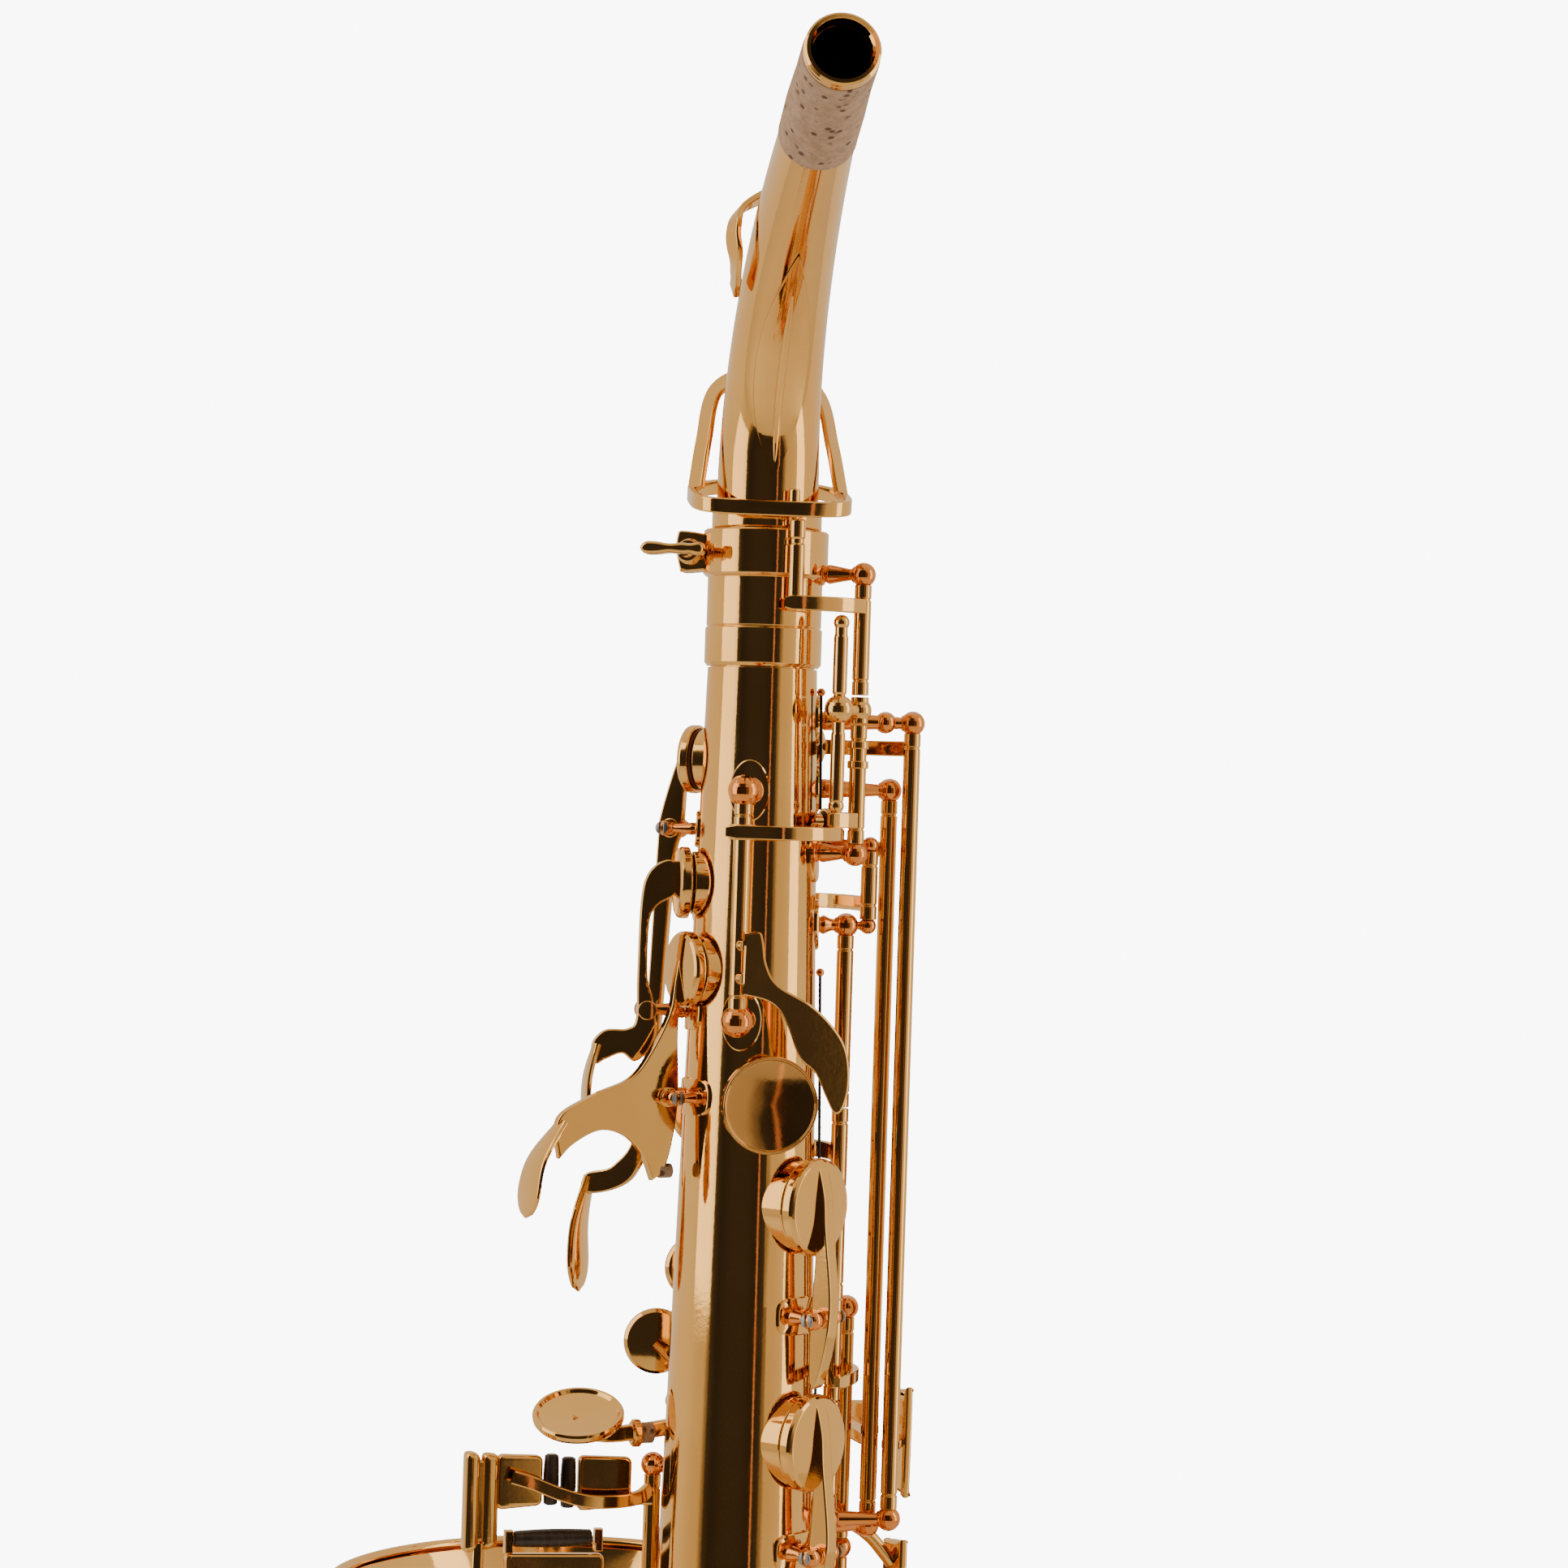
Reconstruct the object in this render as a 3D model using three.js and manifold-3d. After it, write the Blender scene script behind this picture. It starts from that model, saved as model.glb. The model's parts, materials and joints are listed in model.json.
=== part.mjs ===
// An alto saxophone without its mouthpiece, as separate tubes, fittings and keys.
//
// Lengths are millimetres and angles are degrees. The body tube stands along Z. A place on it is given
// by an angle round its axis (0 is +X, the player's right; 90 is +Y, where the bell is; 270 is the
// player), a radius from its axis, and a depth measured down from the top of the neck receiver.
// The finished group is moved so that its origin is the centre of the strap ring's hole.
import * as THREE from "three";
import { mergeVertices } from "three/addons/utils/BufferGeometryUtils.js";
import Module from "manifold-3d";

const wasm = await Module();
wasm.setup();

// ---------------------------------------------------------------- driving dimensions

const fitGap = 0.3; // left between pieces that touch
const tubeWall = 0.9;

const coneRadius = 12.07; // body cone's outer radius at depth 0
const coneTaper = 0.025; // radius gained per millimetre of depth
const bodyEnd = 470;

const receiverLength = 32;
const tenonRadius = coneRadius - 0.07;
const tenonLength = 25;
const receiverBore = tenonRadius + fitGap;
const receiverBand = receiverBore + 2.35; // the thick band that carries the clamp ears

const neckReach = 120;
const neckRise = 91;
const neckStart = 14; // height where the neck starts to bend
const neckTipRadius = 6.9;
const neckAngle = 248;
const corkLength = 42;
const corkThickness = 1.1;

const bowRadius = 46.5; // of the bow's centre line; the bell stands twice this far from the body
const bellTubeRadius = 31; // where the bow ends
const bellRimRadius = 61.5;
const bellRimDepth = 266;
const bowLead = 8; // straight start of the bow, inside its ring
const ringLength = 16;
const bellRingLength = 11;

const chimneyRise = 1.7; // of a tone hole's rim above the tube
const chimneyWall = 0.9;
const cupMargin = 1.9; // of a key cup round its tone hole
const cupHeight = 2.8;
const padProud = 0.5; // how far a pad stands out of its cup
const keyTubeRadius = 2;
const postBallRadius = 2.9;
const armThickness = 2;
const armWidth = 3.6;
const leverThickness = 2.5;
const pearlRadius = 8;
const leverBarrel = 4;
const leverBall = 1.9;
const openGap = 2.8; // between pad and rim of a key that stands open
const bellOpen = 3; // degrees that the two right-hand bell keys stand open
const lowCOpen = -9; // degrees that the low C key stands open

const tubeSides = 20;
const holeSides = 10;
const rodSides = 6;

const strapAngle = 266;
const strapDepth = 262;
const strapStandoff = 12;
const bellAngleRight = 335; // round the bell's axis, where its two right-hand keys are
const bellAngleLeft = 195;

// ---------------------------------------------------------------- places and radii

const toRadians = THREE.MathUtils.degToRad;
const coneAt = (depth) => coneRadius + coneTaper * depth;

function heading(angle, up = 0) {
  return new THREE.Vector3(Math.cos(toRadians(angle)), Math.sin(toRadians(angle)), up);
}

function place(angle, radius, depth) {
  return heading(angle).multiplyScalar(radius).setZ(-depth);
}

const bellCentre = 2 * bowRadius;
const bowTop = bodyEnd + fitGap + bowLead;

function bellPlace(angle, radius, depth) {
  return place(angle, radius, depth).add(new THREE.Vector3(0, bellCentre, 0));
}

// The bell's outer radius: a slow cone that opens quickly near the rim.
const bellProfile = new THREE.CatmullRomCurve3(
  [
    [bellTubeRadius, bowTop],
    [bellTubeRadius * 1.09, bowTop - 60],
    [bellTubeRadius * 1.23, bowTop - 115],
    [bellTubeRadius * 1.42, bowTop - 158],
    [(bellTubeRadius + bellRimRadius) * 0.56, bellRimDepth + 20],
    [bellRimRadius - 1.5, bellRimDepth + 1.2],
  ].map(([radius, depth]) => new THREE.Vector3(radius, -depth, 0)),
);

function bellAt(depth) {
  const points = bellProfile.getPoints(60);
  const next = Math.max(1, points.findIndex((point) => point.y > -depth));
  const [low, high] = [points[next - 1], points[next]];
  return THREE.MathUtils.mapLinear(-depth, low.y, high.y, low.x, high.x);
}

// A closed circle as a profile, round a point at a radius and a height.
function circlePoints(radius, height, size, sides = 8) {
  return Array.from({ length: sides + 1 }, (_, i) => {
    const turn = (2 * Math.PI * (i % sides)) / sides;
    return [radius + size * Math.cos(turn), height + size * Math.sin(turn)];
  });
}

// ---------------------------------------------------------------- solids

function solid(geometry) {
  geometry.deleteAttribute("normal");
  geometry.deleteAttribute("uv");
  const merged = mergeVertices(geometry, 1e-4);
  const triVerts = new Uint32Array(merged.index.array);
  const vertProperties = merged.attributes.position.array;
  const made = new wasm.Manifold(new wasm.Mesh({ numProp: 3, vertProperties, triVerts }));
  if (made.volume() > 0) return made;
  return new wasm.Manifold(
    new wasm.Mesh({ numProp: 3, vertProperties, triVerts: triVerts.reverse() }),
  );
}

const join = (...pieces) => pieces.reduce((whole, piece) => whole.add(piece));
const cut = (whole, ...pieces) => pieces.reduce((left, piece) => left.subtract(piece), whole);

// A profile of [radius, height] pairs turned about an axis that starts at a point.
function turned(profile, from, direction, sides = holeSides) {
  const points = profile.map(([radius, height]) => new THREE.Vector2(radius, height));
  const turn = new THREE.Quaternion().setFromUnitVectors(
    new THREE.Vector3(0, 1, 0),
    direction.clone().normalize(),
  );
  const geometry = new THREE.LatheGeometry(points, sides);
  return solid(geometry.applyQuaternion(turn).translate(from.x, from.y, from.z));
}

function rod(from, to, radius, sides = rodSides) {
  const along = to.clone().sub(from);
  const profile = [[0, 0], [radius, 0], [radius, along.length()], [0, along.length()]];
  return turned(profile, from, along, sides);
}

function ball(centre, radius) {
  return solid(new THREE.SphereGeometry(radius, 6, 4).translate(centre.x, centre.y, centre.z));
}

// A bent wire: rods from point to point, each run a little way past its bend.
function wire(points, radius) {
  const rods = points.slice(1).map((point, i) => {
    const past = point.clone().sub(points[i]).setLength(i < points.length - 2 ? radius * 0.6 : 0);
    return rod(points[i], point.clone().add(past), radius);
  });
  return join(...rods);
}

// A flat outline, thickened both ways, with its own x and y axes in space.
function slab(outline, thickness, origin, xAxis, yAxis) {
  const geometry = new THREE.ExtrudeGeometry(new THREE.Shape(outline), {
    depth: thickness,
    bevelEnabled: false,
    curveSegments: 4,
  }).translate(0, 0, -thickness / 2);
  const basis = new THREE.Matrix4().makeBasis(xAxis, yAxis, xAxis.clone().cross(yAxis));
  return solid(geometry.applyMatrix4(basis.setPosition(origin)));
}

const points2 = (pairs) => pairs.map(([x, y]) => new THREE.Vector2(x, y));
const down = new THREE.Vector3(0, 0, -1);

// A level strip along a curve seen from above, from one point past a second to a third.
function strip(from, past, to, depth, width = armWidth) {
  const flat = (point) => new THREE.Vector2(point.x, point.y);
  const curve = new THREE.QuadraticBezierCurve(flat(from), flat(past), flat(to));
  const steps = [0, 0.2, 0.4, 0.6, 0.8, 1];
  const side = (sign) =>
    steps.map((t) => {
      const tangent = curve.getTangent(t);
      const offset = new THREE.Vector2(-tangent.y, tangent.x);
      return curve.getPoint(t).add(offset.multiplyScalar((sign * armThickness) / 2));
    });
  return slab(
    [...side(1), ...side(-1).reverse()],
    width,
    new THREE.Vector3(0, 0, -depth),
    new THREE.Vector3(1, 0, 0),
    new THREE.Vector3(0, 1, 0),
  );
}

// The body tube's outside, grown by a gap, for seating a piece on it.
function bodyCore(gap) {
  const [top, bottom] = [-10, bodyEnd + 10];
  return turned(
    [
      [0, 0],
      [coneAt(top) + gap, 0],
      [coneAt(bottom) + gap, bottom - top],
      [0, bottom - top],
    ],
    place(0, 0, top),
    down,
    tubeSides,
  );
}

// A straight turned profile laid along a curve in a plane: heights become lengths along the curve.
function bentTube(profile, curve, sides, across) {
  const geometry = new THREE.LatheGeometry(points2(profile), sides);
  const position = geometry.attributes.position;
  const length = curve.getLength();
  for (let i = 0; i < position.count; i++) {
    const u = THREE.MathUtils.clamp(position.getY(i) / length, 0, 1);
    const centre = curve.getPointAt(u);
    const outward = curve.getTangentAt(u).cross(across);
    centre.addScaledVector(outward, position.getX(i));
    centre.addScaledVector(across, position.getZ(i));
    position.setXYZ(i, centre.x, centre.y, centre.z);
  }
  return solid(geometry);
}

// ---------------------------------------------------------------- meshes and hinges

const instrument = new THREE.Group();

const finishes = {
  brass: { color: 0xd4a25d, roughness: 0.16, metalness: 1 },
  darkBrass: { color: 0xba6c34, roughness: 0.18, metalness: 1 },
  cork: { color: 0xa57c5c, roughness: 0.9, metalness: 0 },
  pad: { color: 0x5a3322, roughness: 0.75, metalness: 0 },
  roller: { color: 0x372d2c, roughness: 0.35, metalness: 0 },
};

function add(name, manifold, finish = "brass", parent = instrument) {
  const { vertProperties, triVerts } = manifold.getMesh();
  const geometry = new THREE.BufferGeometry();
  geometry.setAttribute("position", new THREE.BufferAttribute(vertProperties, 3));
  geometry.setIndex(new THREE.BufferAttribute(triVerts, 1));
  geometry.computeVertexNormals();
  const mesh = new THREE.Mesh(geometry, new THREE.MeshStandardMaterial(finishes[finish]));
  mesh.name = name;
  parent.add(mesh);
  return mesh;
}

// An upright hinge beside the body tube, clear of the cone down to its lowest post.
function hinge(angle, standoff, lowest) {
  return { angle, radius: coneAt(lowest) + standoff };
}

const onHinge = ({ angle, radius }, depth) => place(angle, radius, depth);

const hinges = {
  octave: hinge(317, 9.8, 75),
  thumb: hinge(233, 6.6, 114),
  highE: hinge(341, 18.5, 232),
  highFSharp: hinge(347, 14.2, 234),
  frontF: hinge(340, 12.6, 92),
  upper: hinge(340, 3.9, 232),
  side: hinge(356, 8.4, 262),
  gSharp: hinge(98, 7.2, 252.5),
  lowBFlat: hinge(98, 7.2, 252.5),
  lowB: hinge(112, 4.2, 408),
  lowCSharp: hinge(130, 4.6, 433),
  lower: hinge(330, 6.7, 388),
  lowE: hinge(16, 8, bodyEnd),
};

function keyTube(axis, from, to, radius = keyTubeRadius) {
  return rod(onHinge(axis, from), onHinge(axis, to), radius);
}

// How far a hinge tube stops from the middle of its post's ball.
const postClear = postBallRadius + fitGap;

// A key is made closed. One that stands open is turned back about its hinge to its rest.
function addKey(name, axis, manifold, openAngle = 0, extras = []) {
  const pivot = onHinge(axis, 0);
  const turning = new THREE.Group();
  turning.position.copy(pivot);
  turning.rotation.z = toRadians(openAngle);
  instrument.add(turning);
  const back = pivot.clone().negate();
  add(name, manifold, "brass", turning).position.copy(back);
  for (const [extraName, extraManifold, finish] of extras) {
    add(extraName, extraManifold, finish, turning).position.copy(back);
  }
}

// ---------------------------------------------------------------- tone holes, cups and posts

const toneHoles = {
  palmF: { angle: 131, depth: 54, hole: 6.2, rise: 1.1 },
  palmEFlat: { angle: 161, depth: 83, hole: 6.5, rise: 1.1 },
  palmD: { angle: 179, depth: 103, hole: 7, rise: 1.1 },
  highE: { angle: 34, depth: 50, hole: 6.5, rise: chimneyRise },
  highFSharp: { angle: 75, depth: 74, hole: 6, rise: chimneyRise },
  octave: { angle: 0, depth: 68, hole: 1.3, rise: 3 },
  c: { angle: 62, depth: 124, hole: 6, rise: chimneyRise },
  b: { angle: 62, depth: 146, hole: 8.5, rise: chimneyRise },
  bis: { angle: 62, depth: 168.5, hole: 8.8, rise: chimneyRise },
  a: { angle: 62, depth: 191.5, hole: 9.5, rise: chimneyRise },
  g: { angle: 62, depth: 216.5, hole: 10.3, rise: chimneyRise },
  gSharp: { angle: 62, depth: 242, hole: 9, rise: chimneyRise },
  sideC: { angle: 296, depth: 157, hole: 9.5, rise: chimneyRise },
  sideBFlat: { angle: 296, depth: 211.6, hole: 9.5, rise: chimneyRise },
  fSharp: { angle: 50, depth: 270, hole: 11.5, rise: chimneyRise },
  f: { angle: 50, depth: 303, hole: 12.3, rise: chimneyRise },
  e: { angle: 50, depth: 337, hole: 13, rise: chimneyRise },
  d: { angle: 50, depth: 373, hole: 13.8, rise: chimneyRise },
  lowEFlat: { angle: 336, depth: 411, hole: 13, rise: chimneyRise },
};

// Where a tone hole's rim and its closed pad and cup lie, from the tube's axis outward.
function stack({ depth, hole, rise }) {
  const rim = coneAt(depth) + rise;
  const pad = rim + fitGap;
  const cup = pad + padProud;
  return { rim, pad, cup, top: cup + cupHeight, cupRadius: hole + cupMargin };
}

function chimney({ angle, depth, hole }, rim) {
  return rod(place(angle, 0, depth), place(angle, rim, depth), hole + chimneyWall, holeSides);
}

function toneBore({ angle, depth, hole }, rim) {
  return rod(place(angle, 0, depth), place(angle, rim + 1, depth), hole, holeSides);
}

// A cup with its pad in it: a low dome, with the pad standing proud of its skirt.
function cupAt(from, direction, radius, height = cupHeight) {
  return turned(
    [
      [0, -padProud],
      [radius - 0.7, -padProud],
      [radius - 0.7, 0],
      [radius, 0],
      [radius, height * 0.75],
      [0, height + 0.5],
    ],
    from,
    direction,
    14,
  );
}

// A hollow cup and the pad that fits in it, as two solids.
function cupAndPad(from, direction, radius, height = cupHeight) {
  const cup = turned(
    [
      [0, 1.4],
      [radius - 0.7, 1.4],
      [radius - 0.7, 0],
      [radius, 0],
      [radius, height * 0.75],
      [0, height + 0.5],
    ],
    from,
    direction,
    14,
  );
  const padRadius = radius - 0.7 - fitGap;
  const pad = turned(
    [
      [0, -padProud],
      [padRadius, -padProud],
      [padRadius, 1.4 - fitGap],
      [0, 1.4 - fitGap],
    ],
    from,
    direction,
  );
  return { cup, pad };
}

// A post: a stem out of the tube with a ball on a hinge's line.
function post(axis, depth, ballRadius = postBallRadius) {
  const foot = place(axis.angle, coneAt(depth) - tubeWall / 2, depth);
  return ballPost(foot, onHinge(axis, depth), ballRadius);
}

// A tapered stem from a foot to a ball, turned in one piece.
function ballPost(foot, centre, size) {
  const along = centre.clone().sub(foot);
  const length = along.length();
  return turned(
    [
      [0, 0],
      [size * 0.6, 0],
      [size * 0.5, length - size],
      [size, length],
      [size * 0.5, length + size * 0.9],
      [0, length + size * 0.9],
    ],
    foot,
    along,
    6,
  );
}

// A pair of small posts that hold a lever's barrel between them.
function leverPosts({ angle, pivotDepth, pivotRadius, sides = [-1, 1] }) {
  const tangent = heading(angle + 90);
  const reach = leverBarrel / 2 + fitGap + leverBall;
  return join(
    ...sides.map((side) => {
      const centre = place(angle, pivotRadius, pivotDepth).addScaledVector(tangent, side * reach);
      const foot = place(angle, coneAt(pivotDepth) * 0.9, pivotDepth);
      foot.addScaledVector(tangent, side * reach * 0.8);
      return ballPost(foot, centre, leverBall);
    }),
  );
}

// ---------------------------------------------------------------- levers across the tube

const palmLevers = {
  palm_d: { angle: 179, pivotDepth: 132.6, pivotRadius: coneAt(132.6) + 6.3, hole: toneHoles.palmD },
  palm_e_flat: {
    angle: 161, pivotDepth: 113, pivotRadius: coneAt(113) + 10, hole: toneHoles.palmEFlat, sides: [-1],
  },
  palm_f: { angle: 131, pivotDepth: 70.4, pivotRadius: coneAt(70.4) + 7.7, hole: toneHoles.palmF },
};

const sideLevers = {
  side_c_lever: {
    angle: 296, pivotDepth: 182.5, pivotRadius: coneAt(182.5) + 6.5, hole: toneHoles.sideC,
  },
  side_b_flat_lever: {
    angle: 296, pivotDepth: 237, pivotRadius: coneAt(237) + 6.5, hole: toneHoles.sideBFlat,
  },
};

// A lever's plate, drawn as [radius, depth] in the upright plane at its angle.
function fin(angle, outline, thickness = leverThickness) {
  return slab(points2(outline), thickness, new THREE.Vector3(), heading(angle), down.clone());
}

// A finger plate standing across a lever, from one [radius, depth] to another.
function paddle(angle, [fromRadius, fromDepth], [toRadius, toDepth], width) {
  const from = place(angle, fromRadius, fromDepth);
  const along = place(angle, toRadius, toDepth).sub(from);
  const length = along.length();
  const half = width / 2;
  const outline = new THREE.Shape(points2([[-half * 0.5, 0], [half * 0.5, 0], [half, length * 0.3]]));
  outline.quadraticCurveTo(half, length * 0.85, 0, length);
  outline.quadraticCurveTo(-half, length * 0.85, -half, length * 0.3);
  return slab(outline.getPoints(4), 1.8, from, heading(angle + 90), along.normalize());
}

function barrel({ angle, pivotDepth, pivotRadius }) {
  const centre = place(angle, pivotRadius, pivotDepth);
  const half = heading(angle + 90).multiplyScalar(leverBarrel / 2);
  return rod(centre.clone().sub(half), centre.clone().add(half), 2.3);
}

function addLever(name, lever, plate, ...more) {
  const seats = stack(lever.hole);
  const seat = place(lever.angle, seats.cup, lever.hole.depth);
  const { cup, pad } = cupAndPad(seat, heading(lever.angle), seats.cupRadius);
  add(name, join(cup, fin(lever.angle, plate), barrel(lever), ...more));
  add(name + "_pad", pad, "pad");
}

function addPalmKeys() {
  const d = palmLevers.palm_d;
  const dTop = stack(d.hole).top;
  const dDepth = d.hole.depth;
  const dPivot = d.pivotRadius;
  addLever(
    "palm_d",
    d,
    [
      [dTop - 0.6, dDepth - 5],
      [dTop + 1.6, dDepth + 2],
      [dPivot + 4.6, d.pivotDepth - 10.5],
      [dPivot + 16.6, d.pivotDepth - 1.5],
      [dPivot + 27, d.pivotDepth + 4],
      [dPivot + 28, d.pivotDepth + 8],
      [dPivot + 26, d.pivotDepth + 14],
      [dPivot + 20.5, d.pivotDepth + 10],
      [dPivot + 14, d.pivotDepth + 9],
      [dPivot + 7, d.pivotDepth + 12.5],
      [dPivot + 3, d.pivotDepth + 18.5],
      [dPivot - 1.6, d.pivotDepth + 14],
      [dPivot - 2.7, d.pivotDepth],
      [dTop - 0.2, dDepth + 12],
    ],
    paddle(d.angle, [dPivot + 26.6, d.pivotDepth + 4], [dPivot + 34.5, d.pivotDepth + 27], 11),
  );
  const eFlat = palmLevers.palm_e_flat;
  const eTop = stack(eFlat.hole).top;
  const eDepth = eFlat.hole.depth;
  const ePivot = eFlat.pivotRadius;
  addLever(
    "palm_e_flat",
    eFlat,
    [
      [eTop - 0.6, eDepth - 3],
      [eTop + 2.4, eDepth - 5],
      [ePivot + 1.4, eDepth + 1],
      [ePivot + 2.2, eDepth + 6],
      [ePivot + 2.4, eFlat.pivotDepth + 2],
      [ePivot + 8, eFlat.pivotDepth + 4.6],
      [ePivot + 12, eFlat.pivotDepth + 6],
      [ePivot + 13.2, eFlat.pivotDepth + 10],
      [ePivot + 11.4, eFlat.pivotDepth + 13],
      [ePivot + 6, eFlat.pivotDepth + 10],
      [ePivot + 2.4, eFlat.pivotDepth + 12],
      [ePivot - 2.4, eFlat.pivotDepth + 8],
      [ePivot - 1.4, eFlat.pivotDepth - 2],
      [ePivot, eFlat.pivotDepth - 4],
      [ePivot, eDepth + 10],
      [ePivot - 1.4, eDepth + 7.5],
      [eTop - 0.6, eDepth + 5],
    ],
    paddle(eFlat.angle, [ePivot + 12.6, eFlat.pivotDepth + 7], [ePivot + 13.6, eFlat.pivotDepth + 25], 11),
  );
  const f = palmLevers.palm_f;
  const fTop = stack(f.hole).top;
  const fPivot = f.pivotRadius;
  const fEnd = f.pivotDepth + 82;
  addLever(
    "palm_f",
    f,
    [
      [fTop - 0.6, f.hole.depth - 3],
      [fTop + 1.6, f.hole.depth - 2],
      [fPivot + 2.6, f.pivotDepth - 4],
      [fPivot + 3.4, f.pivotDepth + 4],
      [fPivot + 6.4, fEnd - 10],
      [fPivot + 12, fEnd - 1],
      [fPivot + 19.6, fEnd + 1],
      [fPivot + 19.6, fEnd + 6],
      [fPivot + 12, fEnd + 5],
      [fPivot + 6, fEnd],
      [fPivot + 3.2, fEnd - 10],
      [fPivot - 1, f.pivotDepth + 8],
      [fPivot - 2.6, f.pivotDepth],
    ],
    paddle(f.angle, [fPivot + 19.6, fEnd + 1], [fPivot + 20.6, fEnd + 29], 11),
  );
}

function addSideLevers() {
  for (const [name, lever] of Object.entries(sideLevers)) {
    const top = stack(lever.hole).top;
    const { pivotDepth, pivotRadius } = lever;
    const { depth } = lever.hole;
    addLever(name, lever, [
      [top - 0.6, depth - 9],
      [top + 2.6, depth + 3],
      [pivotRadius + 3, pivotDepth - 4],
      [pivotRadius + 1.6, pivotDepth + 9],
      [pivotRadius - 0.6, pivotDepth + 16],
      [pivotRadius - 2.4, pivotDepth + 16],
      [pivotRadius - 2.4, pivotDepth + 4],
      [top - 0.4, depth + 9],
    ]);
  }
}

// ---------------------------------------------------------------- static pieces

function bodyTube() {
  const spigot = receiverBore - fitGap;
  const shoulder = receiverLength + fitGap;
  const shell = turned(
    [
      [0, 0],
      [spigot, 0],
      [spigot, shoulder - tenonLength - 1.5],
      [coneAt(shoulder), shoulder - tenonLength - 1.5],
      [coneAt(bodyEnd), bodyEnd - tenonLength - 1.5],
      [0, bodyEnd - tenonLength - 1.5],
    ],
    place(0, 0, tenonLength + 1.5),
    down,
    tubeSides,
  );
  const bore = turned(
    [
      [0, 0],
      [coneAt(0) - 2 * tubeWall, 0],
      [coneAt(bodyEnd + 1) - tubeWall, bodyEnd + 1],
      [0, bodyEnd + 1],
    ],
    place(0, 0, 0),
    down,
    tubeSides,
  );
  const holes = Object.values(toneHoles);
  const withChimneys = join(shell, ...holes.map((hole) => chimney(hole, stack(hole).rim)));
  const bored = cut(withChimneys, bore, ...holes.map((hole) => toneBore(hole, stack(hole).rim)));
  const posts = [
    ["octave", 75],
    ["thumb", 61], ["thumb", 114],
    ["highE", 44], ["highE", 232],
    ["highFSharp", 60], ["highFSharp", 234],
    ["frontF", 73], ["frontF", 92],
    ["upper", 92], ["upper", 232],
    ["side", 183], ["side", 240], ["side", 262],
    ["gSharp", 208], ["gSharp", 252.5],
    ["lowBFlat", 354],
    ["lowB", 222.7], ["lowB", 408],
    ["lowCSharp", 256], ["lowCSharp", 433],
    ["lower", 258], ["lower", 390],
    ["lowE", 393], ["lowE", 432],
  ].map(([axis, depth]) => post(hinges[axis], depth, axis === "frontF" ? 2 : postBallRadius));
  const levers = [...Object.values(palmLevers), ...Object.values(sideLevers)].map(leverPosts);
  const clearBore = cut(join(...posts, ...levers), bore);
  return join(bored, clearBore);
}

function neckReceiver() {
  const rings = turned(
    [
      [receiverBore, 0],
      [receiverBand, 0],
      [receiverBand, 10.8],
      [receiverBore + 1.2, 11.2],
      [receiverBore + 1.2, 21.6],
      [receiverBore + 1.45, 22],
      [receiverBore + 1.45, receiverLength - 0.4],
      [receiverBore + 0.8, receiverLength],
      [receiverBore, receiverLength],
      [receiverBore, 0],
    ],
    place(0, 0, 0),
    down,
    tubeSides,
  );
  const ear = slab(
    points2([
      [receiverBore + 1, 1.2],
      [receiverBore + 7.6, 0.6],
      [receiverBore + 8.4, 5],
      [receiverBore + 7.2, 10],
      [receiverBore + 1, 9.6],
    ]),
    earSpread * 2,
    new THREE.Vector3(),
    heading(clampAngle),
    down.clone(),
  );
  const slot = slab(
    points2([[0, -1], [receiverBore + 12, -1], [receiverBore + 12, 14], [0, 14]]),
    1.6,
    new THREE.Vector3(),
    heading(clampAngle),
    down.clone(),
  );
  const screwHole = rod(
    clampPoint.clone().addScaledVector(clampAxis, -10),
    clampPoint.clone().addScaledVector(clampAxis, 10),
    screwRadius + fitGap,
  );
  const octavePost = post(hinges.octave, 9.9);
  const inside = rod(place(0, 0, -1), place(0, 0, receiverLength + 1), receiverBore, tubeSides);
  return join(cut(join(rings, ear), slot, screwHole, inside), cut(octavePost, inside));
}

const clampAngle = 144;
const earSpread = 4;
const screwRadius = 1.6;
const clampAxis = heading(clampAngle + 90);
const clampPoint = place(clampAngle, receiverBore + 5, 5.5);

function neckScrew() {
  const shank = rod(
    clampPoint.clone().addScaledVector(clampAxis, -earSpread - 1),
    clampPoint.clone().addScaledVector(clampAxis, earSpread + 10),
    screwRadius,
  );
  const collar = rod(
    clampPoint.clone().addScaledVector(clampAxis, earSpread + fitGap),
    clampPoint.clone().addScaledVector(clampAxis, earSpread + 4.5),
    screwRadius * 1.9,
  );
  const wing = slab(
    points2([
      [-9.8, 0], [-8, -1.5], [-3, -1.2], [2, -1.2], [4.4, -1.5], [5.2, 0],
      [4.4, 1.5], [2, 1.2], [-3, 1.2], [-8, 1.5],
    ]),
    5,
    clampPoint.clone().addScaledVector(clampAxis, earSpread + 11.5),
    heading(clampAngle + 180),
    down.clone(),
  );
  return join(shank, collar, wing);
}

// A short straight start, then half a circle from the body's axis over to the bell's.
class BowCurve extends THREE.Curve {
  getPoint(share, target = new THREE.Vector3()) {
    const length = share * (bowLead + Math.PI * bowRadius);
    const turn = Math.max(0, length - bowLead) / bowRadius;
    return target.set(
      0,
      bowRadius - bowRadius * Math.cos(turn),
      -bowTop + Math.max(0, bowLead - length) - bowRadius * Math.sin(turn),
    );
  }
}

const bowCurve = new BowCurve();
const bowLength = bowCurve.getLength();
const bowStartRadius = coneAt(bodyEnd);
const bowAt = (share) => THREE.MathUtils.lerp(bowStartRadius, bellTubeRadius, share);
const bowSides = 20;
const lowCTurn = 60; // degrees round the bow to the low C tone hole
const lowCHole = 14.5;

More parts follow.
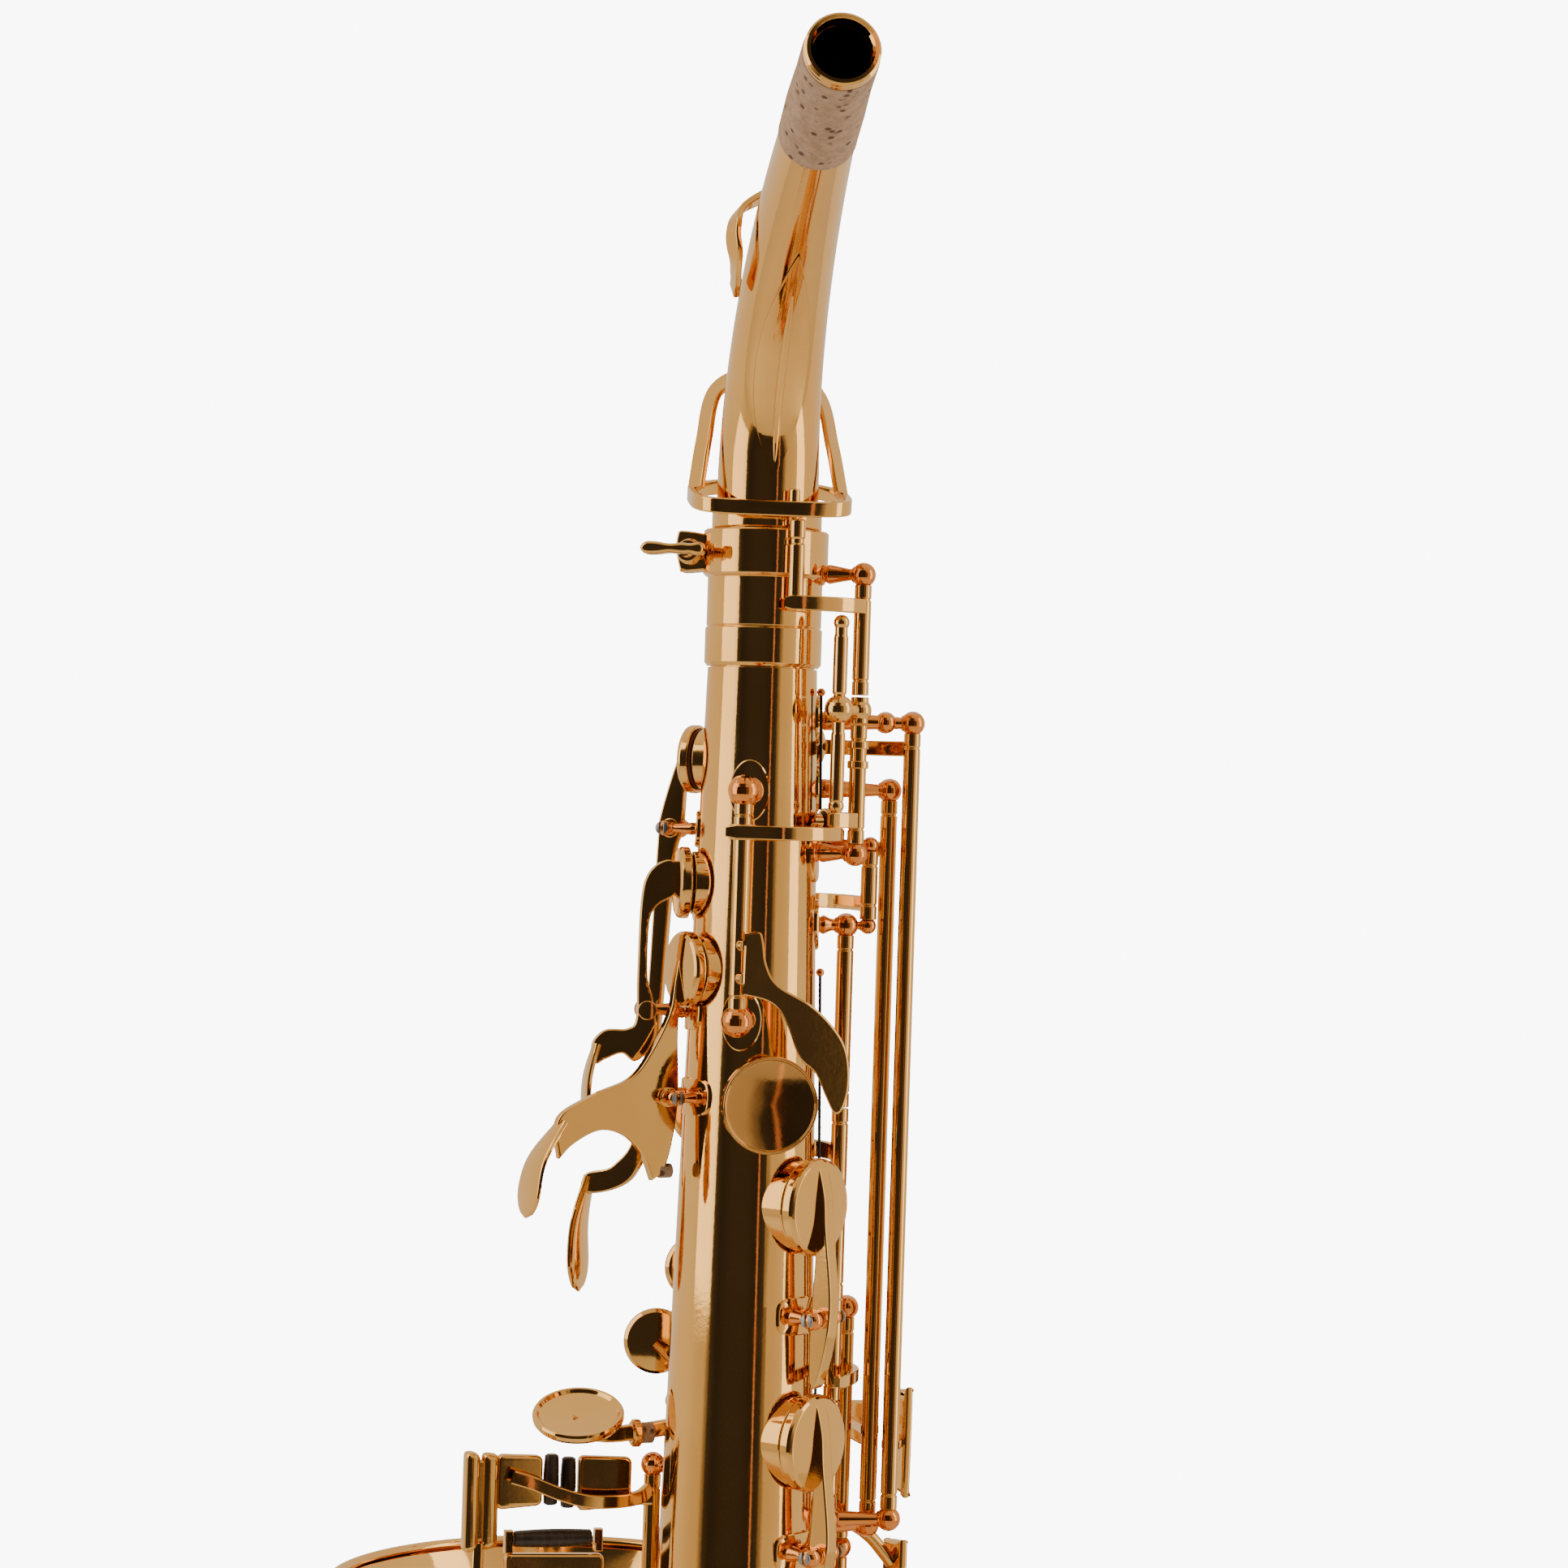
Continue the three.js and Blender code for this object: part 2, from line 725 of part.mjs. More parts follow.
function bowPlace(turn, side = 0) {
  return new THREE.Vector3(
    side,
    bowRadius - bowRadius * Math.cos(toRadians(turn)),
    -bowTop - bowRadius * Math.sin(toRadians(turn)),
  );
}

function bow() {
  const rings = Array.from({ length: 10 }, (_, i) => i / 9);
  const outside = rings.map((share) => [bowAt(share), share * bowLength]);
  const inside = rings.map((share) => [bowAt(share) - tubeWall, share * bowLength]).reverse();
  const across = new THREE.Vector3(1, 0, 0);
  const skin = bentTube([...outside, ...inside, outside[0]], bowCurve, bowSides, across);
  const core = bentTube([[0, 0], ...outside.map(([r, s]) => [r - tubeWall, s]), [0, bowLength]],
    bowCurve, bowSides, across);
  const rim = bowAt(lowCTurn / 180) + chimneyRise;
  const collar = rod(bowPlace(lowCTurn), bowPlace(lowCTurn, rim), lowCHole + chimneyWall, 14);
  const opening = rod(bowPlace(lowCTurn), bowPlace(lowCTurn, rim + 1), lowCHole, 14);
  const pivot = onHinge(hinges.lowE, 504);
  const stem = rod(new THREE.Vector3(bowAt(0.2) - 3, pivot.y, pivot.z), pivot, 1.8);
  const foot = cut(join(collar, stem), core);
  return join(cut(join(skin, foot), opening), ball(pivot, postBallRadius));
}

const bellHoles = {
  lowB: { angle: bellAngleRight, depth: 400, hole: 17 },
  lowBFlat: { angle: bellAngleRight, depth: 344, hole: 17.5 },
  lowCSharp: { angle: bellAngleLeft, depth: 424, hole: 15 },
};

// Where the rim of a tone hole on the bell lies, from the bell's axis outward.
const bellRim = ({ depth }) => bellAt(depth) + chimneyRise + 1;

const bellSides = 24;
const bellBase = bellPlace(0, 0, bowTop - fitGap);
const upward = new THREE.Vector3(0, 0, 1);

// The bell's outline from its base up, as [radius, height], grown by a gap.
function bellOutline(gap, steps = 8) {
  return bellProfile
    .getPoints(steps)
    .map((point) => [point.x + gap, Math.max(0, point.y + bowTop - fitGap)]);
}

function bellCore(gap) {
  return turned(
    [[0, 0], ...bellOutline(gap), [0, bowTop - bellRimDepth]], bellBase, upward, bellSides,
  );
}

function bell() {
  const outer = bellOutline(0);
  const inner = bellOutline(-tubeWall).reverse();
  const beadSize = 1.6;
  const bead = turned(
    circlePoints(outer.at(-1)[0] - tubeWall / 2, outer.at(-1)[1] + 0.6, beadSize, 5),
    bellBase, upward, bellSides,
  );
  const skin = turned([...outer, ...inner, outer[0]], bellBase, upward, bellSides);
  const holes = Object.values(bellHoles);
  const collars = holes.map((hole) =>
    rod(bellPlace(0, 0, hole.depth), bellPlace(hole.angle, bellRim(hole), hole.depth),
      hole.hole + chimneyWall, 14));
  const openings = holes.map((hole) =>
    rod(bellPlace(0, 0, hole.depth), bellPlace(hole.angle, bellRim(hole) + 1, hole.depth),
      hole.hole, 14));
  return cut(join(skin, bead, cut(join(...collars), bellCore(-tubeWall))), ...openings);
}

// A band clamped round the joint of two tubes.
function jointRing(centre, innerRadius, profileHeight) {
  const inner = (innerRadius + fitGap) / Math.cos(Math.PI / tubeSides);
  return turned(
    [
      [inner, 0],
      [inner + 2.2, 0.8],
      [inner + 1.2, 3.2],
      [inner + 1.2, profileHeight - 3.2],
      [inner + 2.2, profileHeight - 0.8],
      [inner, profileHeight],
      [inner, 0],
    ],
    centre,
    down,
    tubeSides,
  );
}

function bellBrace() {
  const bodyFoot = place(162, coneAt(302) + 1.6, 302);
  const ringCentre = new THREE.Vector3(-27, 28, -302);
  const bellFoot = bellPlace(238, bellAt(302) + 1.6, 302);
  const ring = turned(circlePoints(9, 0, 1.8, 6), ringCentre, new THREE.Vector3(1, 0, 0), 16);
  const towardBody = ringCentre.clone().add(new THREE.Vector3(0, -9, 0));
  const towardBell = ringCentre.clone().add(new THREE.Vector3(0, 9, 0));
  const feet = [
    rod(place(162, coneAt(302) - 1, 302), place(162, coneAt(302) + 2.4, 302), 6, 12),
    rod(bellPlace(238, bellAt(302) - 1, 302), bellPlace(238, bellAt(302) + 3, 302), 6, 12),
  ];
  const whole = join(ring, wire([bodyFoot, towardBody], 2.2), wire([towardBell, bellFoot], 2.2), ...feet);
  return cut(whole, bodyCore(fitGap), bellCore(fitGap));
}

const strapRadius = coneAt(strapDepth) + strapStandoff;
const strapCentre = place(strapAngle, strapRadius, strapDepth);

function strapRing() {
  const ring = turned(circlePoints(7.4, 0, 1.7), strapCentre, heading(strapAngle + 90), 16);
  const foot = slab(
    points2([[-7, -13], [7, -13], [7, 13], [-7, 13]]),
    9,
    place(strapAngle, coneAt(strapDepth) - 3, strapDepth),
    heading(strapAngle + 90),
    down.clone(),
  );
  const skin = cut(foot.intersect(bodyCore(fitGap + 1.6)), bodyCore(fitGap));
  const neck = rod(
    place(strapAngle, coneAt(strapDepth) + 0.6, strapDepth),
    place(strapAngle, strapRadius - 7, strapDepth),
    2.6,
  );
  return cut(join(ring, skin, neck), bodyCore(fitGap));
}

const restRadius = 11.3;
const thumbRestAngle = 255;
const thumbRestDepth = 133;

function thumbRest() {
  const face = coneAt(thumbRestDepth) + 6.7;
  const stand = 8;
  const disc = turned(
    [
      [0, 0],
      [7, 0],
      [7, stand - 3.4],
      [restRadius - 0.5, stand - 2.6],
      [restRadius, stand - 1.8],
      [restRadius, stand + 0.2],
      [restRadius - 0.7, stand + 0.6],
      [restRadius - 1.4, stand - 0.6],
      [0, stand - 0.6],
    ],
    place(thumbRestAngle, face - stand, thumbRestDepth),
    heading(thumbRestAngle),
    24,
  );
  return cut(disc, bodyCore(fitGap));
}

function thumbHook() {
  const angle = 268;
  const depth = 332;
  const surface = coneAt(depth);
  const plate = slab(
    points2([[-6.5, -13], [6.5, -13], [6.5, 13], [-6.5, 13]]),
    12,
    place(angle, surface - 3.4, depth),
    heading(angle + 90),
    down.clone(),
  );
  const base = cut(plate, bodyCore(fitGap));
  const hook = slab(
    points2([
      [surface + 2, depth - 5],
      [surface + 10, depth - 8],
      [surface + 22, depth - 6],
      [surface + 27, depth + 4],
      [surface + 25, depth + 12],
      [surface + 23, depth + 11],
      [surface + 23.5, depth + 4],
      [surface + 19.5, depth - 1.5],
      [surface + 10, depth - 3.6],
      [surface + 5, depth + 3],
      [surface + 2, depth + 4],
    ]),
    10,
    new THREE.Vector3(),
    heading(angle),
    down.clone(),
  );
  return join(base, hook);
}

// A guard over a large cup: a hoop on legs that stand on the tube behind it.
function hoop(centre, direction, radius) {
  return turned(
    [[radius - 3, 0], [radius, 0], [radius, 1.6], [radius - 3, 1.6], [radius - 3, 0]],
    centre,
    direction,
    20,
  );
}

function bellGuard() {
  const out = heading(bellAngleRight);
  const across = heading(bellAngleRight + 90);
  const { lowB, lowBFlat } = bellHoles;
  const height = bellAt(lowBFlat.depth) + chimneyRise + guardHeight;
  const middle = bellPlace(bellAngleRight, height, (lowB.depth + lowBFlat.depth) / 2);
  const hoops = [lowB, lowBFlat].map((hole) =>
    hoop(bellPlace(bellAngleRight, height, hole.depth), out, 14));
  const bar = slab(
    points2([[-2, -17], [2, -17], [2, 17], [-2, 17]]), 1.6,
    middle.clone().addScaledVector(out, 0.8), across, down.clone(),
  );
  const leg = (hole, side, drop) => {
    const top = bellPlace(bellAngleRight, height + 0.8, hole.depth + drop * 0.36);
    top.addScaledVector(across, side * 12);
    const angle = bellAngleRight + side * 48;
    const elbow = bellPlace(angle, bellAt(hole.depth) + 14, hole.depth + drop);
    const foot = bellPlace(angle + side * 4, bellAt(hole.depth + drop) + fitGap + 0.6, hole.depth + drop);
    return wire([top, elbow, foot], 1.8);
  };
  const legs = [leg(lowB, 1, 8), leg(lowBFlat, 1, -8)];
  const whole = join(...hoops, bar, ...legs);
  return cut(whole, bellCore(fitGap));
}

const guardHeight = 17;

function lowCGuard() {
  const out = new THREE.Vector3(1, 0, 0);
  const height = bowAt(lowCTurn / 180) + chimneyRise + guardHeight;
  const centre = bowPlace(lowCTurn, height);
  const legs = [-60, 60, 180].map((turn) => {
    const spread = new THREE.Vector3(0, Math.sin(toRadians(turn)), Math.cos(toRadians(turn)));
    const top = centre.clone().addScaledVector(spread, 11.5).addScaledVector(out, 0.8);
    const elbow = bowPlace(lowCTurn, height - 6).addScaledVector(spread, 21);
    const foot = bowPlace(lowCTurn, 6).addScaledVector(spread, 21);
    return wire([top, elbow, foot], 1.8);
  });
  const outside = Array.from({ length: 10 }, (_, i) => [bowAt(i / 9) + fitGap, (i / 9) * bowLength]);
  const core = bentTube([[0, 0], ...outside, [0, bowLength]], bowCurve, bowSides, out);
  const whole = join(hoop(centre, out, 13), ...legs);
  return keepLargest(cut(whole, core));
}

function lowEFlatGuard() {
  const { angle, depth } = toneHoles.lowEFlat;
  const out = heading(angle);
  const height = stack(toneHoles.lowEFlat).top + 10.5;
  const centre = place(angle, height, depth);
  const lowTop = centre.clone().setZ(centre.z - 10).addScaledVector(out, 0.8);
  const lowFoot = [height - 4, coneAt(depth + 19)].map((radius) => place(angle, radius, depth + 19));
  const sideTop = centre.clone().addScaledVector(heading(angle - 90), 10).addScaledVector(out, 0.8);
  const sideAngle = angle - 56;
  const sideFoot = [coneAt(depth) + 15, coneAt(depth)].map((radius) => place(sideAngle, radius, depth));
  const legs = [wire([lowTop, ...lowFoot], 1.8), wire([sideTop, ...sideFoot], 1.8)];
  return cut(join(hoop(centre, out, 11.5), ...legs), bodyCore(fitGap));
}

const keepLargest = (manifold) =>
  manifold.decompose().reduce((best, piece) => (piece.volume() > best.volume() ? piece : best));

// ---------------------------------------------------------------- neck

const neckPlane = heading(neckAngle);
const neckAcross = heading(neckAngle - 90);

function neckPoint(reach, height) {
  return neckPlane.clone().multiplyScalar(reach).setZ(height);
}

const neckCurve = new THREE.CatmullRomCurve3([
  neckPoint(0, 0),
  neckPoint(0, neckStart / 2),
  ...new THREE.CubicBezierCurve3(
    neckPoint(0, neckStart),
    neckPoint(0, neckRise * 0.57),
    neckPoint(neckReach * 0.517, neckRise * 0.868),
    neckPoint(neckReach, neckRise),
  ).getPoints(12),
]);
const neckLength = neckCurve.getLength();

// The neck's outer radius: straight through the collar, then an even taper to the tip.
function neckAt(length) {
  const share = THREE.MathUtils.clamp((length - neckStart) / (neckLength - neckStart), 0, 1);
  return THREE.MathUtils.lerp(tenonRadius - 0.1, neckTipRadius, share);
}

const neckSides = 16;
const neckSteps = Array.from({ length: 11 }, (_, i) => (i / 10) * neckLength);
const collarTop = 6;

function neckTube() {
  const outside = neckSteps.map((length) => [neckAt(length), length]);
  const inside = neckSteps.map((length) => [neckAt(length) - tubeWall, length]).reverse();
  const tube = bentTube([...outside, ...inside, outside[0]], neckCurve, neckSides, neckAcross);
  const tip = bentTube(
    [
      [neckTipRadius - 0.5, neckLength - 3],
      [neckTipRadius + corkThickness, neckLength - 3],
      [neckTipRadius + corkThickness, neckLength - 0.6],
      [neckTipRadius + 0.3, neckLength],
      [neckTipRadius - 0.5, neckLength],
      [neckTipRadius - 0.5, neckLength - 3],
    ],
    neckCurve, neckSides, neckAcross,
  );
  const collar = turned(
    [
      [tenonRadius - tubeWall, 0],
      [tenonRadius, 0],
      [tenonRadius, tenonLength + fitGap],
      [tenonRadius + 0.9, tenonLength + fitGap],
      [tenonRadius + 0.9, tenonLength + collarTop - 0.4],
      [tenonRadius + 0.5, tenonLength + collarTop],
      [tenonRadius - tubeWall, tenonLength + collarTop],
      [tenonRadius - tubeWall, 0],
    ],
    place(0, 0, tenonLength),
    upward,
    tubeSides,
  );
  return join(tube, tip, collar);
}

function neckCork() {
  const start = neckLength - corkLength;
  const end = neckLength - 3 - fitGap;
  const inner = (length) => neckAt(length) + fitGap;
  const outer = neckTipRadius + corkThickness + 0.2;
  return bentTube(
    [
      [inner(start), start],
      [outer + 0.4, start],
      [outer + 0.4, start + corkLength / 3],
      [outer, start + (corkLength * 2) / 3],
      [outer, end],
      [inner(end), end],
      [inner(start + (corkLength * 2) / 3), start + (corkLength * 2) / 3],
      [inner(start + corkLength / 3), start + corkLength / 3],
      [inner(start), start],
    ],
    neckCurve, neckSides, neckAcross,
  );
}

function neckBrace() {
  const steps = neckSteps.slice(1, 7);
  const outside = steps.map((length) => [neckAt(length) + fitGap + 1, length]);
  const inside = steps.map((length) => [neckAt(length) + fitGap, length]).reverse();
  const sleeve = bentTube([...outside, ...inside, outside[0]], neckCurve, neckSides, neckAcross);
  const leaf = new THREE.Shape();
  leaf.moveTo(0, 21);
  leaf.quadraticCurveTo(13, 42, 0, 83);
  leaf.quadraticCurveTo(-13, 42, 0, 21);
  const outlineCut = slab(leaf.getPoints(6), 100, neckPoint(55, -2), neckAcross.clone(), upward);
  const ridge = steps.slice(1, -1).map((length) => underNeck(length, 1.1));
  return join(keepFacing(sleeve.intersect(outlineCut)), wire(ridge, 0.9));
}

// A point off the neck's underside, which faces the player.
function underNeck(length, lift) {
  const centre = neckCurve.getPointAt(length / neckLength);
  const under = neckCurve.getTangentAt(length / neckLength).cross(neckAcross);
  const side = under.dot(neckPlane) > 0 ? 1 : -1;
  return centre.addScaledVector(under, side * (neckAt(length) + lift));
}

// Of a sleeve cut right through, the half on the player's side.
const keepFacing = (manifold) =>
  manifold.decompose().reduce((best, piece) => {
    const reach = (solidPiece) => {
      const { min, max } = solidPiece.boundingBox();
      return (min[0] + max[0]) * neckPlane.x + (min[1] + max[1]) * neckPlane.y - (min[2] + max[2]);
    };
    return reach(piece) > reach(best) ? piece : best;
  });

const neckHinge = neckPoint(-11.2, 38);
const loopHeight = 8;
const loopRadius = receiverBore + 5.7; // clear round the octave pin

function neckOctaveKey() {
  const tilt = toRadians(12);
  const loopAxis = neckPlane.clone().multiplyScalar(Math.sin(tilt)).setZ(Math.cos(tilt));
  const loop = turned(
    [[loopRadius - 1, -1.6], [loopRadius + 1, -1.6], [loopRadius + 1, 1.6],
      [loopRadius - 1, 1.6], [loopRadius - 1, -1.6]],
    neckPoint(0, loopHeight), loopAxis, 20,
  );
  const bars = [-1, 1].map((side) => {
    const low = neckPoint(-3, loopHeight + 1).addScaledVector(neckAcross, side * loopRadius);
    const mid = neckPoint(-7, 24).addScaledVector(neckAcross, side * 15);
    const high = neckHinge.clone().addScaledVector(neckAcross, side * 4);
    return wire([low, mid, high], 1.5);
  });
  const barrelHalf = neckAcross.clone().multiplyScalar(5);
  const pivot = rod(neckHinge.clone().sub(barrelHalf), neckHinge.clone().add(barrelHalf), 2.2);
  const ride = (length, lift, side) => {
    const centre = neckCurve.getPointAt(length / neckLength);
    const outward = neckCurve.getTangentAt(length / neckLength).cross(neckAcross);
    const up = outward.dot(neckPlane) > 0 ? -1 : 1;
    return centre
      .addScaledVector(outward, up * (neckAt(length) + lift))
      .addScaledVector(neckAcross, side);
  };
  const strap = wire([neckHinge, ride(52, 4.5, 0), ride(66, 4.8, 3), ride(79, 4.2, 3)], 1.7);
  const pipLength = 80;
  const centre = neckCurve.getPointAt(pipLength / neckLength);
  const normal = ride(pipLength, 5, 0).sub(centre).normalize();
  const cup = cupAt(ride(pipLength, 2.2, 3), normal, 4, 2.4);
  return join(loop, ...bars, pivot, strap, cup);
}

// ---------------------------------------------------------------- octave work on the body

function thumbOctaveKey() {
  const axis = hinges.thumb;
  const tube = keyTube(axis, 61 + postClear, 114 - postClear, 2.05);
  const curve = axis.radius + 2.2;
  const shell = turned(
    [[curve, 0], [curve + 1.8, 0], [curve + 1.8, 60], [curve, 60], [curve, 0]],
    place(0, 0, 85), down, 36,
  );
  const lever = new THREE.Shape();
  lever.moveTo(-9, 93);
  lever.lineTo(-2.3, 93.5);
  lever.quadraticCurveTo(0, 105, 9.5, 110);
  lever.quadraticCurveTo(20, 114, 20.2, 128.6);
  lever.quadraticCurveTo(19, 135.5, 16.2, 135);
  lever.quadraticCurveTo(14, 125, 8.4, 121.6);
  lever.quadraticCurveTo(4.4, 116, 1.6, 110.5);
  lever.lineTo(-9, 107);
  const facing = 252;
  const outlineCut = slab(lever.getPoints(3), 40, place(facing, 25, 0), heading(facing + 90), down.clone());
  const link = strip(
    onHinge(axis, 0), place(268, axis.radius + 8, 0), place(303, axis.radius + 0.6, 0), 70.5, 2.6,
  );
  const plate = shell.intersect(outlineCut);
  const upperRoot = rod(onHinge(axis, 95), place(axis.angle + 5, curve + 0.9, 95), 1.6);
  const lowerRoot = rod(onHinge(axis, 104), place(axis.angle + 5, curve + 0.9, 104), 1.6);
  return join(tube, link, plate, upperRoot, lowerRoot);
}

const pinRadius = 1.9;
const pinPlace = { angle: 267, radius: receiverBand + fitGap + pinRadius };
const teeterPlace = { angle: 299, radius: tenonRadius + 9.5 };

function octavePinKey() {
  const axis = hinges.octave;
  const { angle, radius } = pinPlace;
  const tube = keyTube(axis, 9.9 + postClear, 38);
  const arm = strip(onHinge(axis, 0), place(292, 24, 0), place(angle, radius, 0), 17.3, 2.4);
  const pin = rod(place(angle, radius, 18), place(angle, radius, -2), pinRadius, 8);
  const top = rod(place(angle, radius - 2.2, -0.5), place(angle, radius - 2.2, -9.2), pinRadius * 0.7);
  return join(tube, arm, pin, top);
}

function octaveSaddle() {
  const axis = hinges.octave;
  const end = place(teeterPlace.angle + 7, teeterPlace.radius + 1, 41.5);
  return join(keyTube(axis, 38.4, 44.6, 2.6), rod(onHinge(axis, 41.5), end, 1.5));
}

function octaveTeeter() {
  const at = (depth) => place(teeterPlace.angle, teeterPlace.radius, depth);
  const eye = cut(ball(at(41.5), 3.4), rod(
    onHinge(hinges.octave, 41.5),
    place(teeterPlace.angle, teeterPlace.radius, 41.5),
    1.5 + fitGap,
  ));
  const bar = join(rod(at(21.2), at(38.8), 1.7), rod(at(44.2), at(64), 1.7));
  return join(eye, bar, ball(at(21.4), 1.9), ball(at(63.9), 1.9));
}

function bodyOctaveKey() {
  const axis = hinges.octave;
  const hole = toneHoles.octave;
  const seats = stack(hole);
  const tube = keyTube(axis, 45, 75 - postClear);
  const arm = strip(
    onHinge(axis, 0), place(345, axis.radius + 1, 0), place(hole.angle, seats.cup + 2.6, 0), 67.2, 2.2,
  );
  const tail = strip(
    onHinge(axis, 0), place(306, axis.radius, 0), place(294, axis.radius - 3, 0), 67.2, 2.2,
  );
  const pad = cupAt(place(hole.angle, seats.cup, hole.depth), heading(hole.angle), 3.4, 2.6);
  return join(tube, arm, tail, pad);
}

// ---------------------------------------------------------------- keys on upright hinges

// The curved arm from a hinge, across the top of a cup, to the cup's middle.
function cupArm(axis, hole, depth = hole.depth) {
  const height = stack(hole).top + 0.7;
  const middle = place(hole.angle, height, 0);
  const turnWay = Math.sign(((axis.angle - hole.angle + 540) % 360) - 180);
  const reach = stack(hole).cupRadius + 7;
  const shoulder = middle.clone().addScaledVector(heading(hole.angle + 90 * turnWay), reach);
  return strip(onHinge(axis, 0), shoulder, middle, depth);
}

function cupOn(hole) {
  const seats = stack(hole);
  return cupAt(place(hole.angle, seats.cup, hole.depth), heading(hole.angle), seats.cupRadius);
}

// A round finger plate with a pearl's seat, on a stalk from somewhere on its key.
function pearlHolder(from, centre, facing, radius = pearlRadius) {
  const out = heading(facing);
  const plate = turned(
    [[0, 0], [radius - 1, 0], [radius, 1], [radius, 2.2], [0, 2.8]],
    centre, out, 12,
  );
  const joint = centre.clone().addScaledVector(out, 0.6);
  return join(plate, wire([from, joint], 1.6));
}

const stackEnds = { upper: [92, 232], lower: [258, 390] };

function addUpperStack() {
  const axis = hinges.upper;
  const rows = [
    { name: "key_c", hole: toneHoles.c, open: true },
    { name: "key_b", hole: toneHoles.b, open: true, pearl: [88, 140, 80] },
    { name: "key_bis", hole: toneHoles.bis, open: true, pearl: [84, 160, 78, 4.6] },
    { name: "key_a", hole: toneHoles.a, open: true, pearl: [86, 177.5, 78] },
    { name: "key_g", hole: toneHoles.g, open: true, pearl: [107, 195, 72] },
  ];
  addStack(rows, axis, stackEnds.upper);
}

function addLowerStack() {
  const axis = hinges.lower;
  const rows = [
    { name: "key_f_sharp", hole: toneHoles.fSharp, open: true },
    { name: "key_f", hole: toneHoles.f, open: true, pearl: [60, 295, 52] },
    { name: "key_e", hole: toneHoles.e, open: true, pearl: [60, 329, 52] },
    { name: "key_d", hole: toneHoles.d, open: true, pearl: [60, 365, 52] },
  ];
  addStack(rows, axis, stackEnds.lower);
}

// How far a key that stands open is turned from its closed place, about its hinge.
function standingTurn(axis, hole) {
  const centre = place(hole.angle, stack(hole).cup, 0);
  const arm = onHinge(axis, 0).distanceTo(centre);
  return THREE.MathUtils.radToDeg(openGap / arm);
}

function addStack(rows, axis, [top, bottom]) {
  rows.forEach(({ name, hole, pearl }, i) => {
    const before = i ? (rows[i - 1].hole.depth + hole.depth) / 2 + fitGap / 2 : top + postClear;
    const last = i === rows.length - 1;
    const after = last ? bottom - postClear : (rows[i + 1].hole.depth + hole.depth) / 2 - fitGap / 2;
    const pieces = [keyTube(axis, before, after), cupArm(axis, hole), cupOn(hole)];
    if (pearl) {
      const [angle, depth, facing, radius] = pearl;
      const from = place(hole.angle, stack(hole).top + 0.6, hole.depth);
      const centre = place(angle, coneAt(depth) + 14, depth);
      pieces.push(pearlHolder(from, centre, facing, radius));
    }
    addKey(name, axis, join(...pieces), -standingTurn(axis, hole));
  });
}

// A finger plate for the right hand's side keys.
function sideTouch(angle, radius, from, to) {
  const half = (to - from) / 2;
  return slab(
    points2([[-5, -half], [5, -half + 2], [5.5, half - 2], [-4.5, half]]),
    2.2,
    place(angle, radius, (from + to) / 2),
    heading(angle + 90),
    down.clone(),
  );
}

// The same plate on a stalk straight out of its hinge tube.
function sidePlate(axis, angle, radius, from, to) {
  const middle = (from + to) / 2;
  const stalk = wire([onHinge(axis, middle), place(angle, radius - 0.4, middle)], 1.7);
  return join(sideTouch(angle, radius, from, to), stalk);
}

function addSideKeys() {
  const { highE, highFSharp, frontF, side } = hinges;
  const palmPlate = 41;
  addKey("high_e_key", highE, join(
    keyTube(highE, 44 + postClear, 232 - postClear),
    strip(
      onHinge(highE, 0), place(12, 32, 0),
      place(toneHoles.highE.angle, stack(toneHoles.highE).top + 0.7, 0), 50,
    ),
    cupOn(toneHoles.highE),
    sidePlate(highE, 352, palmPlate, 202, 227),
  ));
  addKey("high_f_sharp_key", highFSharp, join(
    keyTube(highFSharp, 60 + postClear, 234 - postClear),
    strip(
      onHinge(highFSharp, 0), place(28, 36, 0),
      place(toneHoles.highFSharp.angle, stack(toneHoles.highFSharp).top + 0.7, 0), 74,
    ),
    cupOn(toneHoles.highFSharp),
    sidePlate(highFSharp, 8, 35, 206, 217),
  ));
  const frontTouch = place(84, coneAt(92) + 13, 91);
  addKey("front_f_key", frontF, join(
    keyTube(frontF, 75.3, 89.7),
    strip(onHinge(frontF, 0), place(32, 44, 0), place(84, coneAt(92) + 14, 0), 87),
    turned([[0, 0], [4.4, 0], [5, 1], [4.4, 2.2], [0, 2.6]], frontTouch, heading(74), 14),
  ));
  const touches = [
    { name: "side_c_touch", span: [183, 240], fork: 197.5, plate: [238, 258] },
    { name: "side_b_flat_touch", span: [240, 262], fork: 249, plate: [262, 286] },
  ];
  for (const { name, span, fork, plate } of touches) {
    const forkEnd = place(304, coneAt(fork) + 8.4, 0);
    const branch = onHinge(side, span[1] - postClear - 4);
    addKey(name, side, join(
      keyTube(side, span[0] + postClear, span[1] - postClear),
      strip(onHinge(side, 0), place(336, coneAt(fork) + 13, 0), forkEnd, fork, 3),
      wire([branch, place(353, palmPlate - 1, plate[0] + 6)], 1.7),
      sideTouch(353, palmPlate, ...plate),
    ));
  }
}

// ---------------------------------------------------------------- low keys and the left table

// The left table lies in an upright plane that faces `tableFacing`, `tableOut` from the body's axis.
const tableFacing = 80;
const tableOut = 24;

function onTable(across, depth, out = 0) {
  return heading(tableFacing)
    .multiplyScalar(tableOut + out)
    .addScaledVector(heading(tableFacing + 90), across)
    .setZ(-depth);
}

function tablePlate(left, right, top, bottom, thickness = 3) {
  return slab(
    points2([[right, top], [left, top + 1], [left, bottom - 1], [right, bottom]]),
    thickness,
    onTable(0, 0),
    heading(tableFacing + 90),
    down.clone(),
  );
}

function roller(across, top, bottom) {
  return rod(onTable(across, top), onTable(across, bottom), 1.9, 10);
}

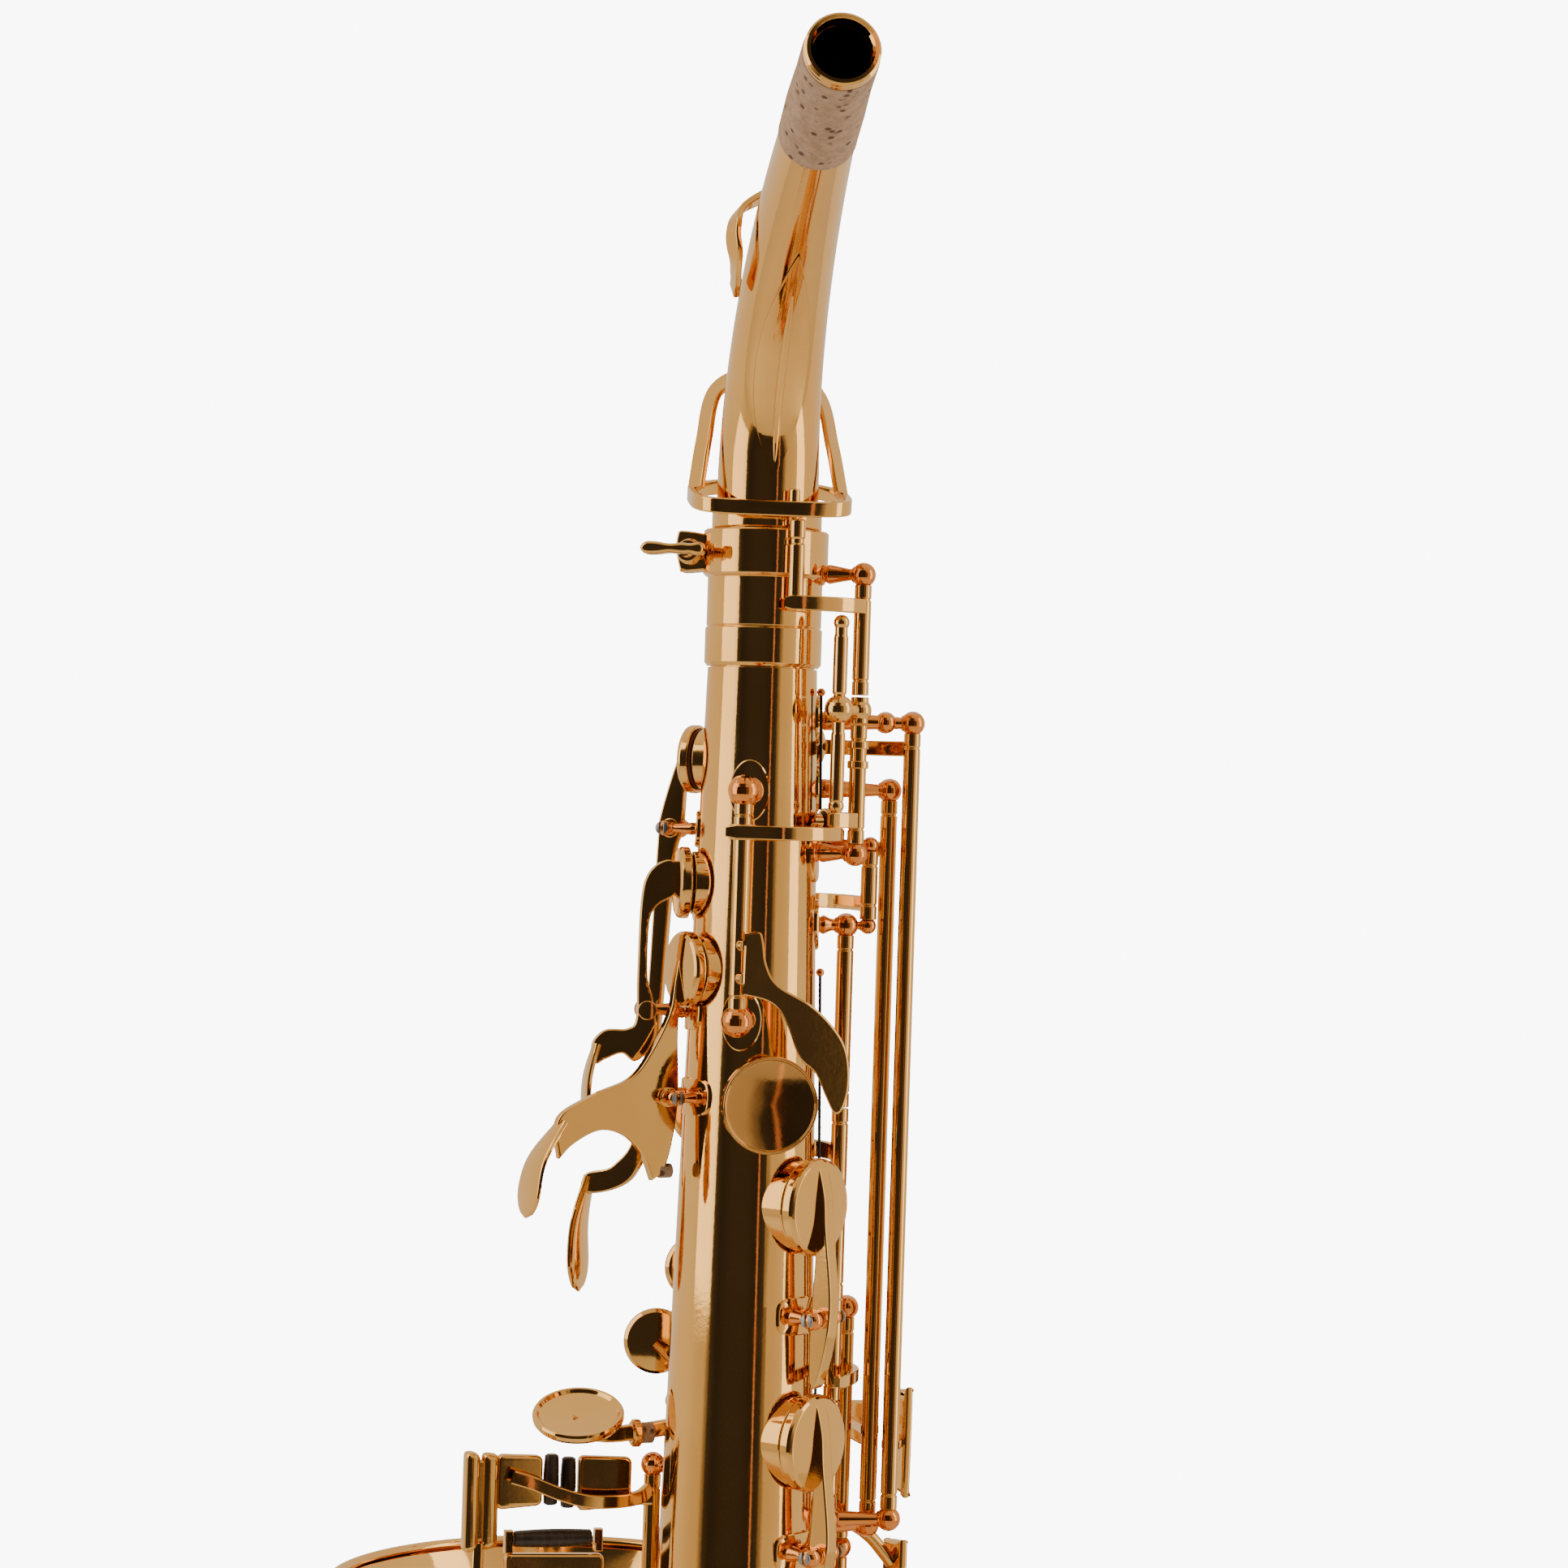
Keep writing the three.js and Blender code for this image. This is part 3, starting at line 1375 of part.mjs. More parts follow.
function levelRoller(left, right, depth) {
  return rod(onTable(left, depth), onTable(right, depth), 2.2, 10);
}

// The closed cup of a key on the bell.
function bellCup({ angle, depth, hole }) {
  const seat = bellRim({ depth }) + fitGap + padProud;
  return {
    cup: cupAt(bellPlace(angle, seat, depth), heading(angle), hole + cupMargin, 3.2),
    top: bellPlace(angle, seat + 3.9, depth),
  };
}

function bellArm(axis, hole, past) {
  const { top } = bellCup(hole);
  return strip(onHinge(axis, 0), past, top, hole.depth, 4.4);
}

function addTableKeys() {
  const { gSharp, lowB, lowBFlat, lowCSharp } = hinges;
  const dish = turned(
    [[0, 0], [10, 0], [11, 0.8], [11, 2.4], [10.2, 2.8], [9.4, 1.8], [0, 1.4]],
    onTable(31, 211.5, 1.5),
    heading(tableFacing + 160, 1.1),
    18,
  );
  addKey("g_sharp_key", gSharp, join(
    keyTube(gSharp, 208 + postClear, 252.5 - postClear),
    cupArm(gSharp, toneHoles.gSharp),
    cupOn(toneHoles.gSharp),
    dish,
    wire([onHinge(gSharp, 214), onTable(18, 215, 1), onTable(31, 211.2, 1.6)], 1.7),
  ));
  addKey(
    "low_b_key",
    lowB,
    join(
      keyTube(lowB, 222.7 + postClear, 408 - postClear),
      tablePlate(19, 32, 220, 234),
      wire([onHinge(lowB, 231), onTable(22, 231)], 1.8),
      bellArm(lowB, bellHoles.lowB, new THREE.Vector3(20, 46, 0)),
      bellCup(bellHoles.lowB).cup,
    ),
    -bellOpen,
    [["table_roller_right", roller(32 + 2 + fitGap, 221, 233), "roller"]],
  );
  addKey(
    "low_b_flat_key",
    lowBFlat,
    join(
      keyTube(lowBFlat, 252.5 + postClear, 354 - postClear),
      tablePlate(25, 49, 243, 258),
      strip(onHinge(lowBFlat, 0), new THREE.Vector3(-9, 35, 0), onTable(30, 0), 258.4, 4),
      bellArm(lowBFlat, bellHoles.lowBFlat, new THREE.Vector3(23, 40, 0)),
      bellCup(bellHoles.lowBFlat).cup,
    ),
    -bellOpen,
    [["table_roller_long", levelRoller(28, 47, 240.3), "roller"]],
  );
  addKey(
    "low_c_sharp_key",
    lowCSharp,
    join(
      keyTube(lowCSharp, 256 + postClear, 433 - postClear),
      tablePlate(51.5, 60, 218, 243, 4),
      tablePlate(41, 52, 219, 233),
      wire(
        [onHinge(lowCSharp, 263), onTable(50, 260, -6), onTable(56, 250, -3), onTable(56, 241)],
        1.8,
      ),
      bellArm(lowCSharp, bellHoles.lowCSharp, new THREE.Vector3(-40, 50, 0)),
      bellCup(bellHoles.lowCSharp).cup,
    ),
    0,
    [["table_roller_left", roller(38.7, 220, 232), "roller"]],
  );
}

function addLowRightKeys() {
  const axis = hinges.lowE;
  addKey("low_e_flat_key", axis, join(
    keyTube(axis, 393 + postClear, 432 - postClear),
    strip(
      onHinge(axis, 0), place(350, coneAt(411) + 14, 0),
      place(toneHoles.lowEFlat.angle, stack(toneHoles.lowEFlat).top + 0.7, 0), 411, 4.4,
    ),
    cupOn(toneHoles.lowEFlat),
    rightPlate(397, 409),
    wire([onHinge(axis, 401), place(30, axis.radius + 9.4, 402)], 1.8),
  ));
  const rim = bowAt(lowCTurn / 180) + chimneyRise;
  const cupSeat = bowPlace(lowCTurn, rim + fitGap + padProud);
  const out = new THREE.Vector3(1, 0, 0);
  addKey("low_c_key", axis, join(
    keyTube(axis, 432 + postClear, 504 - postClear),
    cupAt(cupSeat, out, lowCHole + cupMargin, 3.2),
    wire([onHinge(axis, 494), bowPlace(lowCTurn, rim + fitGap + padProud + 4.6)], 2),
    rightPlate(411.5, 424),
    wire([onHinge(axis, 438), place(30, axis.radius + 8, 434), place(32, axis.radius + 9.4, 420)], 1.8),
  ), lowCOpen);
}

// A touch for the right little finger.
function rightPlate(from, to) {
  const half = (to - from) / 2;
  const centre = place(32, hinges.lowE.radius + 10, (from + to) / 2);
  return slab(points2([[-10, -half], [10, -half], [11, 0], [10, half], [-10, half], [-11, 0]]), 2.6,
    centre, heading(122), down.clone());
}

// ---------------------------------------------------------------- the whole instrument

function build() {
  add("body_tube", bodyTube());
  add("neck_receiver", neckReceiver());
  add("neck_screw", neckScrew());
  add("bow", bow());
  add("bell", bell());
  const bodyJoint = bodyEnd - ringLength / 2;
  add("body_bow_ring", jointRing(place(0, 0, bodyJoint), bowAt(bowLead / bowLength), ringLength));
  const bellJoint = bowTop - bellRingLength + 1;
  add("bell_bow_ring", jointRing(bellPlace(0, 0, bellJoint), bellAt(bellJoint), bellRingLength));
  add("bell_brace", bellBrace(), "darkBrass");
  add("strap_ring", strapRing());
  add("thumb_rest", thumbRest(), "darkBrass");
  add("thumb_hook", thumbHook());
  add("bell_key_guard", bellGuard());
  add("low_c_guard", lowCGuard());
  add("low_e_flat_guard", lowEFlatGuard());
  add("neck_tube", neckTube());
  add("neck_cork", neckCork(), "cork");
  add("neck_brace", neckBrace());
  add("neck_octave_key", neckOctaveKey());
  add("thumb_octave_key", thumbOctaveKey());
  add("octave_pin_key", octavePinKey());
  add("octave_saddle", octaveSaddle());
  add("octave_teeter", octaveTeeter(), "darkBrass");
  add("body_octave_key", bodyOctaveKey());
  addPalmKeys();
  addSideLevers();
  addSideKeys();
  addUpperStack();
  addLowerStack();
  addTableKeys();
  addLowRightKeys();
}

build();
instrument.position.copy(strapCentre).negate();

export default instrument;
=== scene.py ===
import json
import math

import bmesh
import bpy
from mathutils import Matrix, Vector
from mathutils.geometry import tessellate_polygon

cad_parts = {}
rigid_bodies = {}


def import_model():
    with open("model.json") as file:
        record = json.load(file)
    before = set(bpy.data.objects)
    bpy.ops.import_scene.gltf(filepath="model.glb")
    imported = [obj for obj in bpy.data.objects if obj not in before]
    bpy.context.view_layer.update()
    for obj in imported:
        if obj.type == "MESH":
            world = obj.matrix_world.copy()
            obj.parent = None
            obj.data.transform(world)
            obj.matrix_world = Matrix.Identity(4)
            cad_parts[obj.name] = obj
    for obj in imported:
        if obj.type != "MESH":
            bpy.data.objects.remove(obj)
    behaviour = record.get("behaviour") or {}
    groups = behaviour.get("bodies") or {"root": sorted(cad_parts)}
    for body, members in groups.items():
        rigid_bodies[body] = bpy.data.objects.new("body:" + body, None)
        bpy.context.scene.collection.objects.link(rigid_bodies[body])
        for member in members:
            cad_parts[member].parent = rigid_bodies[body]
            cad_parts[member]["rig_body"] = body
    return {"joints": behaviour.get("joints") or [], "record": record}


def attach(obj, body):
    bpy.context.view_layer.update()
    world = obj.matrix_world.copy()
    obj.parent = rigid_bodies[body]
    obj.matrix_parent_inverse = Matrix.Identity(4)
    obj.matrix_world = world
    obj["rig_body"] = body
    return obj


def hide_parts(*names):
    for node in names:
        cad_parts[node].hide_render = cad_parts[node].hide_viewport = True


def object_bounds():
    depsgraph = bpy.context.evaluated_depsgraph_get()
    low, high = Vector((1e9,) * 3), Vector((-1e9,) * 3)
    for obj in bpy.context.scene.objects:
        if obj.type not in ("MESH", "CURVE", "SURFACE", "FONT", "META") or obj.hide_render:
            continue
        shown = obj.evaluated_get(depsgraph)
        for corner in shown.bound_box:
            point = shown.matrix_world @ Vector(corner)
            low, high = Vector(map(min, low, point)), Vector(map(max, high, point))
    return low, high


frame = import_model()
cad_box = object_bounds()
joints = {joint["name"]: joint for joint in frame["joints"]}
body_of = {node: body for body, nodes in frame["record"]["behaviour"]["bodies"].items() for node in nodes}

MM = 0.001
UP = Vector((0, 0, 1))
DOWN = Vector((0, 0, -1))

# ---------------------------------------------------------------- driving dimensions

CONE_RADIUS = 12.07
CONE_TAPER = 0.025
TUBE_WALL = 0.9
BODY_END = 470
RECEIVER_LENGTH = 32
RECEIVER_BORE = 12.3
NECK_ANGLE = 248
NECK_START = 14
NECK_REACH = 120
NECK_RISE = 91
NECK_TIP = 6.9
CORK_LENGTH = 42
CORK_THICKNESS = 1.1
BOW_RADIUS = 46.5
BOW_LEAD = 8
BOW_TOP = BODY_END + 0.3 + BOW_LEAD
BELL_TUBE = 31
BELL_RIM = 61.5
BELL_RIM_DEPTH = 266
GAP = 0.3
PAD_PROUD = 0.5
CUP_HEIGHT = 2.8
CUP_MARGIN = 1.9
CHIMNEY_RISE = 1.7
KEY_TUBE = 2
POST_BALL = 2.9
OPEN_GAP = 2.8

# ---------------------------------------------------------------- places

AXIS = Vector(joints["neck_swivel"]["pos_m"]) / MM


def heading(angle, up=0.0):
    return Vector((math.cos(math.radians(angle)), math.sin(math.radians(angle)), up))


def place(angle, radius, depth):
    return AXIS + heading(angle) * radius + DOWN * depth


def cone_at(depth):
    return CONE_RADIUS + CONE_TAPER * depth


def joint_place(name):
    return Vector(joints[name]["pos_m"]) / MM


def on_hinge(name, depth):
    point = joint_place(name)
    point.z = AXIS.z - depth
    return point


def hinge_angle(name):
    offset = joint_place(name) - AXIS
    return math.degrees(math.atan2(offset.y, offset.x)) % 360


BELL_AXIS = AXIS + Vector((0, 2 * BOW_RADIUS, 0))


def bell_place(angle, radius, depth):
    return BELL_AXIS + heading(angle) * radius + DOWN * depth


# ---------------------------------------------------------------- curves


def spline(points, steps=8, closed=False, corners=()):
    """A smooth curve through points. At a corner, given by its index, it may turn sharply."""
    points = [Vector(point) for point in points]
    count = len(points)
    result = []
    for i in range(count if closed else count - 1):
        before, start = points[(i - 1) % count], points[i]
        end, after = points[(i + 1) % count], points[(i + 2) % count]
        if i in corners or (not closed and i == 0):
            before = start * 2 - end
        if (i + 1) % count in corners or (not closed and i == count - 2):
            after = end * 2 - start
        for k in range(steps):
            t = k / steps
            result.append(
                0.5
                * (
                    2 * start
                    + (end - before) * t
                    + (2 * before - 5 * start + 4 * end - after) * t * t
                    + (3 * start - before - 3 * end + after) * t * t * t
                )
            )
    if not closed:
        result.append(points[-1])
    return result


def softened(points, radius, closed=False, steps=3):
    """The same line with its corners rounded."""
    points = [Vector(point) for point in points]
    count = len(points)
    result = []
    for i, point in enumerate(points):
        if not closed and i in (0, count - 1):
            result.append(point)
            continue
        before, after = points[i - 1], points[(i + 1) % count]
        into, out = point - before, after - point
        if into.length < 1e-6 or out.length < 1e-6 or into.angle(out) < math.radians(12):
            result.append(point)
            continue
        back = min(radius, into.length * 0.45, out.length * 0.45)
        start, end = point - into.normalized() * back, point + out.normalized() * back
        for k in range(steps + 1):
            t = k / steps
            result.append(start.lerp(point, t).lerp(point.lerp(end, t), t))
    return result


def bezier(start, past, end, steps=14):
    start, past, end = Vector(start), Vector(past), Vector(end)
    return [
        start.lerp(past, k / steps).lerp(past.lerp(end, k / steps), k / steps) for k in range(steps + 1)
    ]


# ---------------------------------------------------------------- shells


def shell(rings, closed=False):
    """Faces between rings of points. Unless the rings come round to the first, the ends are capped."""
    sides = len(rings[0])
    verts = [point for ring in rings for point in ring]
    faces = []
    for i in range(len(rings) - (0 if closed else 1)):
        near, far = i * sides, ((i + 1) % len(rings)) * sides
        for k in range(sides):
            after = (k + 1) % sides
            faces.append((near + k, near + after, far + after, far + k))
    if not closed:
        faces.append(tuple(reversed(range(sides))))
        faces.append(tuple(range(len(verts) - sides, len(verts))))
    return verts, faces


def cross_axes(axis):
    axis = axis.normalized()
    other = Vector((1, 0, 0)) if abs(axis.x) < 0.9 else Vector((0, 1, 0))
    side = axis.cross(other).normalized()
    return side, axis.cross(side)


def turned(profile, origin, axis, sides=40, soft=0.25):
    """A profile of (radius, height) pairs turned about an axis. One that ends where it began is a ring."""
    closed = tuple(profile[0]) == tuple(profile[-1])
    points = softened(profile[:-1] if closed else profile, soft, closed)
    side, top = cross_axes(axis)
    axis = axis.normalized()
    turns = [2 * math.pi * k / sides for k in range(sides)]
    rings = []
    for radius, height in points:
        radius = max(radius, 0.02)
        rings.append(
            [
                origin + axis * height + (side * math.cos(turn) + top * math.sin(turn)) * radius
                for turn in turns
            ]
        )
    return shell(rings, closed)


def rod(start, end, radius, sides=24, soft=0.2):
    along = end - start
    return turned([(0, 0), (radius, 0), (radius, along.length), (0, along.length)], start, along, sides, soft)


def ball(centre, radius, sides=28):
    steps = 14
    profile = [
        (radius * math.sin(math.pi * k / steps), -radius * math.cos(math.pi * k / steps))
        for k in range(steps + 1)
    ]
    return turned(profile, centre, UP, sides, 0)


def round_section(radius, sides=16):
    return [
        (radius * math.cos(2 * math.pi * k / sides), radius * math.sin(2 * math.pi * k / sides))
        for k in range(sides)
    ]


def bar_section(width, thickness, soft=0.35):
    x, y = width / 2, thickness / 2
    corners = [(-x, -y), (x, -y), (x, y), (-x, y)]
    return [tuple(point) for point in softened(corners, soft, closed=True)]


def swept(path, section, up=None, sizes=None, closed=False):
    """A section carried along a path. Its y side keeps towards up, or turns as little as it can."""
    count = len(path)
    rings = []
    top = None
    for i, point in enumerate(path):
        before = path[i - 1] if i or closed else path[0]
        after = path[(i + 1) % count] if i < count - 1 or closed else path[-1]
        tangent = (after - before).normalized()
        if up is not None:
            toward = up(point) if callable(up) else up
        else:
            toward = top if top is not None else cross_axes(tangent)[0]
        side = tangent.cross(toward).normalized()
        top = side.cross(tangent)
        width, height = sizes[i] if sizes else (1, 1)
        rings.append([point + side * x * width + top * y * height for x, y in section])
    return shell(rings, closed)


def wire(points, radius, bend=3, sides=16):
    path = softened(points, bend, steps=6)
    sizes = [(1, 1)] * len(path)
    return swept(path, round_section(radius, sides), sizes=sizes)


def inset(outline, distance):
    """A closed flat outline moved inward."""
    area = sum(a[0] * b[1] - b[0] * a[1] for a, b in zip(outline, outline[1:] + outline[:1]))
    way = 1 if area > 0 else -1
    result = []
    for i, point in enumerate(outline):
        into = (Vector(point) - Vector(outline[i - 1])).normalized()
        out = (Vector(outline[(i + 1) % len(outline)]) - Vector(point)).normalized()
        normal = Vector((-into.y - out.y, into.x + out.x)) * way
        if normal.length < 1e-6:
            result.append(Vector(point))
            continue
        normal.normalize()
        lean = max(0.5, normal.dot(Vector((-into.y, into.x)) * way))
        result.append(Vector(point) + normal * distance / lean)
    return result


def plate(outline, thickness, origin, x_axis, y_axis, soft=0.35):
    """A flat outline made into a plate with rounded edges."""
    outline = [Vector((point[0], point[1])) for point in outline]
    normal = x_axis.cross(y_axis).normalized()
    layers = []
    for turn in (90, 60, 30, 0):
        bend = math.radians(turn)
        layers.append((soft * (1 - math.cos(bend)), thickness / 2 - soft + soft * math.sin(bend)))
    layers = layers + [(depth, -height) for depth, height in reversed(layers)]
    rings = []
    for depth, height in layers:
        ring = inset(outline, depth)
        rings.append([origin + x_axis * p[0] + y_axis * p[1] + normal * height for p in ring])
    verts, faces = shell(rings)
    sides = [face for face in faces if len(face) == 4]
    flat = tessellate_polygon([[Vector((p[0], p[1], 0)) for p in inset(outline, soft)]])
    last = len(verts) - len(outline)
    caps = [tuple(corner) for corner in flat] + [tuple(last + i for i in reversed(corner)) for corner in flat]
    return verts, sides + caps


# ---------------------------------------------------------------- materials


def new_material(name, colour, metallic, roughness):
    material = bpy.data.materials.new(name)
    material.use_nodes = True
    shader = material.node_tree.nodes["Principled BSDF"]
    shader.inputs["Base Color"].default_value = (*colour, 1)
    shader.inputs["Metallic"].default_value = metallic
    shader.inputs["Roughness"].default_value = roughness
    return material


def node(material, kind, **values):
    made = material.node_tree.nodes.new(kind)
    for key, value in values.items():
        if key in made.inputs:
            made.inputs[key].default_value = value
        else:
            setattr(made, key, value)
    return made


def wire_up(material, *links):
    for start, end in links:
        material.node_tree.links.new(start, end)


def object_place(material):
    return node(material, "ShaderNodeTexCoord").outputs["Object"]


def noise(material, scale, detail=4.0, roughness=0.55):
    made = node(material, "ShaderNodeTexNoise", Scale=scale, Detail=detail, Roughness=roughness)
    wire_up(material, (object_place(material), made.inputs["Vector"]))
    return made.outputs["Fac"]


def ramp(material, value, stops):
    made = node(material, "ShaderNodeValToRGB")
    elements = made.color_ramp.elements
    while len(elements) < len(stops):
        elements.new(0.5)
    for element, (at, colour) in zip(elements, stops):
        element.position = at
        element.color = (*colour, 1) if isinstance(colour, tuple) else (colour, colour, colour, 1)
    wire_up(material, (value, made.inputs["Fac"]))
    return made.outputs["Color"]


def bump(material, height, strength, distance):
    made = node(material, "ShaderNodeBump", Strength=strength, Distance=distance)
    shader = material.node_tree.nodes["Principled BSDF"]
    wire_up(material, (height, made.inputs["Height"]), (made.outputs["Normal"], shader.inputs["Normal"]))
    return made


def metal(name, pale, deep, smooth, worn):
    """Polished metal under lacquer: colour drifts a little, and fine wipe marks vary the gloss."""
    material = new_material(name, pale, 1.0, smooth)
    shader = material.node_tree.nodes["Principled BSDF"]
    colour = ramp(material, noise(material, 38, 3), [(0.3, deep), (0.7, pale)])
    gloss = ramp(material, noise(material, 160, 6, 0.62), [(0.35, smooth), (0.72, worn)])
    wire_up(material, (colour, shader.inputs["Base Color"]), (gloss, shader.inputs["Roughness"]))
    bump(material, noise(material, 900, 2), 0.035, 0.0002)
    shader.inputs["Coat Weight"].default_value = 0.15
    shader.inputs["Coat Roughness"].default_value = 0.04
    return material


def cork_material(name, pale, deep, speck):
    material = new_material(name, pale, 0.0, 0.85)
    shader = material.node_tree.nodes["Principled BSDF"]
    ground = ramp(material, noise(material, 420, 5, 0.65), [(0.35, deep), (0.65, pale)])
    cells = node(material, "ShaderNodeTexVoronoi", Scale=380.0, Randomness=1.0)
    stretch = node(material, "ShaderNodeTexNoise", Scale=260.0, Detail=3.0)
    wire_up(
        material,
        (object_place(material), cells.inputs["Vector"]),
        (object_place(material), stretch.inputs["Vector"]),
    )
    spots = ramp(material, cells.outputs["Distance"], [(0.2, 1.0), (0.32, 0.0)])
    some = ramp(material, stretch.outputs["Fac"], [(0.46, 0.0), (0.52, 1.0)])
    both = node(material, "ShaderNodeMath", operation="MULTIPLY")
    mix = node(material, "ShaderNodeMix", data_type="RGBA")
    mix.inputs["B"].default_value = (*speck, 1)
    wire_up(
        material,
        (spots, both.inputs[0]),
        (some, both.inputs[1]),
        (both.outputs[0], mix.inputs["Factor"]),
        (ground, mix.inputs[6]),
        (mix.outputs[2], shader.inputs["Base Color"]),
    )
    mix.inputs[7].default_value = (*speck, 1)
    pits = node(material, "ShaderNodeMath", operation="SUBTRACT")
    wire_up(material, (noise(material, 900, 4), pits.inputs[0]), (both.outputs[0], pits.inputs[1]))
    bump(material, pits.outputs[0], 0.5, 0.0004)
    return material


def leather_material(name, pale, deep):
    material = new_material(name, pale, 0.0, 0.6)
    shader = material.node_tree.nodes["Principled BSDF"]
    wire_up(
        material,
        (ramp(material, noise(material, 300, 5), [(0.3, deep), (0.7, pale)]), shader.inputs["Base Color"]),
    )
    bump(material, noise(material, 1500, 4), 0.3, 0.0003)
    return material


def grained_material(name, pale, deep, roughness):
    """Dark wood-like grain along Z."""
    material = new_material(name, pale, 0.0, roughness)
    shader = material.node_tree.nodes["Principled BSDF"]
    stretch = node(material, "ShaderNodeMapping")
    stretch.inputs["Scale"].default_value = (1, 1, 0.12)
    grain = node(material, "ShaderNodeTexNoise", Scale=900.0, Detail=5.0)
    wire_up(
        material,
        (object_place(material), stretch.inputs["Vector"]),
        (stretch.outputs["Vector"], grain.inputs["Vector"]),
    )
    wire_up(
        material,
        (ramp(material, grain.outputs["Fac"], [(0.35, deep), (0.65, pale)]), shader.inputs["Base Color"]),
    )
    bump(material, grain.outputs["Fac"], 0.15, 0.0002)
    return material


def pearl_material(name):
    material = new_material(name, (0.86, 0.84, 0.8), 0.0, 0.18)
    shader = material.node_tree.nodes["Principled BSDF"]
    clouds = ramp(
        material,
        noise(material, 240, 4),
        [(0.25, (0.78, 0.74, 0.72)), (0.5, (0.93, 0.92, 0.88)), (0.75, (0.74, 0.8, 0.8))],
    )
    wire_up(material, (clouds, shader.inputs["Base Color"]))
    shader.inputs["Coat Weight"].default_value = 0.6
    shader.inputs["Coat Roughness"].default_value = 0.05
    bump(material, noise(material, 60, 2), 0.05, 0.0005)
    return material


MATERIALS = {
    "brass": metal("gold_lacquer", (0.86, 0.50, 0.15), (0.80, 0.44, 0.12), 0.045, 0.10),
    "dark": metal("deep_lacquer", (0.62, 0.34, 0.10), (0.54, 0.28, 0.08), 0.06, 0.14),
    "rose": metal("rose_lacquer", (0.84, 0.33, 0.085), (0.76, 0.27, 0.06), 0.045, 0.10),
    "dull": metal("dull_brass", (0.22, 0.17, 0.08), (0.14, 0.11, 0.05), 0.35, 0.55),
    "steel": metal("steel", (0.36, 0.36, 0.37), (0.28, 0.28, 0.29), 0.22, 0.34),
    "blued": metal("blued_steel", (0.05, 0.05, 0.07), (0.03, 0.03, 0.05), 0.25, 0.4),
    "cork": cork_material("cork", (0.52, 0.36, 0.26), (0.38, 0.25, 0.17), (0.12, 0.07, 0.045)),
    "pad": leather_material("pad_leather", (0.16, 0.05, 0.03), (0.09, 0.03, 0.02)),
    "felt": leather_material("felt", (0.12, 0.03, 0.03), (0.07, 0.02, 0.02)),
    "roller": grained_material("roller", (0.05, 0.035, 0.03), (0.022, 0.016, 0.014), 0.3),
    "pearl": pearl_material("pearl"),
}


# ---------------------------------------------------------------- pieces


class Piece:
    """One object on one CAD body, gathered from shells of one or more materials."""

    def __init__(self, name, node_name=None, body=None, rest_turn=None):
        self.name = name
        self.node = node_name
        self.body = body or body_of.get(node_name)
        self.rest_turn = rest_turn
        self.verts, self.faces, self.kinds, self.materials = [], [], [], []

    def add(self, material, *shells):
        if material not in self.materials:
            self.materials.append(material)
        kind = self.materials.index(material)
        for verts, faces in shells:
            first = len(self.verts)
            self.verts += [Vector(vert) for vert in verts]
            self.faces += [tuple(first + i for i in face) for face in faces]
            self.kinds += [kind] * len(faces)
        return self

    def make(self, replaces=()):
        verts = self.verts
        if self.rest_turn:
            pivot, angle = self.rest_turn
            turn = Matrix.Translation(pivot) @ Matrix.Rotation(math.radians(angle), 4, "Z")
            turn = turn @ Matrix.Translation(-pivot)
            verts = [turn @ vert for vert in verts]
        mesh = bpy.data.meshes.new(self.name)
        mesh.from_pydata([vert * MM for vert in verts], [], self.faces)
        for material in self.materials:
            mesh.materials.append(MATERIALS[material])
        mesh.polygons.foreach_set("material_index", self.kinds)
        work = bmesh.new()
        work.from_mesh(mesh)
        bmesh.ops.recalc_face_normals(work, faces=work.faces)
        work.to_mesh(mesh)
        work.free()
        mesh.shade_smooth()
        mesh.set_sharp_from_angle(angle=math.radians(38))
        made = bpy.data.objects.new(self.name, mesh)
        bpy.context.scene.collection.objects.link(made)
        evened = made.modifiers.new("even_normals", "WEIGHTED_NORMAL")
        evened.keep_sharp = True
        evened.weight = 80
        if self.body:
            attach(made, self.body)
        nodes = list(replaces) or ([self.node] if self.node else [])
        if nodes:
            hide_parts(*nodes)
        return made


def subtract(target, *shells):
    """Cuts closed shells, in millimetres, out of an object's mesh."""
    cutter = Piece(target.name + "_cutter", body=target["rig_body"])
    cutter.add("brass", *shells)
    tool = cutter.make()
    modifier = target.modifiers.new("cut", "BOOLEAN")
    modifier.object = tool
    modifier.operation = "DIFFERENCE"
    modifier.solver = "MANIFOLD"
    depsgraph = bpy.context.evaluated_depsgraph_get()
    result = bpy.data.meshes.new_from_object(target.evaluated_get(depsgraph))
    target.modifiers.clear()
    old = target.data
    target.data = result
    result.shade_smooth()
    result.set_sharp_from_angle(angle=math.radians(38))
    bpy.data.meshes.remove(old)
    tool_mesh = tool.data
    bpy.data.objects.remove(tool)
    bpy.data.meshes.remove(tool_mesh)


# ---------------------------------------------------------------- fittings used again and again


def arm(start, past, end, depth, width=3.6, thickness=2.0):
    """A level strap along a curve seen from above, standing on edge, with a rounded far end."""
    level = AXIS.z - depth
    path = [Vector((p.x, p.y, level)) for p in bezier(start, past, end, 16)]
    sizes = [(1, 1)] * len(path)
    sizes[0] = sizes[-1] = (0.7, 0.7)
    return swept(path, bar_section(width, thickness), up=arm_facing(path), sizes=sizes)


def arm_facing(path):
    """For a level path, the level direction across it, so that the section's width stands upright."""

    def toward(point):
        nearest = min(range(len(path)), key=lambda i: (path[i] - point).length_squared)
        after = path[min(nearest + 1, len(path) - 1)]
        before = path[max(nearest - 1, 0)]
        return (after - before).cross(UP).normalized()

    return toward


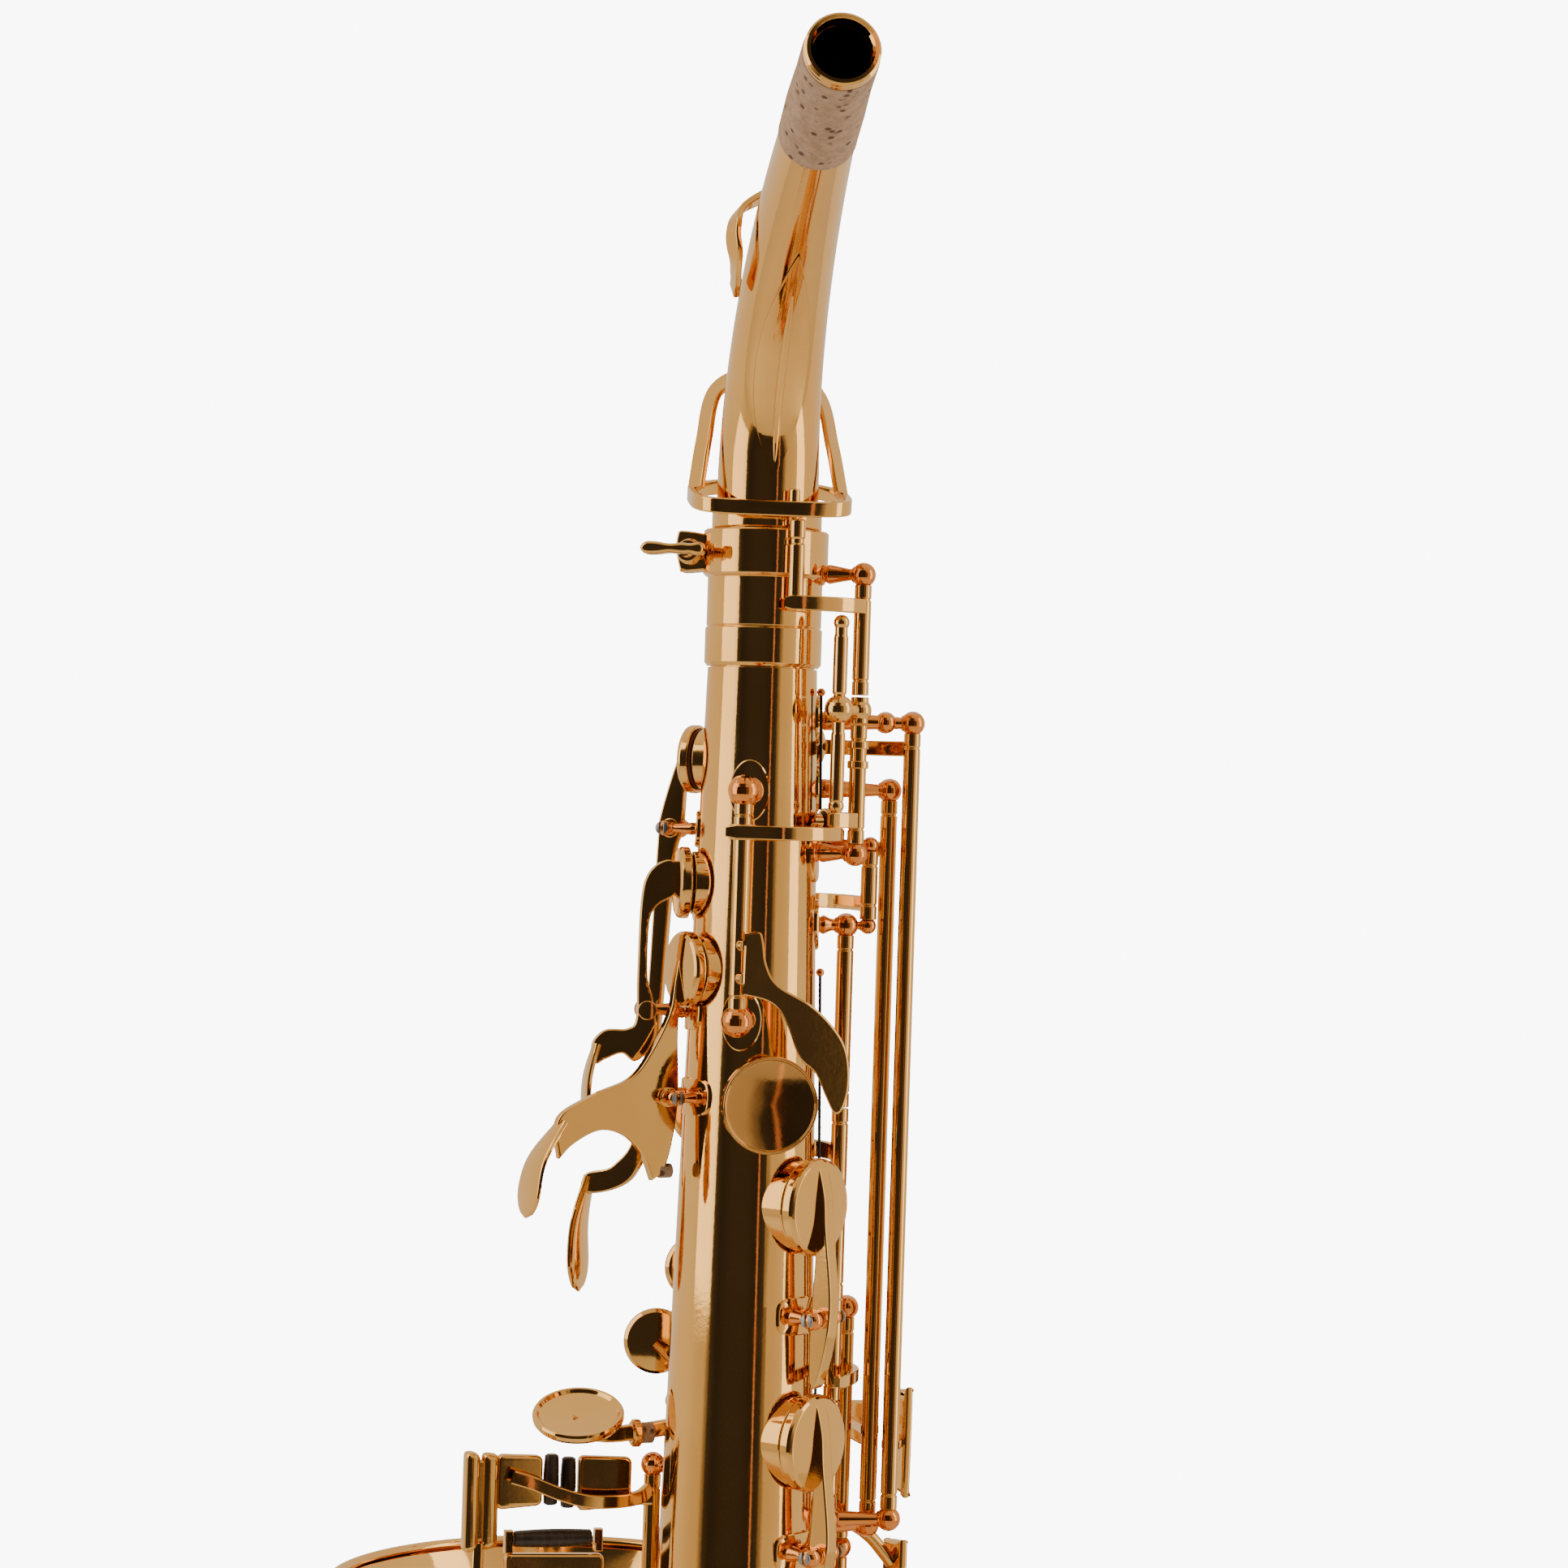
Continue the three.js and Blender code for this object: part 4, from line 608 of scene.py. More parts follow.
def turned_post(foot, centre, size=POST_BALL, sides=32, beads=()):
    """A ball on a turned stem: a small collar, a cone that narrows outward, and any beads along it."""
    along = centre - foot
    length = along.length
    stem = [
        (0, 0),
        (size * 0.92, 0),
        (size * 0.92, min(1.0, length * 0.12)),
        (size * 0.62, min(1.5, length * 0.18)),
        (size * 0.8, min(2.4, length * 0.3)),
        (size * 0.5, length - size * 1.25),
        (size * 0.46, length - size * 1.0),
        (size * 0.7, length - size * 0.82),
        (0.1, length - size * 0.4),
    ]
    shells = [turned(stem, foot, along, sides, 0.3), ball(centre, size, sides)]
    for back in beads:
        shells.append(ball(centre - along.normalized() * back, size * 0.9, sides))
    return shells


def foot_plate(angle, depth, half_width, half_height, lift=0.9, oval=True):
    """A thin foot wrapped round the body tube under a post."""
    count = 40
    rings = []
    for share, height in ((1.0, 0.0), (1.0, lift * 0.7), (0.94, lift), (0.5, lift), (0.02, lift)):
        ring = []
        for k in range(count):
            turn = 2 * math.pi * k / count
            power = 1.0 if oval else 0.55
            x = math.copysign(abs(math.cos(turn)) ** power, math.cos(turn)) * half_width * share
            z = math.copysign(abs(math.sin(turn)) ** power, math.sin(turn)) * half_height * share
            radius = cone_at(depth + z) + height - 0.15
            ring.append(place(angle + math.degrees(x / cone_at(depth)), radius, depth + z))
        rings.append(ring)
    return shell(rings)


def body_post(joint, depth, size=POST_BALL, foot=(4.6, 6.4), beads=()):
    centre = on_hinge(joint, depth)
    angle = hinge_angle(joint)
    root = place(angle, cone_at(depth) - 0.4, depth)
    shells = turned_post(root, centre, size, beads=beads)
    if foot:
        shells.append(foot_plate(angle, depth, *foot))
    return shells


def key_tube(joint, top, bottom, radius=KEY_TUBE, cupped=(True, True)):
    """A hinge tube, with a shallow groove near each end, and ends hollowed to sit round a ball."""
    lead = [0.85 if hollow else 0.0 for hollow in cupped]
    start, end = on_hinge(joint, top - lead[0]), on_hinge(joint, bottom + lead[1])
    length = (end - start).length
    rim = radius - 0.2
    notch = [(0, lead[0]), (rim - 0.7, lead[0]), (rim, 0), (radius, 0.1)]
    for at in (3.4, length - 3.4) if length > 12 else ():
        notch += [(radius, at - 0.35), (radius - 0.22, at - 0.15), (radius - 0.22, at + 0.15),
                (radius, at + 0.35)]
    notch += [(radius, length - 0.1), (rim, length), (rim - 0.7, length - lead[1]), (0, length - lead[1])]
    return turned(notch, start, end - start, 28, 0.08)


def slotted_screw(centre, axis, radius=1.5, height=0.7):
    """A small screw head: two half domes with a slot between them."""
    side, top = cross_axes(axis)
    shells = []
    for sign in (-1, 1):
        half = [
            (radius * math.cos(math.radians(turn)), radius * math.sin(math.radians(turn)))
            for turn in range(10, 171, 16)
        ]
        outline = [(x, sign * (y + 0.12)) for x, y in half]
        if sign < 0:
            outline.reverse()
        shells.append(plate(outline, height, centre + axis.normalized() * height / 2, side, top, 0.18))
    return shells


def cup(centre, axis, radius, height=CUP_HEIGHT, dome=0.6):
    """A key cup: a skirt, a rolled edge and a shallow dome, standing on its open side."""
    profile = [(0, 1.3), (radius - 0.75, 1.3), (radius - 0.75, 0), (radius - 0.1, 0), (radius, 0.3)]
    profile += [(radius, height * 0.62), (radius - 0.25, height * 0.84), (radius - 0.9, height)]
    for k in range(1, 9):
        share = k / 8
        profile.append(((radius - 0.9) * (1 - share), height + dome * (1 - (1 - share) ** 2)))
    return turned(profile, centre, axis, 64, 0.12)


def pad_disc(centre, axis, radius, proud=PAD_PROUD):
    return turned(
        [(0, 1.25), (radius, 1.25), (radius, -proud + 0.45), (radius - 0.4, -proud), (0, -proud)],
        centre, axis, 56, 0.2,
    )


def resonator(centre, axis, radius, proud=PAD_PROUD):
    """The small domed disc in the middle of a pad's face."""
    return turned(
        [(0, -proud + 0.1), (radius, -proud + 0.1), (radius, -proud - 0.12), (0, -proud - 0.3)],
        centre, axis, 32, 0.1,
    )


def cup_with_pad(piece, centre, axis, radius, height=CUP_HEIGHT, metal_name="brass"):
    piece.add(metal_name, cup(centre, axis, radius, height))
    piece.add("pad", pad_disc(centre, axis, radius - 1.0))
    if radius > 7:
        piece.add("brass", resonator(centre, axis, radius * 0.36))


# ---------------------------------------------------------------- tone holes

# Each is the angle, the depth, the hole's radius and how far its rim stands off the tube.
TONE_HOLES = {
    "palm_f": (131, 54, 6.2, 1.1),
    "palm_e_flat": (161, 83, 6.5, 1.1),
    "palm_d": (179, 103, 7, 1.1),
    "high_e": (34, 50, 6.5, CHIMNEY_RISE),
    "high_f_sharp": (75, 74, 6, CHIMNEY_RISE),
    "octave": (0, 68, 1.3, 3),
    "c": (62, 124, 6, CHIMNEY_RISE),
    "b": (62, 146, 8.5, CHIMNEY_RISE),
    "bis": (62, 168.5, 8.8, CHIMNEY_RISE),
    "a": (62, 191.5, 9.5, CHIMNEY_RISE),
    "g": (62, 216.5, 10.3, CHIMNEY_RISE),
    "g_sharp": (62, 242, 9, CHIMNEY_RISE),
    "side_c": (296, 157, 9.5, CHIMNEY_RISE),
    "side_b_flat": (296, 211.6, 9.5, CHIMNEY_RISE),
    "f_sharp": (50, 270, 11.5, CHIMNEY_RISE),
    "f": (50, 303, 12.3, CHIMNEY_RISE),
    "e": (50, 337, 13, CHIMNEY_RISE),
    "d": (50, 373, 13.8, CHIMNEY_RISE),
    "low_e_flat": (336, 411, 13, CHIMNEY_RISE),
}


def rim_of(hole):
    _, depth, _, rise = TONE_HOLES[hole]
    return cone_at(depth) + rise


def seat_of(hole):
    """The centre of a closed cup's open side, and the way it faces."""
    angle, depth, _, _ = TONE_HOLES[hole]
    return place(angle, rim_of(hole) + GAP + PAD_PROUD, depth), heading(angle)


def top_of(hole):
    return rim_of(hole) + GAP + PAD_PROUD + CUP_HEIGHT


def chimney(hole):
    angle, depth, radius, _ = TONE_HOLES[hole]
    rim = rim_of(hole)
    base = math.sqrt(max(cone_at(depth) ** 2 - (radius + 1.2) ** 2, 1)) - 1.5
    profile = [
        (radius, base),
        (radius + 0.9, base),
        (radius + 0.9, rim - 0.25),
        (radius + 0.75, rim),
        (radius + 0.15, rim),
        (radius, rim - 0.25),
        (radius, base),
    ]
    return turned(profile, place(0, 0, depth), heading(angle), 56, 0.1)


def make_body_tube():
    piece = Piece("body_tube_form", "body_tube")
    top = 1.5
    inner = lambda depth: cone_at(depth) - TUBE_WALL
    outer = [(CONE_RADIUS, top), (CONE_RADIUS, 32.3), (cone_at(32.3), 32.3)]
    outer += [(cone_at(depth), depth) for depth in range(60, BODY_END, 40)] + [(cone_at(BODY_END), BODY_END)]
    profile = outer + [(inner(BODY_END), BODY_END), (inner(top), top), outer[0]]
    piece.add("brass", turned(profile, place(0, 0, 0), DOWN, 128, 0.1))
    made = piece.make(replaces=("body_tube",))
    bores = []
    for angle, depth, radius, _ in TONE_HOLES.values():
        bores.append(rod(place(angle, 4, depth), place(angle, cone_at(depth) + 3, depth), radius, 48, 0))
    subtract(made, *bores)
    return made


BEADED_POSTS = {("high_e_key_turn", 44)}


def make_body_fittings():
    piece = Piece("body_tube_fittings", body="body")
    piece.add("brass", *[chimney(hole) for hole in TONE_HOLES])
    rose_posts = [
        ("octave_pin_key_turn", 75, POST_BALL, (4.2, 7)),
        ("thumb_octave_key_turn", 61, 3.7, (4.6, 7.2)),
        ("thumb_octave_key_turn", 114, 3.7, (4.6, 7.2)),
        ("high_e_key_turn", 44, POST_BALL, (4.2, 6)),
        ("high_e_key_turn", 232, POST_BALL, (4.2, 6)),
        ("high_f_sharp_key_turn", 60, POST_BALL, (4.2, 6)),
        ("high_f_sharp_key_turn", 234, POST_BALL, (4.2, 6)),
        ("front_f_key_turn", 73, 2, (3, 4)),
        ("front_f_key_turn", 92, 2, (3, 4)),
        ("key_a_turn", 92, POST_BALL, (4.2, 6)),
        ("key_a_turn", 232, POST_BALL, (4.2, 6)),
        ("side_c_touch_turn", 183, POST_BALL, (4.2, 6)),
        ("side_c_touch_turn", 240, POST_BALL, (4.2, 6)),
        ("side_c_touch_turn", 262, POST_BALL, (4.2, 6)),
        ("g_sharp_key_turn", 208, POST_BALL, (4.2, 6)),
        ("g_sharp_key_turn", 252.5, POST_BALL, (4.2, 6)),
        ("low_b_flat_key_turn", 354, POST_BALL, (4.2, 6)),
        ("low_b_key_turn", 222.7, POST_BALL, (4.2, 6)),
        ("low_b_key_turn", 408, POST_BALL, (4.2, 6)),
        ("low_c_sharp_key_turn", 256, POST_BALL, (4.2, 6)),
        ("low_c_sharp_key_turn", 433, POST_BALL, (4.2, 6)),
        ("key_f_turn", 258, POST_BALL, (4.2, 6)),
        ("key_f_turn", 390, POST_BALL, (4.2, 6)),
        ("low_c_key_turn", 393, POST_BALL, (4.2, 6)),
        ("low_c_key_turn", 432, POST_BALL, (4.2, 6)),
    ]
    for joint, depth, size, foot in rose_posts:
        beads = (6.6,) if (joint, depth) in BEADED_POSTS else ()
        *turned_shells, foot_shell = body_post(joint, depth, size, foot, beads)
        piece.add("rose", *turned_shells)
        piece.add("brass", foot_shell)
    for lever in LEVERS.values():
        add_lever_posts(piece, lever)
    add_springs(piece)
    piece.make()


# ---------------------------------------------------------------- levers across the tube

LEVER_BARREL = 4
LEVER_BALL = 1.9


class Lever:
    """A key that rocks across the tube: its joint gives the pivot, its tone hole the cup."""

    def __init__(self, joint, hole, sides=(-1, 1)):
        self.joint = joint
        self.hole = hole
        self.pivot = joint_place(joint)
        offset = self.pivot - AXIS
        self.angle = math.degrees(math.atan2(offset.y, offset.x)) % 360
        self.radius = math.hypot(offset.x, offset.y)
        self.depth = -offset.z
        self.tangent = heading(self.angle + 90)
        self.sides = sides


LEVERS = {
    "palm_d": Lever("palm_d_rock", "palm_d"),
    "palm_e_flat": Lever("palm_e_flat_rock", "palm_e_flat", (-1,)),
    "palm_f": Lever("palm_f_rock", "palm_f"),
    "side_c_lever": Lever("side_c_lever_rock", "side_c"),
    "side_b_flat_lever": Lever("side_b_flat_lever_rock", "side_b_flat"),
}


def add_lever_posts(piece, lever):
    reach = LEVER_BARREL / 2 + GAP + LEVER_BALL
    for side in lever.sides:
        centre = lever.pivot + lever.tangent * side * reach
        foot = place(lever.angle, cone_at(lever.depth) * 0.9, lever.depth)
        foot += lever.tangent * side * reach * 0.8
        piece.add("rose", *turned_post(foot, centre, LEVER_BALL * (1.3 if side < 0 else 1.0)))
        face = centre + lever.tangent * side * LEVER_BALL * 1.12
        piece.add("steel", *slotted_screw(face, lever.tangent * side, 1.55, 0.6))
    piece.add("brass", foot_plate(lever.angle, lever.depth, 7.4, 4.4, 0.9, oval=False))


def fin(lever, outline, thickness=2.5, steps=8, corners=()):
    """A lever's plate, drawn as [radius, depth] in the upright plane at its angle."""
    points = spline([(radius, depth, 0) for radius, depth in outline], steps, True, corners)
    flat = [(point.x, point.y) for point in points]
    return plate(flat, thickness, AXIS.copy(), heading(lever.angle), DOWN, 0.45)


def paddle(lever, start, middle, end, width, thickness=2.0):
    """A finger plate across a lever: narrow at its root, full and rounded at its end, and bowed."""
    points = [place(lever.angle, *at) for at in (start, middle, end)]
    path = spline(points, 12)
    count = len(path)
    sizes = []
    for i in range(count):
        t = i / (count - 1)
        swell = 0.42 + 0.58 * math.sin(math.pi * min(1, t * 1.15) * 0.5) ** 1.2
        tip = math.sqrt(max(0.0, 1 - max(0.0, (t - 0.72) / 0.28) ** 2.2))
        sizes.append((max(0.02, swell * tip), max(0.25, tip)))
    section = []
    sides = 24
    for k in range(sides):
        turn = 2 * math.pi * k / sides
        x = math.cos(turn) * width / 2
        y = math.copysign(abs(math.sin(turn)) ** 0.7, math.sin(turn)) * thickness / 2
        section.append((x, y))
    out = heading(lever.angle)
    return swept(path, section, up=out, sizes=sizes)


def lever_barrel(lever, radius=2.3):
    half = lever.tangent * LEVER_BARREL / 2
    return rod(lever.pivot - half, lever.pivot + half, radius, 32, 0.3)


def add_lever_pad(name, lever):
    centre, axis = seat_of(lever.hole)
    radius = TONE_HOLES[lever.hole][2] + CUP_MARGIN
    piece = Piece(name + "_pad_form", name + "_pad")
    piece.add("pad", pad_disc(centre, axis, radius - 1.0))
    piece.add("brass", resonator(centre, axis, radius * 0.36))
    piece.make()


def make_palm_keys():
    d = LEVERS["palm_d"]
    piece = Piece("palm_d_form", "palm_d")
    centre, axis = seat_of(d.hole)
    piece.add("brass", cup(centre, axis, TONE_HOLES[d.hole][2] + CUP_MARGIN, dome=0.5))
    top, at = top_of(d.hole), TONE_HOLES[d.hole][1]
    piece.add(
        "brass",
        fin(
            d,
            [
                (top - 0.4, at - 6),
                (top + 1.2, at + 2),
                (top + 2.4, at + 10),
                (d.radius + 4.6, d.depth - 10.5),
                (d.radius + 9.5, d.depth - 4.5),
                (d.radius + 18, d.depth - 1),
                (d.radius + 26.4, d.depth + 3.4),
                (d.radius + 28, d.depth + 8),
                (d.radius + 27, d.depth + 14),
                (d.radius + 23.5, d.depth + 10.6),
                (d.radius + 17, d.depth + 7.6),
                (d.radius + 10.5, d.depth + 9),
                (d.radius + 6, d.depth + 13.5),
                (d.radius + 3.4, d.depth + 19.4),
                (d.radius + 0.4, d.depth + 17),
                (d.radius - 1.6, d.depth + 10),
                (d.radius - 2.7, d.depth),
                (top + 0.2, at + 14),
                (top - 0.6, at + 2),
            ],
            corners=(8, 13),
        ),
        paddle(
            d, (d.radius + 26, d.depth + 5.5), (d.radius + 32.5, d.depth + 15),
            (d.radius + 34.6, d.depth + 27.4), 12
        ),
        lever_barrel(d),
    )
    bumper = place(d.angle, d.radius + 1.4, d.depth + 17.2)
    piece.add("cork", rod(bumper, bumper - heading(d.angle) * 3.2, 1.7, 20, 0.3))
    piece.make()
    add_lever_pad("palm_d", d)

    e = LEVERS["palm_e_flat"]
    piece = Piece("palm_e_flat_form", "palm_e_flat")
    centre, axis = seat_of(e.hole)
    piece.add("brass", cup(centre, axis, TONE_HOLES[e.hole][2] + CUP_MARGIN, dome=0.5))
    top, at = top_of(e.hole), TONE_HOLES[e.hole][1]
    piece.add(
        "brass",
        fin(
            e,
            [
                (top - 0.6, at - 4),
                (top + 2.6, at - 5.2),
                (e.radius + 0.6, at - 2),
                (e.radius + 2.1, at + 5),
                (e.radius + 2.4, e.depth - 8),
                (e.radius + 2.4, e.depth + 2),
                (e.radius + 4.4, e.depth + 4.4),
                (e.radius + 9.6, e.depth + 4.8),
                (e.radius + 12.6, e.depth + 8),
                (e.radius + 11.8, e.depth + 12.6),
                (e.radius + 9.4, e.depth + 11.6),
                (e.radius + 5.6, e.depth + 10.2),
                (e.radius + 2.6, e.depth + 12),
                (e.radius - 0.6, e.depth + 9.4),
                (e.radius - 2.2, e.depth + 4),
                (e.radius - 1.2, e.depth - 3),
                (e.radius + 0.1, e.depth - 8),
                (e.radius + 0.1, at + 10),
                (e.radius - 1.6, at + 5.6),
                (top + 0.1, at + 2.4),
            ],
        ),
        paddle(
            e,
            (e.radius + 11.4, e.depth + 8),
            (e.radius + 13.4, e.depth + 16),
            (e.radius + 13.7, e.depth + 25.4),
            12,
        ),
        lever_barrel(e),
    )
    piece.make()
    add_lever_pad("palm_e_flat", e)

    f = LEVERS["palm_f"]
    piece = Piece("palm_f_form", "palm_f")
    centre, axis = seat_of(f.hole)
    piece.add("brass", cup(centre, axis, TONE_HOLES[f.hole][2] + CUP_MARGIN, dome=0.5))
    top, at = top_of(f.hole), TONE_HOLES[f.hole][1]
    end = f.depth + 82
    piece.add(
        "brass",
        fin(
            f,
            [
                (top - 0.6, at - 4),
                (top + 1.6, at - 2),
                (f.radius + 2.6, f.depth - 4),
                (f.radius + 3.4, f.depth + 4),
                (f.radius + 4.6, f.depth + 36),
                (f.radius + 6.4, end - 12),
                (f.radius + 12, end - 1.6),
                (f.radius + 19.2, end + 1),
                (f.radius + 19.8, end + 5.6),
                (f.radius + 12, end + 4.4),
                (f.radius + 6.4, end),
                (f.radius + 3.2, end - 11),
                (f.radius + 1, f.depth + 38),
                (f.radius - 0.8, f.depth + 8),
                (f.radius - 2.6, f.depth),
                (top + 0.2, at + 6),
            ],
        ),
        paddle(
            f, (f.radius + 18.6, end + 1.4), (f.radius + 21, end + 14), (f.radius + 20.6, end + 29.4), 12
        ),
        lever_barrel(f),
    )
    piece.make()
    add_lever_pad("palm_f", f)


def make_side_levers():
    for name in ("side_c_lever", "side_b_flat_lever"):
        lever = LEVERS[name]
        piece = Piece(name + "_form", name)
        centre, axis = seat_of(lever.hole)
        piece.add("brass", cup(centre, axis, TONE_HOLES[lever.hole][2] + CUP_MARGIN, 3.2, dome=0.7))
        top, at = top_of(lever.hole), TONE_HOLES[lever.hole][1]
        piece.add(
            "brass",
            fin(
                lever,
                [
                    (top + 0.2, at - 9.4),
                    (top + 2.3, at - 3),
                    (top + 3, at + 5),
                    (lever.radius + 3, lever.depth - 6),
                    (lever.radius + 2.8, lever.depth + 2),
                    (lever.radius + 1.6, lever.depth + 9),
                    (lever.radius - 0.4, lever.depth + 15.4),
                    (lever.radius - 2.2, lever.depth + 15.6),
                    (lever.radius - 2.6, lever.depth + 8),
                    (lever.radius - 2.4, lever.depth),
                    (top + 0.2, at + 10),
                    (top - 0.6, at),
                ],
                thickness=3.8,
            ),
            lever_barrel(lever),
        )
        piece.make()
        add_lever_pad(name, lever)


def add_springs(piece):
    """Blued needle springs, standing close beside the tube under the hinges they press on."""
    for angle, top, bottom, lean in (
        (317, 37.5, 65, 0.0),
        (320, 103, 148, 1.0),
        (322, 262, 292, 1.0),
        (322, 352, 386, 1.0),
        (348, 187, 214, 0.5),
    ):
        near, far = cone_at(top) + 1.4, cone_at(bottom) + 1.4
        piece.add("blued", rod(place(angle, near, top), place(angle + lean, far, bottom), 0.36, 10, 0))
        piece.add("rose", turned_post(place(angle, near - 2, top), place(angle, near, top), 1.0, 20)[1])


# ---------------------------------------------------------------- receiver, screw and neck

CLAMP_ANGLE = 144
EAR_SPREAD = 4
SCREW_RADIUS = 1.6
CLAMP_AXIS = heading(CLAMP_ANGLE + 90)
CLAMP_POINT = joint_place("neck_screw_turn")
RECEIVER_BAND = RECEIVER_BORE + 2.35


def make_receiver():
    piece = Piece("neck_receiver_form", "neck_receiver")
    bore = RECEIVER_BORE
    profile = [(bore, 0), (RECEIVER_BAND - 0.4, 0), (RECEIVER_BAND, 0.4)]
    profile += [(RECEIVER_BAND, 10.4), (RECEIVER_BAND - 0.5, 10.9), (bore + 1.25, 11.2), (bore + 1.2, 11.8)]
    profile += [(bore + 1.2, 22.4), (bore + 0.95, 22.7), (bore + 1.45, 23.1), (bore + 1.45, 31.2)]
    profile += [(bore + 1.1, 31.6), (bore + 0.8, RECEIVER_LENGTH), (bore, RECEIVER_LENGTH), (bore, 0)]
    piece.add("brass", turned(profile, place(0, 0, 0), DOWN, 128, 0.12))
    ear = [
        (bore + 1, 1.2),
        (bore + 7.2, 0.5),
        (bore + 8.3, 1.6),
        (bore + 8.5, 5),
        (bore + 7.6, 9.4),
        (bore + 6.8, 10.2),
        (bore + 1, 9.6),
    ]
    for side in (-1, 1):
        origin = AXIS + CLAMP_AXIS * side * (EAR_SPREAD + 0.8) / 2
        outline = [(point.x, point.y) for point in spline([(r, d, 0) for r, d in ear], 4, True, (0, 6))]
        piece.add("brass", plate(outline, EAR_SPREAD - 0.8, origin, heading(CLAMP_ANGLE), DOWN, 0.5))
    centre = on_hinge("octave_pin_key_turn", 9.9)
    stem, head = turned_post(place(317, bore + 0.8, 9.9), centre)
    piece.add("rose", stem, head)
    made = piece.make()
    subtract(made,
            rod(CLAMP_POINT - CLAMP_AXIS * 10, CLAMP_POINT + CLAMP_AXIS * 10, SCREW_RADIUS + GAP, 40, 0))


def make_neck_screw():
    piece = Piece("neck_screw_form", "neck_screw")
    thread = [(0, 0), (SCREW_RADIUS - 0.5, 0), (SCREW_RADIUS - 0.1, 0.4)]
    pitch = 0.7
    length = 2 * EAR_SPREAD + 11
    turns = int((length - 1.2) / pitch)
    for k in range(turns):
        at = 0.6 + k * pitch
        thread += [(SCREW_RADIUS - 0.25, at), (SCREW_RADIUS, at + pitch * 0.35),
                (SCREW_RADIUS - 0.25, at + pitch * 0.7)]
    thread += [(SCREW_RADIUS, length), (0, length)]
    piece.add("brass", turned(thread, CLAMP_POINT - CLAMP_AXIS * (EAR_SPREAD + 1), CLAMP_AXIS, 40, 0))
    collar = [(0, 0), (2.2, 0), (3.05, 0.5), (3.05, 1.4), (2.3, 2.0), (1.9, 3.2), (2.6, 3.9),
            (2.5, 4.4), (0, 4.4)]
    piece.add("brass", turned(collar, CLAMP_POINT + CLAMP_AXIS * (EAR_SPREAD + GAP), CLAMP_AXIS, 48, 0.2))
    wing = [(-9.8, 0), (-8.6, -1.4), (-6, -1.5), (-3, -1.1), (0, -1.3), (2, -1.2), (4.4, -1.5), (5.2, 0)]
    wing += [(4.4, 1.5), (2, 1.2), (0, 1.3), (-3, 1.1), (-6, 1.5), (-8.6, 1.4)]
    outline = [(point.x, point.y) for point in spline([(x, y, 0) for x, y in wing], 5, True)]
    middle = CLAMP_POINT + CLAMP_AXIS * (EAR_SPREAD + 11.5)
    piece.add("brass", plate(outline, 4.9, middle, heading(CLAMP_ANGLE + 180), DOWN, 0.9))
    piece.make()


NECK_PLANE = heading(NECK_ANGLE)
NECK_ACROSS = heading(NECK_ANGLE - 90)


def neck_point(reach, height, across=0.0):
    return AXIS + NECK_PLANE * reach + UP * height + NECK_ACROSS * across


def cubic(a, b, c, d, t):
    return a * (1 - t) ** 3 + b * 3 * t * (1 - t) ** 2 + c * 3 * t * t * (1 - t) + d * t**3


class Curve:
    """A path walked by its length."""

    def __init__(self, points):
        self.points = points
        self.marks = [0.0]
        for before, after in zip(points, points[1:]):
            self.marks.append(self.marks[-1] + (after - before).length)
        self.length = self.marks[-1]

    def at(self, length):
        length = min(max(length, 0.0), self.length)
        i = max(1, next((k for k, mark in enumerate(self.marks) if mark >= length), len(self.marks) - 1))
        t = (length - self.marks[i - 1]) / (self.marks[i] - self.marks[i - 1])
        return self.points[i - 1].lerp(self.points[i], t)

    def tangent(self, length):
        return (self.at(length + 1) - self.at(length - 1)).normalized()


NECK = Curve(
    [neck_point(0, NECK_START * k / 6) for k in range(6)]
    + [
        cubic(
            neck_point(0, NECK_START),
            neck_point(0, NECK_RISE * 0.57),
            neck_point(NECK_REACH * 0.517, NECK_RISE * 0.868),
            neck_point(NECK_REACH, NECK_RISE),
            k / 90,
        )
        for k in range(91)
    ]
)


def neck_at(length):
    share = min(max((length - NECK_START) / (NECK.length - NECK_START), 0), 1)
    return 11.9 + (NECK_TIP - 11.9) * share


def neck_under(length):
    """The way out of the neck's underside, which faces the player."""
    under = NECK.tangent(length).cross(NECK_ACROSS)
    return under if under.dot(NECK_PLANE) > 0 else -under


def neck_sleeve(profile, sides=96):
    """A closed profile of [radius, length] carried round the neck."""
    rings = []
    for radius, length in profile:
        centre, tangent = NECK.at(length), NECK.tangent(length)
        across = NECK_ACROSS
        out = tangent.cross(across).normalized()
        ring = []
        for k in range(sides):
            turn = 2 * math.pi * k / sides
            ring.append(centre + across * math.cos(turn) * radius + out * math.sin(turn) * radius)
        rings.append(ring)
    return shell(rings, closed=True)


